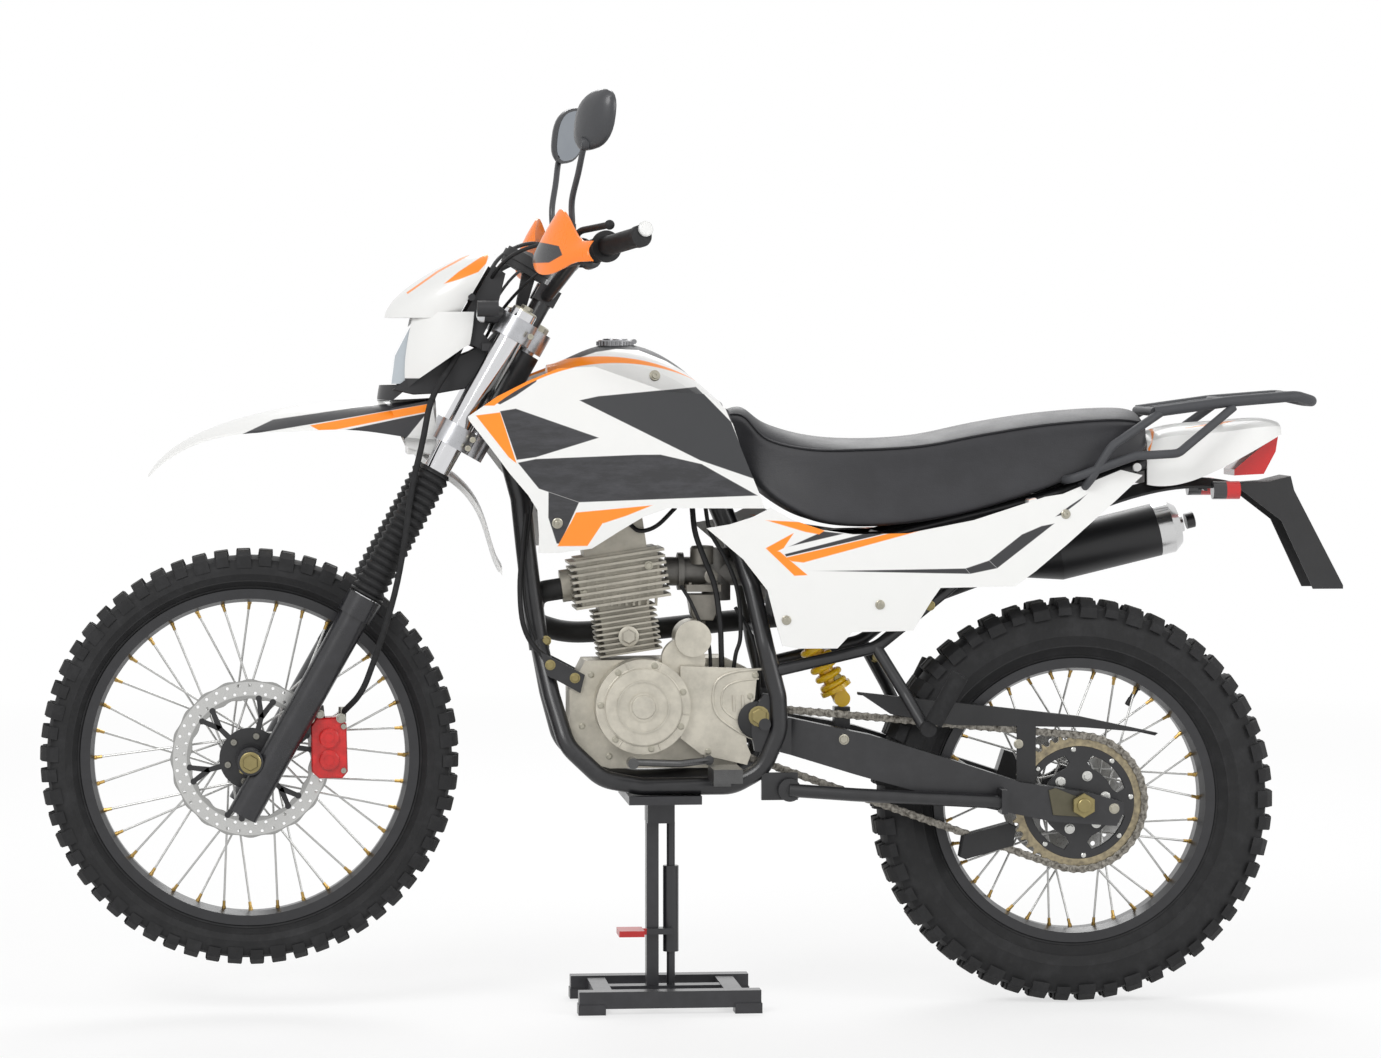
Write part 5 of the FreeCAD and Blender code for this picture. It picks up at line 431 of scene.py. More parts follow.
def paint_bodywork(shades):
    white, orange, charcoal = tuple(shades.white), tuple(shades.orange), tuple(shades.charcoal)
    dress("tank_shrouds", tank_graphics("shroud plastic", 140, shades))
    dress("fuel_tank", tank_graphics("tank plastic", 90, shades))

    panels = Surface("side panel plastic")
    out = 125
    flash = shapes(panels, out, ((89, 808), (181, 803), (213, 789), (201, 781), (181, 787), (125, 797)),
                   ((115, 760), (161, 785), (187, 781), (145, 760), (139, 751)),
                   ((115, 760), (139, 754), (185, 715), (163, 714)),
                   ((147, 744), (572, 842), (178, 736), (159, 738)),
                   ((720, 907), (739, 896), (730, 889), (724, 893)))
    lines = shapes(panels, out, ((155, 763), (211, 788), (245, 784)),
                   ((147, 750), (565, 857), (577, 844), (149, 746)),
                   ((211, 722), (450, 725), (458, 716)), ((450, 725), (490, 738), (504, 725), (458, 716)),
                   ((490, 738), (546, 781), (580, 795), (602, 799), (504, 725)),
                   ((598, 809), (628, 828), (672, 860), (646, 836), (614, 813)))
    tone = panels.mixed(lines, white, charcoal)
    dress("side_panels", moulded(panels, panels.mixed(flash, tone, orange)))

    tail = Surface("tail plastic")
    bands = shapes(tail, 60, ((770, 970), (860, 981), (952, 988), (860, 977), (770, 966)),
                   ((825, 963), (887, 968), (934, 975), (887, 964), (825, 958)),
                   ((777, 967), (792, 956), (766, 938), (758, 924), (769, 950)), ((766, 938), (758, 924),
                                                                                  (760, 914)))
    dress("tail_fairing", moulded(tail, tail.mixed(bands, white, orange)))

    fender = Surface("front fender plastic")
    edge = shapes(fender, 30,
                  ((-560, 996), (-433, 1010), (-437, 1002), (-600, 975), (-760, 948), (-700, 976)))
    flash = shapes(fender, 60, ((-640, 966), (-437, 1002), (-445, 988), (-620, 955)))
    dark = shapes(fender, 60, ((-585, 958), (-447, 986), (-486, 940), (-545, 950)))
    tone = fender.mixed(edge | dark, white, charcoal)
    dress("front_fender", moulded(fender, fender.mixed(flash, tone, orange)))

    cowl = Surface("cowl plastic")
    flash = shapes(cowl, 60,
                   ((-445, 1186), (-396, 1218), (-338, 1266), (-350, 1232), (-368, 1213), (-396, 1205)))
    pin = cowl.strip(3, *brought(((-479, 1183), (-428, 1219), (-371, 1250)), 60))
    tone = cowl.mixed(flash | pin, white, orange)
    # The cowl's lowest lug is painted near-black: partly painted shade from the fork tube, partly the black
    # lower housing that covers it.
    lug_shade_and_housing = shapes(cowl, 60, ((-600, 1000), (-300, 1000), (-300, 1043), (-600, 1043)))
    dress("headlight_cowl", moulded(cowl, cowl.mixed(lug_shade_and_housing, tone, linear(34, 34, 36))))


def paint_details(shades):
    black, rubber = tuple(shades.black), tuple(shades.rubber)

    shock = Surface("shock finish")
    dress("rear_shock",
          shock.finish(tuple(shades.spring), shock.wear(0.1) + 0.35, coat=0.3,
                       normal=shock.grain(0.002, 0.00005)))

    lamps = Surface("lamp finish")
    lens = lamps.side_of((-440, 1000), (-440, 1300))
    tone = lamps.mixed(lens, linear(36, 36, 38), linear(176, 184, 190))
    dress("front_lamps", lamps.finish(tone, lamps.spread(lens, 0, 1, 0.5, 0.08), coat=lens, coat_rough=0.03,
                                      normal=lamps.grain(0.002, 0.00003, 0.3)))

    rear = Surface("tail lamp finish")
    dark = shapes(rear, 60, ((800, 700), (1000, 700), (1000, 884), (882, 884), (882, 960), (800, 960)))
    tone = rear.mixed(dark, tuple(shades.lens_red), linear(40, 40, 42))
    dress("tail_lamps", rear.finish(tone, rear.wear(0.05) + 0.16, coat=0.6, coat_rough=0.05))

    disc = Surface("brake disc steel")
    swirl = disc.noise(0.0012, 2, place=disc.stretched((1, 0.1, 1)))
    tone = disc.mixed(disc.noise(0.02, 4), linear(178, 178, 176), linear(146, 146, 146))
    dress("front_disc", disc.finish(tone, (swirl - 0.5) * 0.2 + 0.3, 0.95, disc.bump(swirl, 0.00002, 0.4)))
    dress("rear_disc", disc.material)

    tubes = Surface("fork chrome")
    dress("fork_tubes", tubes.finish(linear(214, 214, 216), tubes.wear(0.05) + 0.1, 1.0))

    sliders = Surface("slider enamel")
    dress("fork_sliders", enamelled(sliders, linear(30, 30, 33), 0.3))

    caliper = Surface("caliper anodising")
    dress("front_caliper", enamelled(caliper, tuple(shades.red), 0.32))

    arm = Surface("swingarm finish")
    plate = arm.side_of((598, 400), (598, 200)) & arm.side_of((690, 300), (690, 360))
    tone = arm.mixed(plate, black, black)
    dress("swingarm", enamelled(arm, grown(black, 1.2)))

    axle = Surface("rear axle zinc")
    dress("rear_axle", machined(axle, tuple(shades.zinc), 0.4, 0.8))

    sprocket = Surface("sprocket anodising")
    rim = sprocket.spread(ring_distance(sprocket, (0.6305, 0.338)), 0.0935, 0.0945)
    tone = sprocket.mixed(rim, linear(22, 22, 24), linear(96, 94, 90))
    dress("rear_sprocket",
          sprocket.finish(tone, sprocket.wear(0.1) + 0.36, rim, sprocket.grain(0.001, 0.00005)))

    barrel = Surface("barrel casting")
    dress("cylinder", cast_alloy(barrel, grown(tuple(shades.cast), 0.8), 0.55))

    covers = Surface("cover casting")
    dress("engine_covers", cast_alloy(covers, grown(tuple(shades.cast), 1.08), 0.42))

    grips = Surface("control finish")
    dress("hand_controls", rubbery(grips, linear(24, 24, 25), 0.6))

    guard = Surface("handguard plastic")
    dress("handguards", moulded(guard, tuple(shades.guard)))

    mirror = Surface("mirror shell")
    dress("mirrors", moulded(mirror, linear(52, 53, 56), 0.4))

    end = Surface("muffler finish")
    cap = end.node("VectorMath", {"operation": "DOT_PRODUCT"}, {0: end.place, 1: (0.97237, 0, 0.23344)},
                   "Value")
    bright = end.spread(cap, 0.958, 0.9585)
    tone = end.mixed(bright, linear(30, 30, 32), linear(205, 205, 205))
    dress("muffler",
          end.finish(tone, end.spread(bright, 0, 1, 0.42, 0.2), bright, end.grain(0.0012, 0.00006, 0.4)))

    ram = Surface("stand ram finish")
    pedal = ram.side_of((-86, 0), (-86, 300))
    tone = ram.mixed(pedal, linear(34, 34, 37), tuple(shades.red))
    dress("lift_cylinder",
          ram.finish(tone, ram.wear(0.1) + 0.35, coat=0.2, normal=ram.grain(0.002, 0.00005)))

    tyre = Surface("tyre rubber")
    dress("front_tyre", rubbery(tyre, rubber))
    dress("rear_tyre", tyre.material)

    chain = Surface("chain steel")
    dress("drive_chain", machined(chain, linear(112, 108, 98), 0.42, 0.85))

    seat = Surface("seat cover")
    dress("seat", textured(seat, tuple(shades.vinyl), 0.5, 0.0009))


class Form:
    """A mesh gathered from several shapes, in metres."""

    def __init__(self):
        self.mesh = bmesh.new()

    def skin(self, points, faces):
        spots = [self.mesh.verts.new(point) for point in points]
        for face in faces:
            self.mesh.faces.new([spots[number] for number in face])

    def rings(self, rings, closed=False):
        """Join rings of equally many points, with a cap on both ends or closed on themselves."""
        count = len(rings[0])
        points = [point for ring in rings for point in ring]
        faces = []
        for row in range(len(rings) if closed else len(rings) - 1):
            near, far = row * count, (row + 1) % len(rings) * count
            for spot in range(count):
                after = (spot + 1) % count
                faces.append((near + spot, near + after, far + after, far + spot))
        if not closed:
            faces.append(tuple(reversed(range(count))))
            faces.append(tuple(range(len(points) - count, len(points))))
        self.skin(points, faces)

    def turned(self, profile, centre, axis, steps=20, closed=False, spin=0.0):
        """Turn (radius, along) points about an axis."""
        basis = Vector(axis).to_track_quat("Z", "X").to_matrix()
        rings = []
        for radius, along in profile:
            angles = [2 * math.pi * step / steps + spin for step in range(steps)]
            rings.append([Vector(centre) + basis @ Vector((radius * math.cos(angle),
                                                           radius * math.sin(angle), along))
                          for angle in angles])
        self.rings(rings, closed)

    def hex_bolt(self, centre, axis, across):
        """A hexagon head on its washer, with a rounded crown."""
        radius = across / math.sqrt(3)
        high = across * 0.42
        self.turned([(radius * 1.25, 0), (radius * 1.25, high * 0.22), (radius * 1.1, high * 0.28)], centre,
                    axis, 14)
        self.turned([(radius, high * 0.2), (radius, high * 0.85), (radius * 0.84, high)], centre, axis, 6)

    def socket_bolt(self, centre, axis, radius, high=None):
        """A round head with a hexagonal recess."""
        high = high or radius * 1.1
        recess = radius * 0.5
        self.turned([(radius, 0), (radius, high * 0.86), (radius * 0.88, high), (recess, high),
                     (recess, high * 0.45)],
                    centre, axis, 12)

    def tube(self, spots, radius, steps=10, parts=6):
        """A round tube along a smooth line through the spots; radius may be one value for each spot."""
        line = curve_through(spots, parts)
        radii = radius if isinstance(radius, (list, tuple)) else [radius] * len(spots)
        heading = (line[1] - line[0]).normalized()
        side = heading.orthogonal().normalized()
        rings = []
        for number, spot in enumerate(line):
            ahead = (line[min(number + 1, len(line) - 1)] - line[max(number - 1, 0)]).normalized()
            side = (side - ahead * side.dot(ahead)).normalized()
            other = ahead.cross(side)
            share = number / parts
            low = min(int(share), len(radii) - 1)
            high = min(low + 1, len(radii) - 1)
            wide = radii[low] + (radii[high] - radii[low]) * (share - low)
            rings.append([spot + (side * math.cos(turn) + other * math.sin(turn)) * wide
                          for turn in (2 * math.pi * step / steps for step in range(steps))])
        self.rings(rings)

    def plate(self, outline, low, high, edge=0.8):
        """A plate from (x, z) corners in mm between two y places in mm, with chamfered rims."""
        middle = sum((Vector(corner) for corner in outline), Vector((0, 0))) / len(outline)
        inset = []
        for corner in outline:
            away = Vector(corner) - middle
            inset.append(middle + away * (1 - edge / max(away.length, edge * 2)))
        rings = []
        for corners, y in ((inset, low), (outline, low + edge), (outline, high - edge), (inset, high)):
            rings.append([Vector((x, y, z)) * MM for x, z in corners])
        self.rings(rings)

    def block(self, top, base, edge):
        """A knob from the corners of its top and of its foot, with a chamfer round the top."""
        middle = sum(top, Vector()) / len(top)
        brim = []
        crown = []
        for corner, foot in zip(top, base):
            brim.append(corner + (foot - corner).normalized() * edge)
            crown.append(corner + (middle - corner).normalized() * edge)
        self.rings([base, brim, crown])

    def sheet(self, outlines, low, high, centre, edge=0.0003):
        """A flat piece from outlines of (x, z) points about a centre: the outside, then the holes."""
        curve = bpy.data.curves.new("cutting", "CURVE")
        curve.dimensions = "2D"
        curve.fill_mode = "BOTH"
        curve.extrude = (high - low) / 2 - edge
        curve.bevel_depth = edge
        curve.bevel_resolution = 0
        for outline in outlines:
            spline = curve.splines.new("POLY")
            spline.points.add(len(outline) - 1)
            spline.use_cyclic_u = True
            for point, (x, z) in zip(spline.points, outline):
                point.co = (x, z, 0, 1)
        cutter = bpy.data.objects.new("cutting", curve)
        cut = bpy.data.meshes.new_from_object(cutter)
        stand_up = Matrix(((1, 0, 0, centre[0]), (0, 0, -1, (low + high) / 2), (0, 1, 0, centre[1]),
                           (0, 0, 0, 1)))
        cut.transform(stand_up)
        self.mesh.from_mesh(cut)
        bpy.data.objects.remove(cutter)
        bpy.data.curves.remove(curve)
        bpy.data.meshes.remove(cut)

    def mirrored(self):
        """Repeat everything on the bike's other side."""
        twin = bmesh.ops.duplicate(self.mesh,
                                   geom=self.mesh.verts[:] + self.mesh.edges[:] + self.mesh.faces[:])
        bmesh.ops.scale(self.mesh, vec=(1, -1, 1),
                        verts=[item for item in twin["geom"] if isinstance(item, bmesh.types.BMVert)])

    def finished(self, name, material, body, slot, angle=32):
        """Make the piece and let it ride on its body."""
        bmesh.ops.recalc_face_normals(self.mesh, faces=self.mesh.faces)
        mesh = bpy.data.meshes.new(name)
        self.mesh.to_mesh(mesh)
        self.mesh.free()
        mesh.shade_smooth()
        mesh.set_sharp_from_angle(angle=math.radians(angle))
        mesh.materials.append(material)
        piece = bpy.data.objects.new(name, mesh)
        bpy.context.scene.collection.objects.link(piece)
        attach(piece, body)
        return piece


def curve_through(spots, parts):
    """Points along a smooth line through the spots."""
    spots = [Vector(spot) for spot in spots]
    ends = [spots[0] * 2 - spots[1]] + spots + [spots[-1] * 2 - spots[-2]]
    line = []
    for before, start, stop, after in zip(ends, ends[1:], ends[2:], ends[3:]):
        for part in range(parts):
            share = part / parts
            line.append(0.5 * (2 * start + (stop - before) * share
                               + (2 * before - 5 * start + 4 * stop - after) * share ** 2
                               + (3 * start - before - 3 * stop + after) * share ** 3))
    return line + [spots[-1]]


def at_mm(*places):
    return [Vector(place) * MM for place in places]


def ring_of(radius, count, wave=0.0, waves=0):
    """Points round a circle, with a wavy edge where a disc has one."""
    points = []
    for step in range(count):
        angle = 2 * math.pi * step / count
        reach = radius + wave * math.cos(waves * angle)
        points.append((reach * math.cos(angle), reach * math.sin(angle)))
    return points


def moved(outline, radius, angle):
    """An outline shifted out along a direction and turned to face it."""
    across, up = math.cos(angle), math.sin(angle)
    return [(radius * across + x * across - z * up, radius * up + x * up + z * across) for x, z in outline]


WHEELS = {
    "front": {"centre": (-0.7395, 0.421), "radius": 0.343, "half": 0.041, "rim": 0.277, "bead": 0.0227,
              "rows": 58,
              "turn": 0.3, "spoke": 0.2547, "hub": 0.0363, "flange": 0.032},
    "rear": {"centre": (0.6305, 0.338), "radius": 0.338, "half": 0.052, "rim": 0.238, "bead": 0.0307,
             "rows": 50,
             "turn": 0.0, "spoke": 0.2157, "hub": 0.0503, "flange": 0.036},
}


def casing_profile(wheel):
    """Half of a tyre's section as (radius, half width), from the bead to the crown."""
    rim, radius, half, bead = wheel["rim"], wheel["radius"], wheel["half"], wheel["bead"]
    wall = radius - rim
    return [(rim - 0.0117, bead), (rim - 0.001, bead), (rim + 0.003, bead + 0.004),
            (rim + 0.0045, bead + 0.0046),
            (rim + 0.005, bead + 0.0035), (rim + wall * 0.18, half * 0.84), (rim + wall * 0.2, half * 0.88),
            (rim + wall * 0.22, half * 0.87), (rim + wall * 0.36, half * 0.955), (rim + wall * 0.38,
                                                                                  half * 0.975),
            (rim + wall * 0.4, half * 0.965), (rim + wall * 0.52, half * 0.97), (rim + wall * 0.62,
                                                                                 half * 0.93),
            (radius - 0.017, half * 0.8), (radius - 0.0125, half * 0.55), (radius - 0.011, half * 0.25)]


def build_tyre(end):
    """The casing with its moulded rings, and rows of chamfered blocks."""
    wheel = WHEELS[end]
    form = Form()
    half = casing_profile(wheel)
    x, z = wheel["centre"]
    profile = half + [(reach, -wide) for reach, wide in reversed(half)]
    form.turned(profile, (x, 0, z), (0, 1, 0), 116, closed=True)
    radius, wide, rows = wheel["radius"], wheel["half"], wheel["rows"]
    pitch = 2 * math.pi * radius / rows
    foot = sizes().knob_height

    def spot(angle, across, along, reach):
        return Vector((x + reach * math.cos(angle) - along * math.sin(angle), across,
                       z + reach * math.sin(angle) + along * math.cos(angle)))

    def knob(angle, inner, outer, length, skew=0.0, drop=(0.0, 0.0), sunk=None):
        """A block between two places across the tread; drop lowers its inner and outer edge."""
        long = pitch * length / 2
        top = []
        base = []
        for across, along, fall, deep in ((inner, -long - skew, drop[0], foot),
                                          (outer, -long, drop[1], sunk or foot),
                                          (outer, long, drop[1], sunk or foot), (inner, long - skew,
                                                                                 drop[0], foot)):
            top.append(spot(angle, across, along, radius - fall))
            base.append(spot(angle, across * 1.01, along * 1.08, radius - fall - deep))
        form.block(top, base, 0.0011)

    for row in range(rows):
        angle = 2 * math.pi * row / rows + wheel["turn"]
        even = row % 2 == 0
        if even:
            knob(angle, -wide * 0.27, wide * 0.27, 0.6)
        for side in (-1, 1):
            if not even:
                knob(angle, side * wide * 0.1, side * wide * 0.5, 0.56, side * 0.001, (0.0, 0.0012))
            else:
                knob(angle, side * wide * 0.36, side * wide * 0.58, 0.5, 0.0, (0.0006, 0.002))
            tall = 0.024 if even else 0.02
            knob(angle, side * wide * 0.64, side * wide * 0.985, 0.62 if even else 0.5, 0.0,
                 (0.0022, wide * 0.26 + 0.001), tall - wide * 0.26 + 0.006)
    rubber = Surface(end + " tyre rubber")
    reach = ring_distance(rubber, wheel["centre"])
    worn = rubber.spread(reach, radius - 0.006, radius - 0.001) * rubber.spread(rubber.noise(0.012, 5),
                                                                                0.35, 0.7)
    dust = rubber.spread(rubber.noise(0.03, 6, 0.65), 0.48, 0.78)
    shade = tuple(colours().rubber)
    tone = rubber.mixed(dust, shade, grown(shade, 1.9))
    tone = rubber.mixed(worn * 0.5, tone, linear(74, 72, 68))
    material = rubber.finish(tone, rubber.wear(0.1) + 0.72, normal=rubber.grain(0.0016, 0.00015, 0.6),
                             specular=0.35)
    piece = form.finished(end + "_tread", material, end + "_wheel", end + "_tyre")
    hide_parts(end + "_tyre")


def build_nipples(end):
    """Brass nipples where the spokes meet the rim, and the valve's stem."""
    wheel = WHEELS[end]
    x, z = wheel["centre"]
    form = Form()
    long = sizes().nipple_length
    for number in range(36):
        side = 1 if number % 2 else -1
        lean = 1 if number % 4 < 2 else -1
        turn = 2 * math.pi * number / 36
        lace = turn + lean * math.radians(62)
        start = Vector((wheel["hub"] * math.cos(lace), side * (wheel["flange"] + 0.0027 * lean),
                        wheel["hub"] * math.sin(lace)))
        stop = Vector((wheel["spoke"] * math.cos(turn), side * 0.0054, wheel["spoke"] * math.sin(turn)))
        back = (start - stop).normalized()
        centre = Vector((x, 0, z)) + stop
        form.turned([(0.0036, -0.001), (0.0036, 0.0035), (0.0028, 0.0042), (0.0026, long)], centre, back, 8)
    brass = machined(Surface(end + " nipple brass"), tuple(colours().brass), 0.34, 0.9)
    form.finished(end + "_nipples", brass, end + "_wheel", end + "_spokes")
    stem = Form()
    turn = math.radians(58.8)
    out = Vector((math.cos(turn), 0, math.sin(turn)))
    base = Vector((x, 0, z)) + out * (wheel["spoke"] + 0.002)
    stem.turned([(0.0065, 0), (0.0065, 0.003), (0.0042, 0.0045), (0.004, 0.022), (0.0049, 0.0225),
                 (0.0049, 0.034), (0.0036, 0.0355)],
                base, -out, 12)
    stem.finished(end + "_valve", rubbery(Surface(end + " valve rubber"), linear(30, 30, 31), 0.5),
                  end + "_wheel", end + "_rim")


def chain_path():
    """The chain's pitch line as evenly spaced pin places, starting behind the rear sprocket."""
    pitch = sizes().chain_pitch
    front = Vector((0.04, 0.47))
    rear = Vector(WHEELS["rear"]["centre"])
    near, far = pitch / (2 * math.sin(math.pi / 14)), pitch / (2 * math.sin(math.pi / 44))
    run = rear - front
    slope = math.atan2(run.y, run.x)
    lean = math.acos((near - far) / run.length)
    line = []

    def arc(centre, reach, start, stop, count):
        for step in range(count + 1):
            angle = start + (stop - start) * step / count
            line.append(centre + Vector((math.cos(angle), math.sin(angle))) * reach)

    arc(rear, far, slope, slope + lean, 120)
    arc(front, near, slope + lean, slope + 2 * math.pi - lean, 120)
    arc(rear, far, slope - lean, slope, 120)
    lengths = [0.0]
    for one, two in zip(line, line[1:]):
        lengths.append(lengths[-1] + (two - one).length)
    links = 2 * round(lengths[-1] / pitch / 2)
    pins = []
    spot = 0
    for number in range(links):
        goal = lengths[-1] * number / links
        while lengths[spot + 1] < goal:
            spot += 1
        share = (goal - lengths[spot]) / max(lengths[spot + 1] - lengths[spot], 1e-9)
        pins.append(line[spot] + (line[spot + 1] - line[spot]) * share)
    return pins, slope


def build_chain():
    """Inner and outer links with their rollers and pin heads."""
    pins, slope = chain_path()
    plane = -0.066
    links = Form()
    for number, one in enumerate(pins):
        two = pins[(number + 1) % len(pins)]
        run = two - one
        half = run.length / 2
        middle = (one + two) / 2
        along = run.normalized()
        outer = number % 2 == 0
        outline = []
        swell = 0.0066 if outer else 0.007
        for step in range(7):
            angle = math.radians(-75 + 150 * step / 6)
            outline.append((half + swell * math.cos(angle), swell * math.sin(angle)))
        outline.append((0, swell * 0.76))
        outline += [(-x, z) for x, z in reversed(outline[:7])]
        outline = outline + [(0, -swell * 0.76)]
        for side in (-1, 1):
            low, high = (0.005, 0.0068) if outer else (0.0032, 0.0049)
            rings = []
            for depth, shrink in ((low, 1.0), (high - 0.0003, 1.0), (high, 0.93)):
                rings.append([Vector((middle.x + (along.x * x - along.y * z) * shrink, plane + side * depth,
                                      middle.y + (along.y * x + along.x * z) * shrink)) for x,
                                      z in outline])
            links.rings(rings)
        links.turned([(0.0051, -0.0031), (0.0051, 0.0031)], (one.x, plane, one.y), (0, 1, 0), 10)
        links.turned([(0.0026, -0.0074), (0.0026, 0.0074)], (one.x, plane, one.y), (0, 1, 0), 8)
    steel = Surface("chain steel")
    grime = steel.spread(steel.noise(0.006, 6, 0.6), 0.38, 0.68)
    tone = steel.mixed(grime, linear(150, 146, 138), linear(66, 62, 56))
    piece = links.finished("chain_links",
                           steel.finish(tone, steel.wear(0.2) + 0.42, 0.85, steel.grain(0.001, 0.00005)),
                           "chassis", "drive_chain")
    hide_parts("drive_chain")

    wheel = WHEELS["rear"]["centre"]
    ring = Form()
    teeth = []
    pitch_angle = 2 * math.pi / 44
    for number in range(44):
        for share, reach in ((-0.3, 0.1082), (-0.17, 0.1062), (0.0, 0.1056), (0.17, 0.1062), (0.3, 0.1082),
                             (0.42, 0.1135), (0.58, 0.1135)):
            angle = slope + pitch_angle * (number + share)
            teeth.append((reach * math.cos(angle), reach * math.sin(angle)))
    ring.sheet([teeth, ring_of(0.0915, 72)], -0.0688, -0.0632, wheel, 0.0005)
    brassy = Surface("sprocket ring steel")
    tone = brassy.mixed(brassy.spread(brassy.noise(0.01, 5), 0.35, 0.7), linear(168, 156, 128),
                        linear(120, 112, 96))
    piece = ring.finished("sprocket_ring",
                          brassy.finish(tone, brassy.wear(0.1) + 0.36, 0.9, brassy.grain(0.0008, 0.00004)),
                          "rear_wheel", "rear_sprocket")
    disc = Form()
    slots = []
    for number in range(4):
        start = math.pi / 4 + math.pi / 2 * number
        kidney = [(0.082 * math.cos(start + a), 0.082 * math.sin(start + a)) for a in (-0.5, -0.3, -0.1,
                                                                                       0.1, 0.3, 0.5)]
        kidney += [(0.068 * math.cos(start + 0.57), 0.068 * math.sin(start + 0.57))]
        kidney += [(0.06 * math.cos(start + a), 0.06 * math.sin(start + a)) for a in (0.42, 0.15, -0.15,
                                                                                      -0.42)]
        kidney += [(0.068 * math.cos(start - 0.57), 0.068 * math.sin(start - 0.57))]
        slots.append(kidney)
    disc.sheet([ring_of(0.0935, 72), ring_of(0.0215, 36)] + slots, -0.0695, -0.0625, wheel, 0.0006)
    black = enamelled(Surface("sprocket anodising"), linear(26, 26, 28), 0.34)
    carrier = disc.finished("sprocket_carrier", black, "rear_wheel", "rear_sprocket")
    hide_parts("rear_sprocket")
    bolts = Form()
    for number in range(6):
        angle = math.pi / 3 * number + 0.2
        bolts.hex_bolt((wheel[0] + 0.046 * math.cos(angle), -0.0695, wheel[1] + 0.046 * math.sin(angle)),
                       (0, -1, 0), 0.012)
    for number in range(8):
        angle = math.pi / 4 * number + 0.1
        bolts.turned([(0.0042, 0), (0.0042, 0.0016), (0.003, 0.0024)],
                     (wheel[0] + 0.0885 * math.cos(angle), -0.0695,
                      wheel[1] + 0.0885 * math.sin(angle)), (0, -1, 0), 10)
    bolts.finished("sprocket_bolts", machined(Surface("bright zinc"), linear(206, 206, 202), 0.28),
                   "rear_wheel", "rear_sprocket")


def build_front_disc():
    """A wave-edged disc with two rows of holes on a black carrier with forked arms."""
    centre = WHEELS["front"]["centre"]
    disc = Form()
    holes = []
    small = ring_of(0.0031, 10)
    for number in range(40):
        angle = 2 * math.pi * number / 40
        holes.append(moved(small, 0.1205, angle))
        holes.append(moved(small, 0.1075, angle + math.pi / 40))
    disc.sheet([ring_of(0.1285, 200, 0.0015, 20), ring_of(0.0975, 160, 0.0015, 20)] + holes, -0.048, -0.044,
               centre, 0.0004)
    steel = Surface("front disc steel")
    swirl = steel.noise(0.0012, 2)
    reach = ring_distance(steel, centre)
    swept = steel.spread(reach, 0.103, 0.104) & steel.spread(reach, 0.1265, 0.1255)
    tone = steel.mixed(swept, linear(160, 160, 158), linear(196, 196, 194))
    piece = disc.finished("front_disc_band",
                          steel.finish(tone, (swirl - 0.5) * 0.2 + 0.3, 0.95,
                                       steel.bump(swirl, 0.00002, 0.4)),
                          "front_wheel", "front_disc")
    arms = Form()
    arms.sheet([ring_of(0.05, 48), ring_of(0.0243, 36)], -0.0485, -0.0435, centre, 0.0006)
    for number in range(6):
        angle = math.pi / 3 * number + 0.26
        for stem in ((0, 0.046, 0, 0.074), (0, 0.07, 0.012, 0.0995), (0, 0.07, -0.012, 0.0995)):
            start, stop = Vector((stem[1], stem[0])), Vector((stem[3], stem[2]))
            wide = Vector((-(stop - start).y, (stop - start).x)).normalized() * 0.0042
            bar = [start - wide, stop - wide * 0.8, stop + wide * 0.8, start + wide]
            arms.sheet([moved([tuple(corner) for corner in bar], 0.0, angle)], -0.0482, -0.0438, centre,
                       0.0005)
        for lean in (-0.12, 0.12):
            spot = (centre[0] + 0.0995 * math.cos(angle + lean), -0.0489,
                    centre[1] + 0.0995 * math.sin(angle + lean))
            arms.turned([(0.0052, 0), (0.0052, 0.0055), (0.004, 0.0062)], spot, (0, 1, 0), 14)
    arms.finished("front_disc_carrier",
                  enamelled(Surface("disc carrier anodising"), linear(26, 26, 28), 0.34),
                  "front_wheel", "front_disc")
    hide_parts("front_disc")
    bolts = Form()
    for number in range(6):
        angle = math.pi / 3 * number + 0.26
        bolts.socket_bolt((centre[0] + 0.038 * math.cos(angle), -0.0485,
                           centre[1] + 0.038 * math.sin(angle)), (0, -1, 0), 0.0055)
    bolts.finished("front_disc_bolts", machined(Surface("disc bolt zinc"), linear(150, 148, 140), 0.34),
                   "front_wheel", "front_disc")


SEAT_STATIONS = (
    (0.0, 0.62, 0.965, 0.3, 0.27, 0.04), (0.045, 0.45, 0.99, 0.45, 0.36, 0.08), (0.1, 0.26, 0.86, 0.7, 0.5,
                                                                                 0.14),
    (0.2, 0.06, 0.76, 0.92, 0.68, 0.12), (0.32, 0.01, 0.73, 1.0, 0.78, 0.09), (0.46, 0.05, 0.76, 1.0, 0.84,
                                                                               0.09),
    (0.6, 0.15, 0.86, 0.96, 0.86, 0.1), (0.75, 0.31, 0.94, 0.88, 0.82, 0.1), (0.9, 0.51, 0.98, 0.8, 0.76,
                                                                              0.1),
    (0.975, 0.57, 0.965, 0.76, 0.7, 0.1), (1.0, 0.68, 0.88, 0.7, 0.62, 0.06))


def seat_sections():
    """Smooth sections along the saddle: x, bottom, top, two half widths and crown, in metres."""
    corners = [Vector(station) for station in SEAT_STATIONS]
    sections = []
    halves = [curve_through([(row[k], row[k + 1], row[k + 2]) for row in corners], 5) for k in (0, 3)]
    for line in zip(*halves):
        first, second = line
        sections.append((0.042 + first[0] * 0.7, 0.797 + first[1] * 0.2, 0.797 + first[2] * 0.2,
                         second[0] * 0.118,
                         second[1] * 0.118, second[2] * 0.2))
    return sections


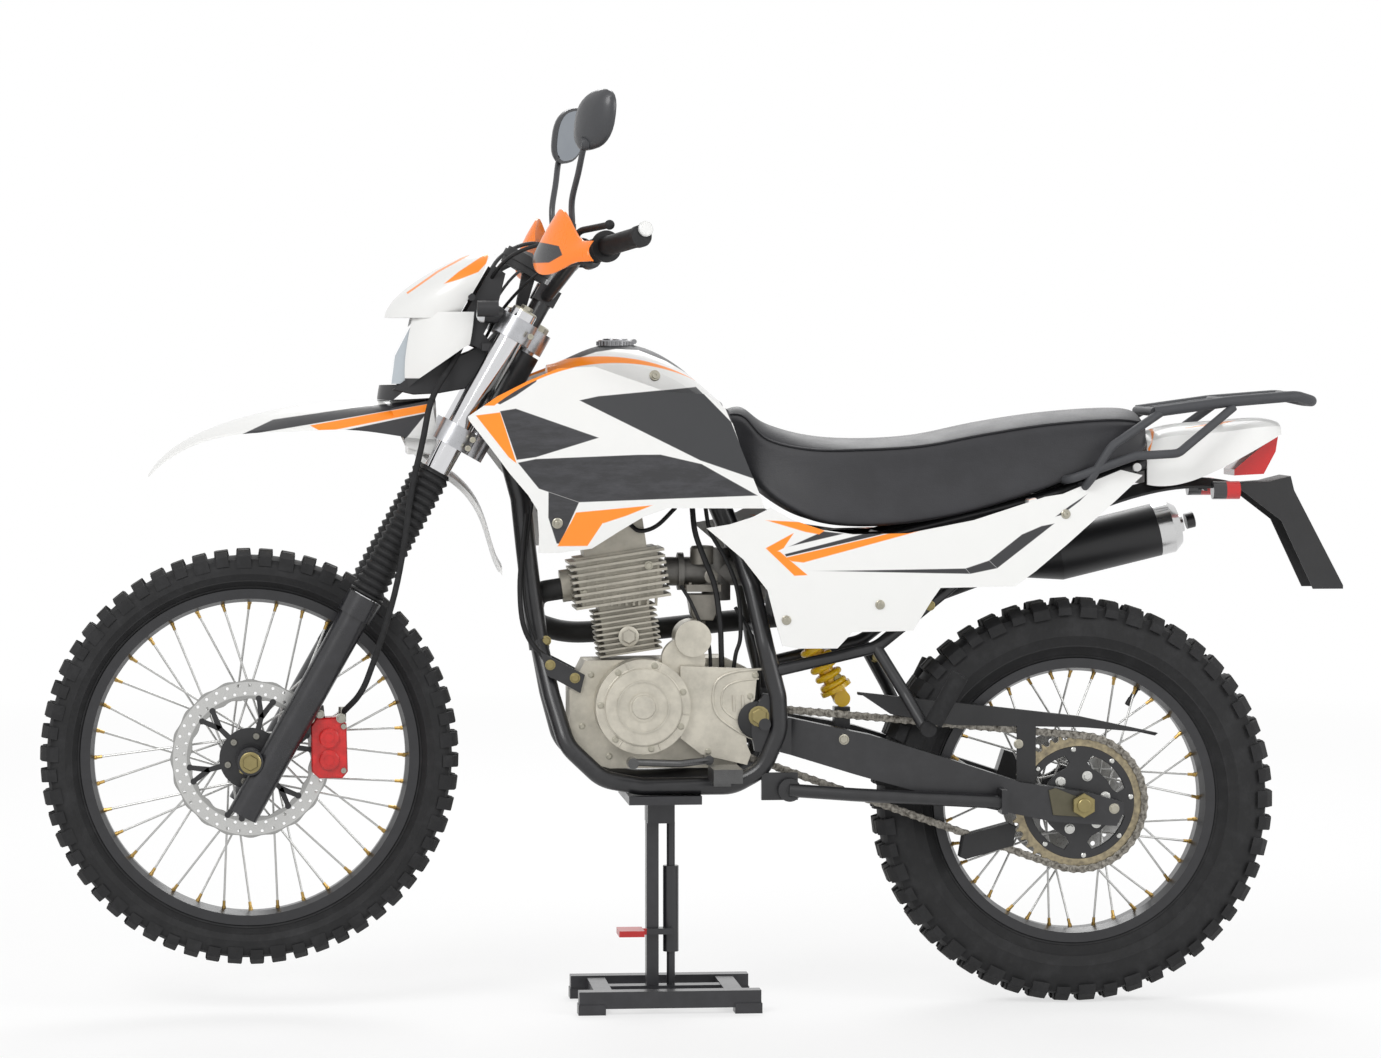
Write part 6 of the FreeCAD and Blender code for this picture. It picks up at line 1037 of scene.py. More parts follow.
def build_seat():
    """A foam saddle under stretched vinyl: crowned top, drawn-in sides, piping along each edge."""
    crown_rise = sizes().seat_crown
    rings = []
    seams = {-1: [], 1: []}
    sections = seat_sections()
    for number, (x, bottom, top, low, high, crown) in enumerate(sections):
        shoulder = top - crown
        rise = shoulder - bottom
        taper = min(1.0, number / 4, (len(sections) - 1 - number) / 3)
        pull = 0.004 * taper
        side = [(0.0, bottom), (low * 0.6, bottom), (low - 0.006, bottom), (low, bottom + 0.006)]
        for share, depth in ((0.3, 0.7), (0.55, 1.0), (0.78, 0.8)):
            side.append((low + (high - low) * share - pull * depth, bottom + rise * share))
        side.append((high + 0.0005, shoulder - rise * 0.06 - 0.002))
        side.append((high - 0.0035 * taper, shoulder + 0.001))
        for share in (0.93, 0.78, 0.55, 0.28):
            bulge = crown_rise * 0.25 * taper * (1 - share ** 2) * share
            side.append((high * share, top - crown * share ** 2 + bulge))
        side.append((0.0, top))
        ring = side + [(-y, z) for y, z in reversed(side[1:-1])]
        rings.append([Vector((x, y, z)) for y, z in ring])
        for way in (-1, 1):
            seams[way].append(Vector((x, way * (high - 0.0018 * taper), shoulder + 0.0012)))
    form = Form()
    form.rings(rings)
    vinyl = Surface("seat vinyl")
    pebble = vinyl.cells(0.0022, "SMOOTH_F1")
    crease = vinyl.noise(0.02, 5, place=vinyl.stretched((0.5, 1, 2)))
    shade = tuple(colours().vinyl)
    tone = vinyl.mixed(vinyl.spread(vinyl.noise(0.05, 6), 0.4, 0.75), shade, grown(shade, 1.45))
    relief = vinyl.bump(pebble * 0.35 + crease, 0.0006, 0.45)
    material = vinyl.finish(tone, vinyl.wear(0.1) + 0.5, normal=relief, specular=0.45)
    seat = form.finished("seat_cover", material, "chassis", "seat", 75)
    rounding = seat.modifiers.new("Rounding", "SUBSURF")
    rounding.levels = rounding.render_levels = 2
    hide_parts("seat")
    piping = Form()
    for way in (-1, 1):
        piping.tube(seams[way][1:-1], sizes().piping / 2, 8, 2)
    piping.finished("seat_piping", rubbery(Surface("piping vinyl"), grown(shade, 0.8), 0.5), "chassis",
                    "seat")
    stitches = Form()
    for way in (-1, 1):
        line = curve_through(seams[way][2:-2], 8)
        for one, two in zip(line[::2], line[1::2]):
            lift = Vector((0, -way * 0.0052, 0.0014))
            stitches.tube([one + lift, (one + two) / 2 + lift + Vector((0, 0, 0.0004)), two + lift], 0.0005,
                          5, 2)
    stitches.finished("seat_stitches", rubbery(Surface("seam thread"), linear(78, 78, 80), 0.7), "chassis",
                      "seat")


def side_spot(node, x, z, way=-1):
    """The outermost point of a node at a place in mm seen from one side, and the way its surface faces."""
    hit, spot, facing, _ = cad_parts[node].ray_cast(Vector((x * MM, way * 1.5, z * MM)),
                                                         Vector((0, -way, 0)))
    if not hit:
        raise ValueError("nothing of %s at %s, %s" % (node, x, z))
    if facing.y * way < 0:
        facing = -facing
    return spot, facing


def seen_spot(node, x, z):
    """The point of a node that covers a place in mm on the bike's centre plane in the main view."""
    eye = Vector(EYE)
    hit, spot, facing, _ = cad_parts[node].ray_cast(eye,
                                                         (Vector((x * MM, 0, z * MM)) - eye).normalized())
    if not hit:
        raise ValueError("nothing of %s seen at %s, %s" % (node, x, z))
    return spot, facing if facing.y < 0 else -facing


# body, slot, kind, width in mm, (node, x, z) places on the left, whether they are seen places or
# true ones, and whether they are mirrored to the right
FASTENERS = (
    ("chassis", "tank_shrouds", "button", 9, (("fuel_tank", -70, 1047), ("tank_shrouds", -232, 803)),
     "seen both"),
    ("chassis", "side_panels", "button", 8,
     (("side_panels", 307, 665), ("side_panels", 150, 640), ("side_panels", 620, 815)), "seen both"),
    ("chassis", "engine_covers", "hex", 8,
     tuple(("engine_covers", -98 + 70 * math.cos(a), 505 + 70 * math.sin(a))
                                                for a in (0.35, 1.3, 2.2, 3.1, 4.0, 4.9, 5.8)), "left"),
    ("chassis", "engine_covers", "hex", 8,
     (("engine_covers", 88, 555), ("engine_covers", 80, 520), ("engine_covers", 10, 430)), "left"),
    ("chassis", "crankcase", "hex", 8,
     (("crankcase", -180, 555), ("crankcase", -195, 470), ("crankcase", -150, 420),
                                       ("crankcase", -60, 410)), "left"),
    ("chassis", "cylinder_head", "hex", 10, (("cylinder_head", -190, 690), ("cylinder_head", -85, 735)),
     "left"),
    ("chassis", "main_frame", "hex", 14, (("main_frame", 102, 475),), "seen both"),
    ("chassis", "chain_guard", "button", 8, (("chain_guard", 541, 430),), "seen"),
    ("chassis", "swingarm", "hex", 12, (("swingarm", 247, 440), ("swingarm", 704, 320)), "seen both"),
)


def build_fasteners():
    """Screws and bolts set square on the surfaces that they hold."""
    groups = {}
    for body, slot, kind, width, places, both in FASTENERS:
        form = groups.setdefault((body, slot), Form())
        for node, x, z in places:
            spot, facing = seen_spot(node, x, z) if "seen" in both else side_spot(node, x, z)
            for way in (1, -1) if "both" in both else (1,):
                spot = Vector((spot.x, spot.y * way, spot.z))
                facing = Vector((facing.x, facing.y * way, facing.z))
                if kind == "hex":
                    form.hex_bolt(spot - facing * 0.0004, facing, width * MM)
                else:
                    form.turned([(width * MM, -0.0006), (width * MM, 0.0012), (width * 0.86 * MM, 0.002)],
                                spot, facing, 16)
                    form.socket_bolt(spot + facing * 0.0014, facing, width * 0.6 * MM, width * 0.4 * MM)
    zinc = machined(Surface("fastener zinc"), linear(176, 172, 158), 0.34, 0.9)
    for (body, slot), form in groups.items():
        form.finished(slot + "_bolts", zinc, body, slot)


def build_axle_nuts():
    """Castle nut and plate behind, spindle and pinch bolts in front."""
    x, z = WHEELS["rear"]["centre"]
    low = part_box("rear_axle")[0][1]
    rear = Form()
    rear.turned([(0.0205, 0.003), (0.0205, -0.001), (0.0195, -0.002)], (x, low, z), (0, 1, 0), 6)
    rear.turned([(0.0115, 0.0), (0.0115, -0.006), (0.01, -0.007)], (x, low, z), (0, 1, 0), 20)
    rear.finished("rear_axle_nut", machined(Surface("axle nut zinc"), tuple(colours().zinc), 0.36, 0.85),
                  "chassis", "rear_axle")
    fx, fz = WHEELS["front"]["centre"]
    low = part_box("front_axle")[0][1]
    front = Form()
    front.turned([(0.0135, 0.004), (0.0135, -0.004), (0.0118, -0.006)], (fx, low, fz), (0, 1, 0), 6)
    front.turned([(0.0175, 0.006), (0.0175, 0.0), (0.016, -0.001)], (fx, low, fz), (0, 1, 0), 24)
    rake = math.radians(29.4)
    down = Vector((-math.sin(rake), 0, -math.cos(rake)))
    ahead = Vector((-math.cos(rake), 0, math.sin(rake)))
    for side in (-1, 1):
        for step in (-0.011, 0.011):
            spot = Vector((fx, side * 0.1, fz)) + down * 0.018 + Vector((0, step, 0)) + ahead * 0.004
            front.socket_bolt(spot, down, 0.0048)
    front.finished("front_axle_bolts",
                   machined(Surface("front axle zinc"), tuple(colours().zinc), 0.36,
                            0.85), "steering", "front_axle")


def on_fork(ahead, up, y):
    """A place in metres from fork coordinates in mm: ahead of the axle's line, and up along the rake."""
    rake = math.radians(29.4)
    return Vector((-739.5 + ahead * math.cos(rake) + up * math.sin(rake), y,
                   421 - ahead * math.sin(rake) + up * math.cos(rake))) * MM


def build_fork_details():
    """Pinch bolts and caps on the clamps, wiper rings on the legs, and clips round the gaiters."""
    rake = math.radians(29.4)
    up = Vector((math.sin(rake), 0, math.cos(rake)))
    bright = Form()
    for side in (-1, 1):
        for level, count in ((625, 2), (825, 1)):
            for step in range(count):
                spot = on_fork(32 + 26, level - 8 + 16 * step if count == 2 else level, side * 133)
                bright.socket_bolt(spot - Vector((0, side * 0.004, 0)), (0, side, 0), 0.0052)
        cap = on_fork(32, 856, side * 100)
        bright.turned([(0.021, -0.002), (0.021, 0.002), (0.019, 0.004), (0.011, 0.0045)], cap, up, 24)
        bright.turned([(0.0105, 0.004), (0.0105, 0.009), (0.009, 0.0105)], cap, up, 6)
    bright.turned([(0.017, 0.0), (0.017, 0.009), (0.0145, 0.011)], on_fork(70, 843, 0), up, 6)
    bright.finished("clamp_bolts", machined(Surface("clamp bolt zinc"), linear(186, 182, 166), 0.32, 0.9),
                    "steering", "triple_clamps")
    rings = Form()
    for side in (-1, 1):
        for level, radius, high in ((320, 0.0272, 0.008), (330, 0.0292, 0.004), (556, 0.0262, 0.004)):
            rings.turned([(radius - 0.001, -high / 2), (radius, -high / 2 + 0.001),
                          (radius, high / 2 - 0.001), (radius - 0.001, high / 2)],
                         on_fork(32, level, side * 100), up, 32)
    rings.finished("fork_rings", rubbery(Surface("wiper rubber"), linear(24, 24, 25), 0.5), "steering",
                   "fork_gaiters")


def build_cables():
    """Clutch, throttle and switch cables from the bar to the headlight's back, all turning with the fork."""
    form = Form()
    form.tube(at_mm((-214, -196, 1262), (-262, -172, 1262), (-318, -120, 1240), (-352, -60, 1190),
                    (-360, -36, 1130)), 0.0034)
    form.tube(at_mm((-206, -214, 1262), (-250, -176, 1232), (-292, -110, 1196), (-330, -60, 1150),
                    (-352, -40, 1110)), 0.0026)
    form.tube(at_mm((-214, 196, 1262), (-270, 168, 1268), (-322, 110, 1242), (-350, 50, 1190),
                    (-358, 30, 1130)), 0.0034)
    form.tube(at_mm((-206, 214, 1262), (-256, 178, 1240), (-300, 104, 1210), (-338, 50, 1160),
                    (-354, 34, 1118)), 0.0026)
    form.finished("control_cables", rubbery(Surface("cable sheath"), linear(22, 22, 23), 0.5), "steering",
                  "hand_controls")


def build_bar_ends():
    """White plugs in the grips' ends."""
    plugs = Form()
    for side in (-1, 1):
        start, stop = Vector((-0.183, side * 0.275, 1.241)), Vector((-0.129, side * 0.395, 1.268))
        out = (stop - start).normalized()
        tip = end_of("hand_controls", side, out)
        plugs.turned([(0.0125, -0.001), (0.0125, 0.003), (0.0105, 0.0048)], tip, out, 20)
    plugs.finished("bar_plugs", moulded(Surface("bar plug plastic"), linear(222, 222, 220), 0.4),
                   "steering", "hand_controls")


def end_of(node, side, out):
    """The middle of a node's end face, on one side and farthest in a direction."""
    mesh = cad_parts[node].data
    spots = [vertex.co.copy() for vertex in mesh.vertices if vertex.co.y * side > 0.3]
    far = max(spot.dot(out) for spot in spots)
    low = Vector([1e9] * 3)
    high = Vector([-1e9] * 3)
    for spot in spots:
        if spot.dot(out) > far - 0.0006:
            low = Vector(map(min, low, spot))
            high = Vector(map(max, high, spot))
    return (low + high) / 2


def build_hose_ends():
    """The brake hose's last stretch into the right lever, and its metal ends at lever and caliper."""
    hose = Form()
    hose.tube([(-0.2369, 0.1770, 1.2432), (-0.2374, 0.1920, 1.2470), (-0.2355, 0.2050, 1.2530),
               (-0.2325, 0.2165, 1.2575)], 0.0049, 12)
    hose.finished("hose_top", rubbery(Surface("hose rubber"), linear(24, 24, 25), 0.5), "steering",
                  "brake_hose")
    ends = Form()
    ends.tube([(-0.2360, 0.2030, 1.2520), (-0.2325, 0.2165, 1.2575)], 0.0062, 12, 1)
    ends.tube([(-0.5894, -0.0640, 0.5060), (-0.5894, -0.0640, 0.4820)], 0.0066, 12, 1)
    ends.finished("hose_ferrules", machined(Surface("ferrule zinc"), linear(176, 174, 166), 0.3),
                  "steering", "brake_hose")


def build_guards():
    """Orange shells round the hands, with a black insert and black stays to the bar."""
    form = Form()
    stays = Form()
    columns, levels = 12, 8
    wall = 0.0032
    for side in (-1, 1):
        faces_out = []
        for column in range(columns + 1):
            across = column / columns
            low = 1.224 - 0.017 * math.sin(math.pi * min(1, across * 1.25)) + 0.006 * across
            high = 1.262 + 0.052 * math.sin(math.pi * min(1.0, across * 1.05 + 0.12)) ** 1.5
            high = max(high, low + 0.02)
            front = -0.286 + 0.083 * across ** 1.8
            y = side * (0.243 + 0.142 * across)
            row = []
            for level in range(levels + 1):
                share = level / levels
                lean = 0.03 * share ** 1.4 * (1 - across ** 2)
                belly = -0.008 * math.sin(math.pi * share)
                row.append(Vector((front + lean + belly, y, low + (high - low) * share)))
            faces_out.append(row)
        outer = [spot for row in faces_out for spot in row]
        inner = [spot + Vector((wall, -side * wall * 0.6, 0)) for spot in outer]
        count = len(outer)
        stride = levels + 1
        faces = []
        for column in range(columns):
            for level in range(levels):
                a = column * stride + level
                faces.append((a, a + 1, a + stride + 1, a + stride))
                faces.append((a + count, a + count + stride, a + count + stride + 1, a + count + 1))
        rim = ([column * stride for column in range(columns + 1)]
               + [columns * stride + level for level in range(1, levels + 1)]
               + [column * stride + levels for column in range(columns - 1, -1,
                                                               -1)] + list(range(levels - 1, 0, -1)))
        for one, two in zip(rim, rim[1:] + rim[:1]):
            faces.append((one, two, two + count, one + count))
        form.skin(outer + inner, faces)
        stays.tube([(-0.2, side * 0.236, 1.236), (-0.236, side * 0.246, 1.228),
                    (-0.272, side * 0.262, 1.238)], 0.0062, 10)
        stays.turned([(0.0185, -0.006), (0.0185, 0.006), (0.0165, 0.0072)], (-0.196, side * 0.24, 1.2375),
                     (0.4, side, 0.2), 20)
    paint = Surface("handguard plastic")
    insert = shapes(paint, 330,
                    ((-330, 1250), (-289, 1267), (-270, 1272), (-229, 1261), (-224, 1246), (-244, 1234),
                     (-330, 1234)))
    tone = paint.mixed(insert, tuple(colours().guard), linear(44, 44, 46))
    shells = form.finished("guard_shells", moulded(paint, tone, 0.3), "steering", "handguards", 50)
    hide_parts("handguards")
    stays.finished("guard_stays", enamelled(Surface("guard stay enamel"), linear(28, 28, 30)), "steering",
                   "handguards")


def build_mirrors():
    """Rounded shells with a bevelled rim and the glass set in."""
    shells = Form()
    glass = Form()
    for side in (-1, 1):
        middle = Vector((-0.193, side * 0.302, 1.4555))
        back = Vector((-0.8, side * 0.6, 0.04)).normalized()
        wide = Vector((0, 0, 1)).cross(back).normalized()
        tall = back.cross(wide).normalized()
        outline = []
        for step in range(28):
            angle = 2 * math.pi * step / 28
            across = abs(math.cos(angle)) ** 0.75 * math.copysign(1, math.cos(angle))
            up = abs(math.sin(angle)) ** 0.8 * math.copysign(1, math.sin(angle))
            outline.append((0.046 * across + 0.006 * up * -side, 0.047 * up + 0.007 * across * -side))
        rings = []
        for deep, size in ((0.0, 0.93), (0.001, 1.0), (0.006, 1.0), (0.012, 0.9), (0.017, 0.66),
                           (0.02, 0.34), (0.021, 0.06)):
            rings.append([middle + back * (deep - 0.006) + wide * x * size + tall * z * size for x,
                          z in outline])
        shells.rings(rings)
        glass.rings([[middle - back * 0.0064 + wide * x * size + tall * z * size for x,
                      z in outline] for size in (0.9,)]
                    + [[middle - back * 0.0072 + wide * x * size + tall * z * size for x,
                        z in outline] for size in (0.88,)])
        knee = Vector((-0.224, side * 0.24, 1.33))
        shells.tube([(-0.222, side * 0.23, 1.266), (-0.2235, side * 0.2345, 1.296), knee,
                     (-0.216, side * 0.268, 1.372),
                     (-0.209, side * 0.294, 1.412), (-0.2, side * 0.3, 1.43)], 0.0052, 10)
        shells.turned([(0.0085, 0.0), (0.0085, 0.012), (0.0062, 0.014), (0.0062, 0.03)],
                      (-0.222, side * 0.23, 1.262), (-0.02, side * 0.1, 1), 6)
        shells.turned([(0.0105, -0.006), (0.0115, 0.0), (0.0105, 0.006)], (-0.207, side * 0.296, 1.418),
                      (1, 0, 0), 14)
    piece = shells.finished("mirror_shells",
                            moulded(Surface("mirror shell plastic"), linear(52, 53, 56),
                                    0.42), "steering", "mirrors", 40)
    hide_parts("mirrors")
    silver = Surface("mirror glass")
    tint = silver.mixed(silver.noise(0.05, 3), linear(150, 155, 160), linear(136, 141, 148))
    glass.finished("mirror_glass", silver.finish(tint, silver.wear(0.02) + 0.06, 1.0), "steering",
                   "mirrors")


def build_gaiters():
    """Pleated rubber boots on the fork tubes, with a clip at each end."""
    rake = math.radians(29.4)
    up = Vector((math.sin(rake), 0, math.cos(rake)))
    form = Form()
    start, stop = 0.3255, 0.561
    pleats = 17
    for side in (-1, 1):
        profile = [(0.0222, start)]
        for pleat in range(pleats):
            base = start + 0.006 + (stop - start - 0.014) * pleat / pleats
            step = (stop - start - 0.014) / pleats
            profile += [(0.0232, base), (0.0272, base + step * 0.36), (0.0282, base + step * 0.5),
                        (0.0272, base + step * 0.64)]
        profile += [(0.0232, stop - 0.008), (0.0243, stop - 0.007), (0.0243, stop - 0.001), (0.0222, stop)]
        base = on_fork(32, 0, side * 100)
        form.turned(profile, base, up, 36)
    boots = form.finished("fork_boots", rubbery(Surface("boot rubber"), linear(26, 26, 27), 0.62),
                          "steering", "fork_gaiters", 60)
    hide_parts("fork_gaiters")


def build_fuel_cap():
    """A low hinged cap with a knurled rim."""
    low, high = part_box("fuel_cap")
    x = (low[0] + high[0]) / 2
    base = low[2]
    cap = Form()
    cap.turned([(0.0295, -0.004), (0.0295, 0.0035), (0.027, 0.0055), (0.0255, 0.0055)], (x, 0, base),
               (0, 0, 1), 40)
    for step in range(28):
        angle = 2 * math.pi * step / 28
        cap.turned([(0.0016, -0.0035), (0.0016, 0.0032)],
                   (x + 0.0295 * math.cos(angle), 0.0295 * math.sin(angle), base), (0, 0, 1), 6)
    cap.turned([(0.021, 0.005), (0.0205, 0.0075), (0.015, 0.0085)], (x, 0, base), (0, 0, 1), 32)
    cap.turned([(0.0042, -0.012), (0.0042, 0.012)], (x + 0.031, 0, base + 0.003), (0, 1, 0), 12)
    piece = cap.finished("filler_cap", machined(Surface("filler cap chrome"), linear(150, 150, 152), 0.3),
                         "chassis", "fuel_cap")
    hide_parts("fuel_cap")


def build_front_caliper():
    """The two-piston caliper in red, its black bracket, bolts and the hose's banjo."""
    body = Form()
    outline = [(-641, 478), (-632, 490), (-600, 491), (-583, 480), (-581, 402), (-590, 391), (-628, 391),
               (-640, 402)]
    body.plate(outline, -89.5, -52, 3)
    body.plate([(-634, 470), (-590, 470), (-590, 410), (-634, 410)], -40, -34, 1.5)
    for z in (0.457, 0.421):
        body.turned([(0.0165, 0.0), (0.0165, -0.004), (0.0145, -0.0055), (0.009, -0.0055), (0.009, -0.004)],
                    (-0.6115, -0.0893, z), (0, 1, 0), 24)
    red = Surface("caliper enamel")
    piece = body.finished("caliper_body", enamelled(red, tuple(colours().red), 0.3), "steering",
                          "front_caliper")
    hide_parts("front_caliper")
    dark = Form()
    dark.plate([(-664, 506), (-652, 513), (-620, 509), (-616, 470), (-640, 462), (-662, 468)], -86, -62,
               1.5)
    dark.plate([(-700, 470), (-690, 478), (-640, 505), (-638, 480), (-680, 445)], -84, -70, 1)
    dark.finished("caliper_bracket", enamelled(Surface("bracket enamel"), linear(26, 26, 28), 0.34),
                  "steering", "front_caliper")
    bolts = Form()
    for x, z in ((-642, 488), (-626, 496)):
        bolts.hex_bolt((x * MM, -0.0862, z * MM), (0, -1, 0), 0.01)
    for x, z in ((-588, 476), (-588, 404)):
        bolts.socket_bolt((x * MM, -0.0895, z * MM), (0, -1, 0), 0.0048)
    bolts.hex_bolt((-0.592, -0.092, 0.4895), (0, -1, 0), 0.011)
    bolts.turned([(0.008, 0.0), (0.008, -0.0045)], (-0.592, -0.0885, 0.4895), (0, 1, 0), 16)
    bolts.finished("caliper_bolts", machined(Surface("caliper bolt zinc"), linear(170, 168, 158), 0.32),
                   "steering", "front_caliper")


def build_cowl_backing():
    """The black housing under the headlight, between cowl and fork, and the turn signals beside it."""
    form = Form()
    outline = brought(((-505, 1024), (-479, 1044), (-428, 1067), (-374, 1088), (-345, 1104), (-322, 1128),
                       (-330, 1112), (-346, 1079),
                       (-384, 1026), (-430, 1018), (-470, 1016)), 40)
    form.plate(outline, -62, 62, 2)
    form.finished("headlight_housing", textured(Surface("housing plastic"), linear(30, 30, 32), 0.5),
                  "steering", "front_lamps")
    signals = Form()
    lenses = Form()
    for side in (-1, 1):
        signals.turned([(0.0, 0.0), (0.010, 0.001), (0.014, 0.01), (0.0155, 0.024), (0.0155, 0.032)],
                       (-0.325, side * 0.105, 1.147), (-1, 0, 0.08), 20)
        signals.turned([(0.006, 0.0), (0.006, 0.05)], (-0.34, side * 0.055, 1.145), (0, side, 0), 12)
        lenses.turned([(0.0152, 0.0), (0.015, 0.006), (0.012, 0.011), (0.006, 0.0135)],
                      (-0.357, side * 0.105, 1.1495), (-1, 0, 0.08), 20)
    signals.finished("signal_bodies", textured(Surface("signal plastic"), linear(28, 28, 30), 0.45),
                     "steering", "front_lamps")
    clear = Surface("signal lens")
    ribs = clear.noise(0.002, 1, place=clear.stretched((1, 0.1, 1)))
    lenses.finished("signal_lenses",
                    clear.finish(linear(222, 224, 226), clear.wear(0.03) + 0.12, coat=0.8, coat_rough=0.03,
                                                  normal=clear.bump(ribs, 0.0002,
                                                                    0.6)), "steering", "front_lamps")


def build_engine_covers():
    """Raised ribs and slots on the covers, the grille on the head, the pivot's cover and nuts."""
    cast = Form()
    face = -0.1071
    cast.turned([(0.0435, 0.0), (0.0435, -0.0016), (0.0405, -0.0016), (0.0405, 0.0)], (-0.098, face, 0.505),
                (0, 1, 0), 56, closed=True)
    cast.turned([(0.0195, 0.0), (0.0195, -0.0052), (0.0182, -0.0062), (0.0, -0.0062)],
                (-0.098, face, 0.505), (0, 1, 0), 32)
    cast.turned([(0.0665, 0.006), (0.0665, 0.0), (0.0645, -0.0014), (0.062, -0.0014), (0.062, 0.006)],
                (-0.098, -0.1016, 0.505), (0, 1, 0), 64, closed=True)
    for degrees in (68, 112, 176, 238, 292, 350):
        angle = math.radians(degrees)
        along = Vector((math.cos(angle), 0, math.sin(angle)))
        cast.tube([Vector((-0.098, -0.1022, 0.505)) + along * 0.0665,
                   Vector((-0.098, -0.1022, 0.505)) + along * 0.0765], 0.0014, 6, 1)
    back = side_spot("engine_covers", 50, 545)[0].y
    ridge = at_mm(*[(x, back / MM, z) for x,
                    z in ((98, 565), (52, 560), (24, 545), (18, 512), (28, 486), (60, 462), (84, 450))])
    cast.tube(ridge, 0.0022, 8)
    inner = at_mm(*[(x, back / MM, z) for x,
                    z in ((94, 549), (60, 545), (38, 534), (32, 512), (40, 494), (66, 476), (84, 467))])
    cast.tube(inner, 0.0016, 8)
    for x in (52, 67, 82):
        cast.tube(at_mm((x, back / MM, 522), (x + 1, back / MM, 496)), 0.0026, 8, 2)
    cast.finished("cover_ribs", cast_alloy(Surface("rib casting"), tuple(colours().cast), 0.42, 0.4),
                  "chassis", "engine_covers")
    grille = Form()
    side_y = side_spot("cylinder_head", -130, 700)[0].y / MM
    for x, low, high in ((-186, 668, 742), (-172, 668, 742), (-158, 668, 742), (-100, 668, 742),
                         (-86, 668, 742), (-72, 668, 742)):
        grille.plate([(x - 2, low), (x + 2, low), (x + 2 + 4, high), (x - 2 + 4, high)], side_y - 1.2,
                     side_y + 9, 0.5)
    for x in (-145, -133, -121, -109):
        grille.plate([(x - 2, 668), (x + 2, 668), (x + 3, 690), (x - 1, 690)], side_y - 1.2, side_y + 9,
                     0.5)
    grille.turned([(0.013, 0.0), (0.013, -0.007), (0.0105, -0.009), (0.0, -0.009)],
                  (-0.118, side_spot("cylinder", -118, 618)[0].y, 0.618), (0, 1, 0), 6)
    grille.turned([(0.017, 0.0), (0.017, -0.004), (0.015, -0.005)],
                  (-0.118, side_spot("cylinder", -118, 618)[0].y, 0.618), (0, 1, 0), 24)
    grille.finished("head_grille",
                    cast_alloy(Surface("grille casting"), grown(tuple(colours().cast), 0.9),
                               0.5), "chassis", "cylinder_head")
    dark = Form()
    pivot = seen_spot("main_frame", 104, 480)[0]
    dark.turned([(0.031, 0.0), (0.031, -0.004), (0.0285, -0.0055)], (0.09, -0.0885, 0.481), (0, 1, 0), 32)
    dark.finished("pivot_cover", textured(Surface("pivot cover plastic"), linear(26, 26, 27)), "chassis",
                  "main_frame")
    nut = Form()
    nut.hex_bolt((pivot.x, pivot.y + 0.001, pivot.z), (0, -1, 0), 0.024)
    for x, z in ((-251, 608), (-244, 568), (-203, 546)):
        nut.hex_bolt(seen_spot("main_frame", x, z)[0], (0, -1, 0), 0.012)
    nut.finished("frame_nuts", machined(Surface("frame nut zinc"), tuple(colours().zinc), 0.36, 0.85),
                 "chassis", "main_frame")


def build_wiring():
    """The harness down the front tube, the plug lead and the hoses round the carburettor."""
    form = Form()
    form.tube(at_mm((-285, -34, 820), (-292, -40, 760), (-297, -44, 700), (-292, -46, 640),
                    (-272, -40, 600), (-236, -36, 572), (-205, -30, 552)), 0.0042)
    form.tube(at_mm((-275, -30, 840), (-284, -36, 780), (-290, -38, 720), (-286, -40, 660),
                    (-270, -36, 612)), 0.0028)
    form.tube(at_mm((-12, -40, 836), (-8, -52, 790), (6, -58, 748), (24, -60, 700), (32, -66, 640),
                    (34, -66, 596), (36, -58, 556)), 0.0048)
    form.tube(at_mm((10, -34, 836), (18, -46, 790), (44, -56, 742), (62, -60, 690), (66, -66, 620),
                    (58, -66, 588), (54, -58, 552)), 0.0036)
    form.tube(at_mm((-30, -36, 700), (-16, -50, 676), (0, -56, 640), (14, -60, 606), (18, -56, 560)), 0.003)
    form.tube(at_mm((60, -40, 664), (80, -56, 630), (92, -66, 590), (96, -70, 540), (100, -60, 450)),
              0.0032)
    form.tube(at_mm((-118, -40, 806), (-100, -50, 792), (-72, -54, 800), (-40, -50, 830)), 0.0036)
    form.finished("wiring", rubbery(Surface("harness sleeve"), linear(22, 22, 23), 0.55), "chassis",
                  "main_frame")
    bowl = Form()
    bowl.plate([(-18, 686), (34, 686), (30, 652), (24, 642), (-6, 642), (-12, 652)], -34, 8, 2)
    bowl.plate([(-22, 702), (38, 702), (38, 690), (-22, 690)], -38, 12, 1.5)
    bowl.turned([(0.0205, 0.0), (0.0205, 0.026), (0.0175, 0.03), (0.009, 0.031)], (0.008, -0.012, 0.735),
                (0, 0, 1), 28)
    for x in (-14, 30):
        for y in (-33, 7):
            bowl.socket_bolt((x * MM, y * MM, 0.7015), (0, 0, 1), 0.0034)
    bowl.turned([(0.006, 0.0), (0.006, 0.006), (0.005, 0.008)], (0.008, -0.012, 0.642), (0, 0, -1), 6)
    bowl.turned([(0.0115, 0.0), (0.0115, 0.004), (0.0095, 0.005)], (0.02, -0.0375, 0.716), (0, -1, 0), 18)
    bowl.finished("float_bowl", cast_alloy(Surface("bowl casting"), linear(138, 134, 126), 0.4), "chassis",
                  "carburettor")


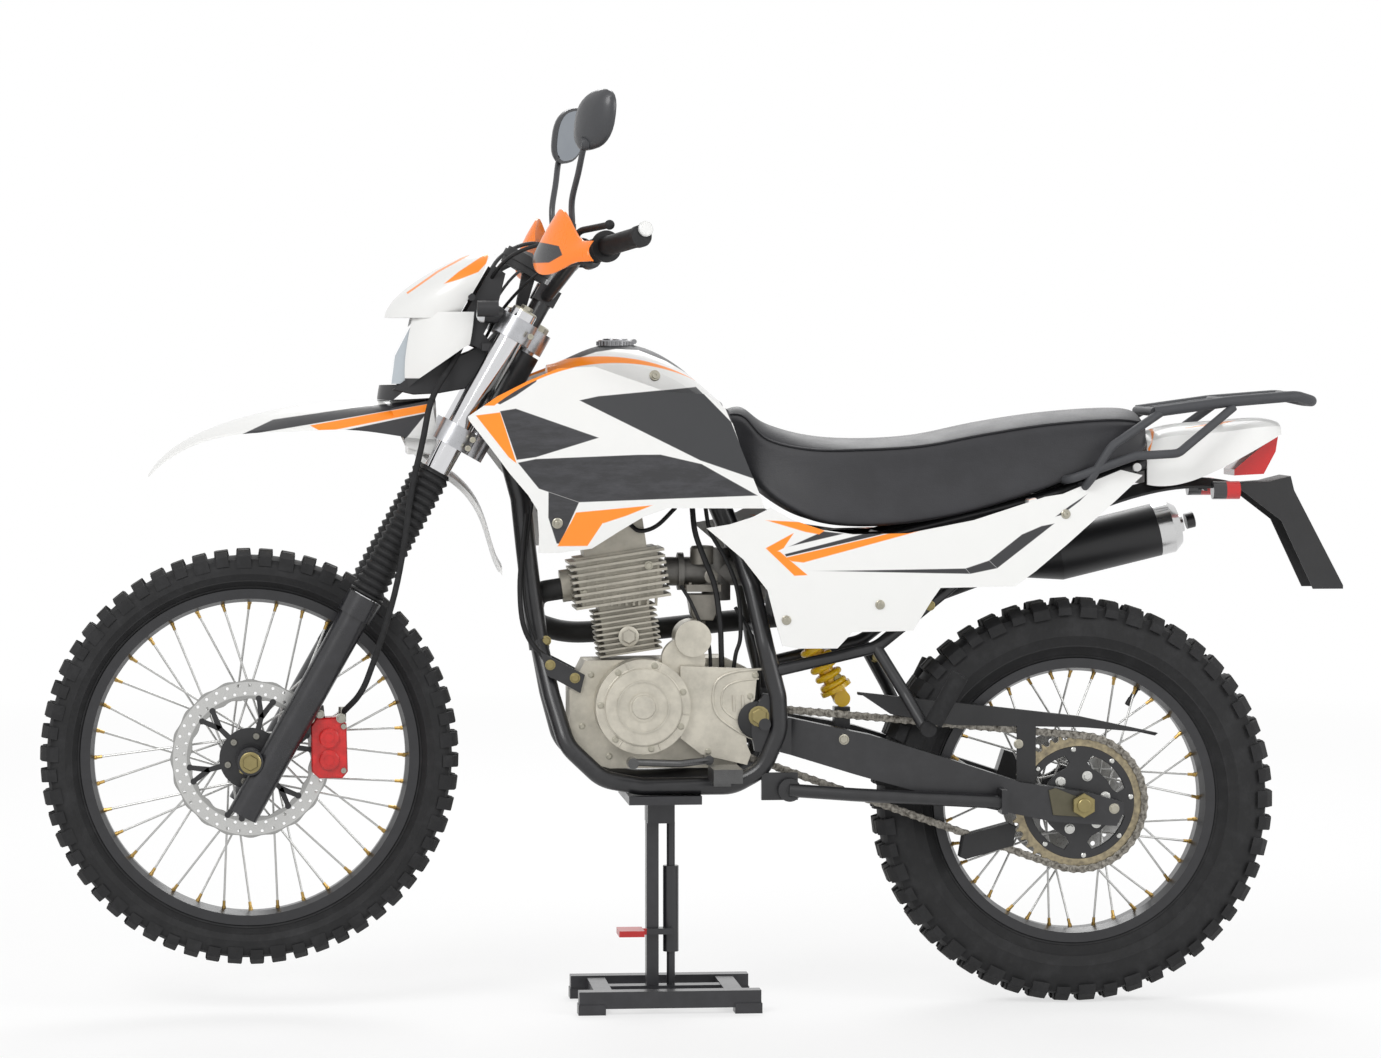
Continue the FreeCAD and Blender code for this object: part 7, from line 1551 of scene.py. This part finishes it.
def build_rear_details():
    """Axle plates on the swingarm, frame bolts, the chain guide and the muffler's outlet."""
    plates = Form()
    for side in (-1, 1):
        y = side_spot("swingarm", 640, 330)[0].y / MM
        low, high = (y - 3, y + 0.2) if side == -1 else (-y - 0.2, -y + 3)
        plates.plate(brought(((592, 352), (604, 356), (652, 336), (656, 306), (600, 310)), 112), low, high,
                     0.8)
    plates.finished("axle_plates", machined(Surface("axle plate zinc"), linear(96, 92, 76), 0.42, 0.7),
                    "chassis", "swingarm")
    bolts = Form()
    for node, x, z in (("subframe", 299, 577), ("rear_shock", 235, 543), ("subframe", 391, 663)):
        bolts.hex_bolt(seen_spot(node, x, z)[0], (0, -1, 0), 0.012)
    bolts.finished("subframe_bolts",
                   machined(Surface("subframe bolt zinc"), tuple(colours().zinc), 0.36,
                            0.85), "chassis", "subframe")
    guide = Form()
    guide.plate([(430, 250), (440, 246), (520, 268), (524, 300), (512, 306), (436, 286)], -80, -52, 1.5)
    guide.finished("chain_guide", textured(Surface("guide plastic"), linear(26, 26, 27)), "chassis",
                   "chain_guard")
    tip = Form()
    slope = math.radians(13.5)
    axis = Vector((math.cos(slope), 0, math.sin(slope)))
    tip.turned([(0.0135, -0.002), (0.0135, 0.012), (0.0115, 0.013), (0.0108, 0.002)],
               Vector((0.852, 0.131, 0.7975)), axis, 20)
    tip.finished("outlet_tip", enamelled(Surface("outlet enamel"), linear(26, 26, 27)), "chassis",
                 "muffler")


class ENDURO_OT_tyres(bpy.types.Operator):
    """Knobbed tyres with brass nipples and valve stems in their wheels"""

    bl_idname = "enduro.tyres"
    bl_label = "Tyres and wheels"

    def execute(self, context):
        for end in WHEELS:
            build_tyre(end)
            build_nipples(end)
        return {"FINISHED"}


class ENDURO_OT_drive(bpy.types.Operator):
    """Chain links and the toothed rear sprocket"""

    bl_idname = "enduro.drive"
    bl_label = "Chain and sprocket"

    def execute(self, context):
        build_chain()
        return {"FINISHED"}


class ENDURO_OT_brakes(bpy.types.Operator):
    """The front brake's wave disc and its carrier"""

    bl_idname = "enduro.brakes"
    bl_label = "Front brake"

    def execute(self, context):
        build_front_disc()
        build_front_caliper()
        return {"FINISHED"}


class ENDURO_OT_seat(bpy.types.Operator):
    """The padded saddle with its piping and seam"""

    bl_idname = "enduro.seat"
    bl_label = "Seat"

    def execute(self, context):
        build_seat()
        return {"FINISHED"}


class ENDURO_OT_fasteners(bpy.types.Operator):
    """Bolts, nuts and screws all over the bike"""

    bl_idname = "enduro.fasteners"
    bl_label = "Fasteners"

    def execute(self, context):
        build_fasteners()
        build_axle_nuts()
        build_fork_details()
        build_fuel_cap()
        build_rear_details()
        return {"FINISHED"}


class ENDURO_OT_engine(bpy.types.Operator):
    """Ribs, plug cap and hoses about the engine"""

    bl_idname = "enduro.engine"
    bl_label = "Engine details"

    def execute(self, context):
        build_engine_covers()
        build_wiring()
        return {"FINISHED"}


class ENDURO_OT_cockpit(bpy.types.Operator):
    """Cables and bar ends"""

    bl_idname = "enduro.cockpit"
    bl_label = "Cockpit details"

    def execute(self, context):
        build_cables()
        build_bar_ends()
        build_guards()
        build_mirrors()
        build_gaiters()
        build_cowl_backing()
        build_hose_ends()
        return {"FINISHED"}


class ENDURO_OT_finishes(bpy.types.Operator):
    """Paint, metal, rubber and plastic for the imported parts"""
    bl_idname = "enduro.finishes"
    bl_label = "Finishes"

    def execute(self, context):
        plain_paints(colours())
        paint_bodywork(colours())
        paint_details(colours())
        return {"FINISHED"}


class ENDURO_OT_studio(bpy.types.Operator):
    """Floor, world, lamps and the camera"""
    bl_idname = "enduro.studio"
    bl_label = "Studio"

    def execute(self, context):
        scene = context.scene
        scene.view_settings.view_transform = "Standard"
        shade = tuple(colours().floor)

        mesh = bpy.data.meshes.new("floor")
        mesh.from_pydata([(-25, -25, 0), (25, -25, 0), (25, 25, 0), (-25, 25, 0)], [], [(0, 1, 2, 3)])
        floor = bpy.data.objects.new("floor", mesh)
        scene.collection.objects.link(floor)
        paint = Surface("floor paint")
        tone = paint.mixed(paint.noise(0.6, 5), shade, grown(shade, 0.98))
        material = paint.finish(tone, paint.wear(0.05) + 0.7)
        glow = paint.node("Emission", values={"Color": (1, 1, 1, 1), "Strength": 1.0})
        seen = paint.node("LightPath", output="Is Camera Ray") | paint.node("LightPath",
                                                                            output="Is Glossy Ray")
        away = paint.node("VectorMath", {"operation": "LENGTH"}, {0: paint.place}, "Value")
        seen = (seen | paint.node("LightPath", output="Is Transmission Ray")) * paint.spread(away, 2.2, 7.0,
                                                                                             0.66, 1.0)
        both = paint.node("MixShader", values={0: seen, 1: Wire(paint, paint.shader.outputs[0]), 2: glow})
        paint.tree.links.new(both.socket, paint.tree.nodes["Material Output"].inputs["Surface"])
        mesh.materials.append(material)

        world = bpy.data.worlds.new("studio")
        world.use_nodes = True
        scene.world = world
        tree = world.node_tree
        seen = tree.nodes.new("ShaderNodeLightPath")
        either = tree.nodes.new("ShaderNodeMath")
        either.operation = "MAXIMUM"
        tree.links.new(seen.outputs["Is Camera Ray"], either.inputs[0])
        tree.links.new(seen.outputs["Is Glossy Ray"], either.inputs[1])
        either_too = tree.nodes.new("ShaderNodeMath")
        either_too.operation = "MAXIMUM"
        tree.links.new(either.outputs[0], either_too.inputs[0])
        tree.links.new(seen.outputs["Is Transmission Ray"], either_too.inputs[1])
        strength = tree.nodes.new("ShaderNodeMapRange")
        strength.inputs["To Min"].default_value = 0.55
        strength.inputs["To Max"].default_value = 1.0
        tree.links.new(either_too.outputs[0], strength.inputs["Value"])
        backdrop = tree.nodes["Background"]
        backdrop.inputs["Color"].default_value = (1, 1, 1, 1)
        tree.links.new(strength.outputs[0], backdrop.inputs["Strength"])

        lamps = (("key", (-3.2, -4.6, 4.6), 3.2, 190), ("fill", (4.4, -3.6, 2.6), 3.0, 90),
                 ("rim", (0.6, 4.2, 4.4), 3.4, 120))
        for name, spot, size, power in lamps:
            light = bpy.data.lights.new(name, "AREA")
            light.shape = "DISK"
            light.size = size
            light.energy = power
            lamp = bpy.data.objects.new(name, light)
            lamp.location = spot
            lamp.rotation_euler = (Vector((0, 0, 0.7)) - Vector(spot)).to_track_quat("-Z", "Y").to_euler()
            scene.collection.objects.link(lamp)

        lens = bpy.data.cameras.new("camera")
        lens.sensor_width = 36
        lens.lens = 122.5
        lens.clip_end = 60
        camera = bpy.data.objects.new("camera", lens)
        camera.location = EYE
        aim = Vector((-0.0105, 0, 0.7925)) - camera.location
        camera.rotation_euler = aim.to_track_quat("-Z", "Y").to_euler()
        scene.collection.objects.link(camera)
        scene.camera = camera
        return {"FINISHED"}


class ENDURO_PT_sidebar(bpy.types.Panel):
    bl_label = "Enduro bike"
    bl_idname = "ENDURO_PT_sidebar"
    bl_space_type = "VIEW_3D"
    bl_region_type = "UI"
    bl_category = "Enduro"

    def draw(self, context):
        for kind in OPERATORS:
            self.layout.operator(kind.bl_idname)
        for group in (context.scene.enduro_colours, context.scene.enduro_sizes):
            for name in group.bl_rna.properties.keys():
                if name not in {"rna_type", "name"}:
                    self.layout.prop(group, name)


OPERATORS = (ENDURO_OT_studio, ENDURO_OT_finishes, ENDURO_OT_seat, ENDURO_OT_tyres, ENDURO_OT_drive,
             ENDURO_OT_brakes, ENDURO_OT_fasteners, ENDURO_OT_engine, ENDURO_OT_cockpit)
CLASSES = (EnduroColours, EnduroSizes) + OPERATORS + (ENDURO_PT_sidebar,)


def register():
    for kind in CLASSES:
        bpy.utils.register_class(kind)
    bpy.types.Scene.enduro_colours = PointerProperty(type=EnduroColours)
    bpy.types.Scene.enduro_sizes = PointerProperty(type=EnduroSizes)


def unregister():
    del bpy.types.Scene.enduro_sizes
    del bpy.types.Scene.enduro_colours
    for kind in reversed(CLASSES):
        bpy.utils.unregister_class(kind)


def main():
    register()
    for kind in OPERATORS:
        group, name = kind.bl_idname.split(".")
        getattr(getattr(bpy.ops, group), name)()


if __name__ == "__main__":
    main()
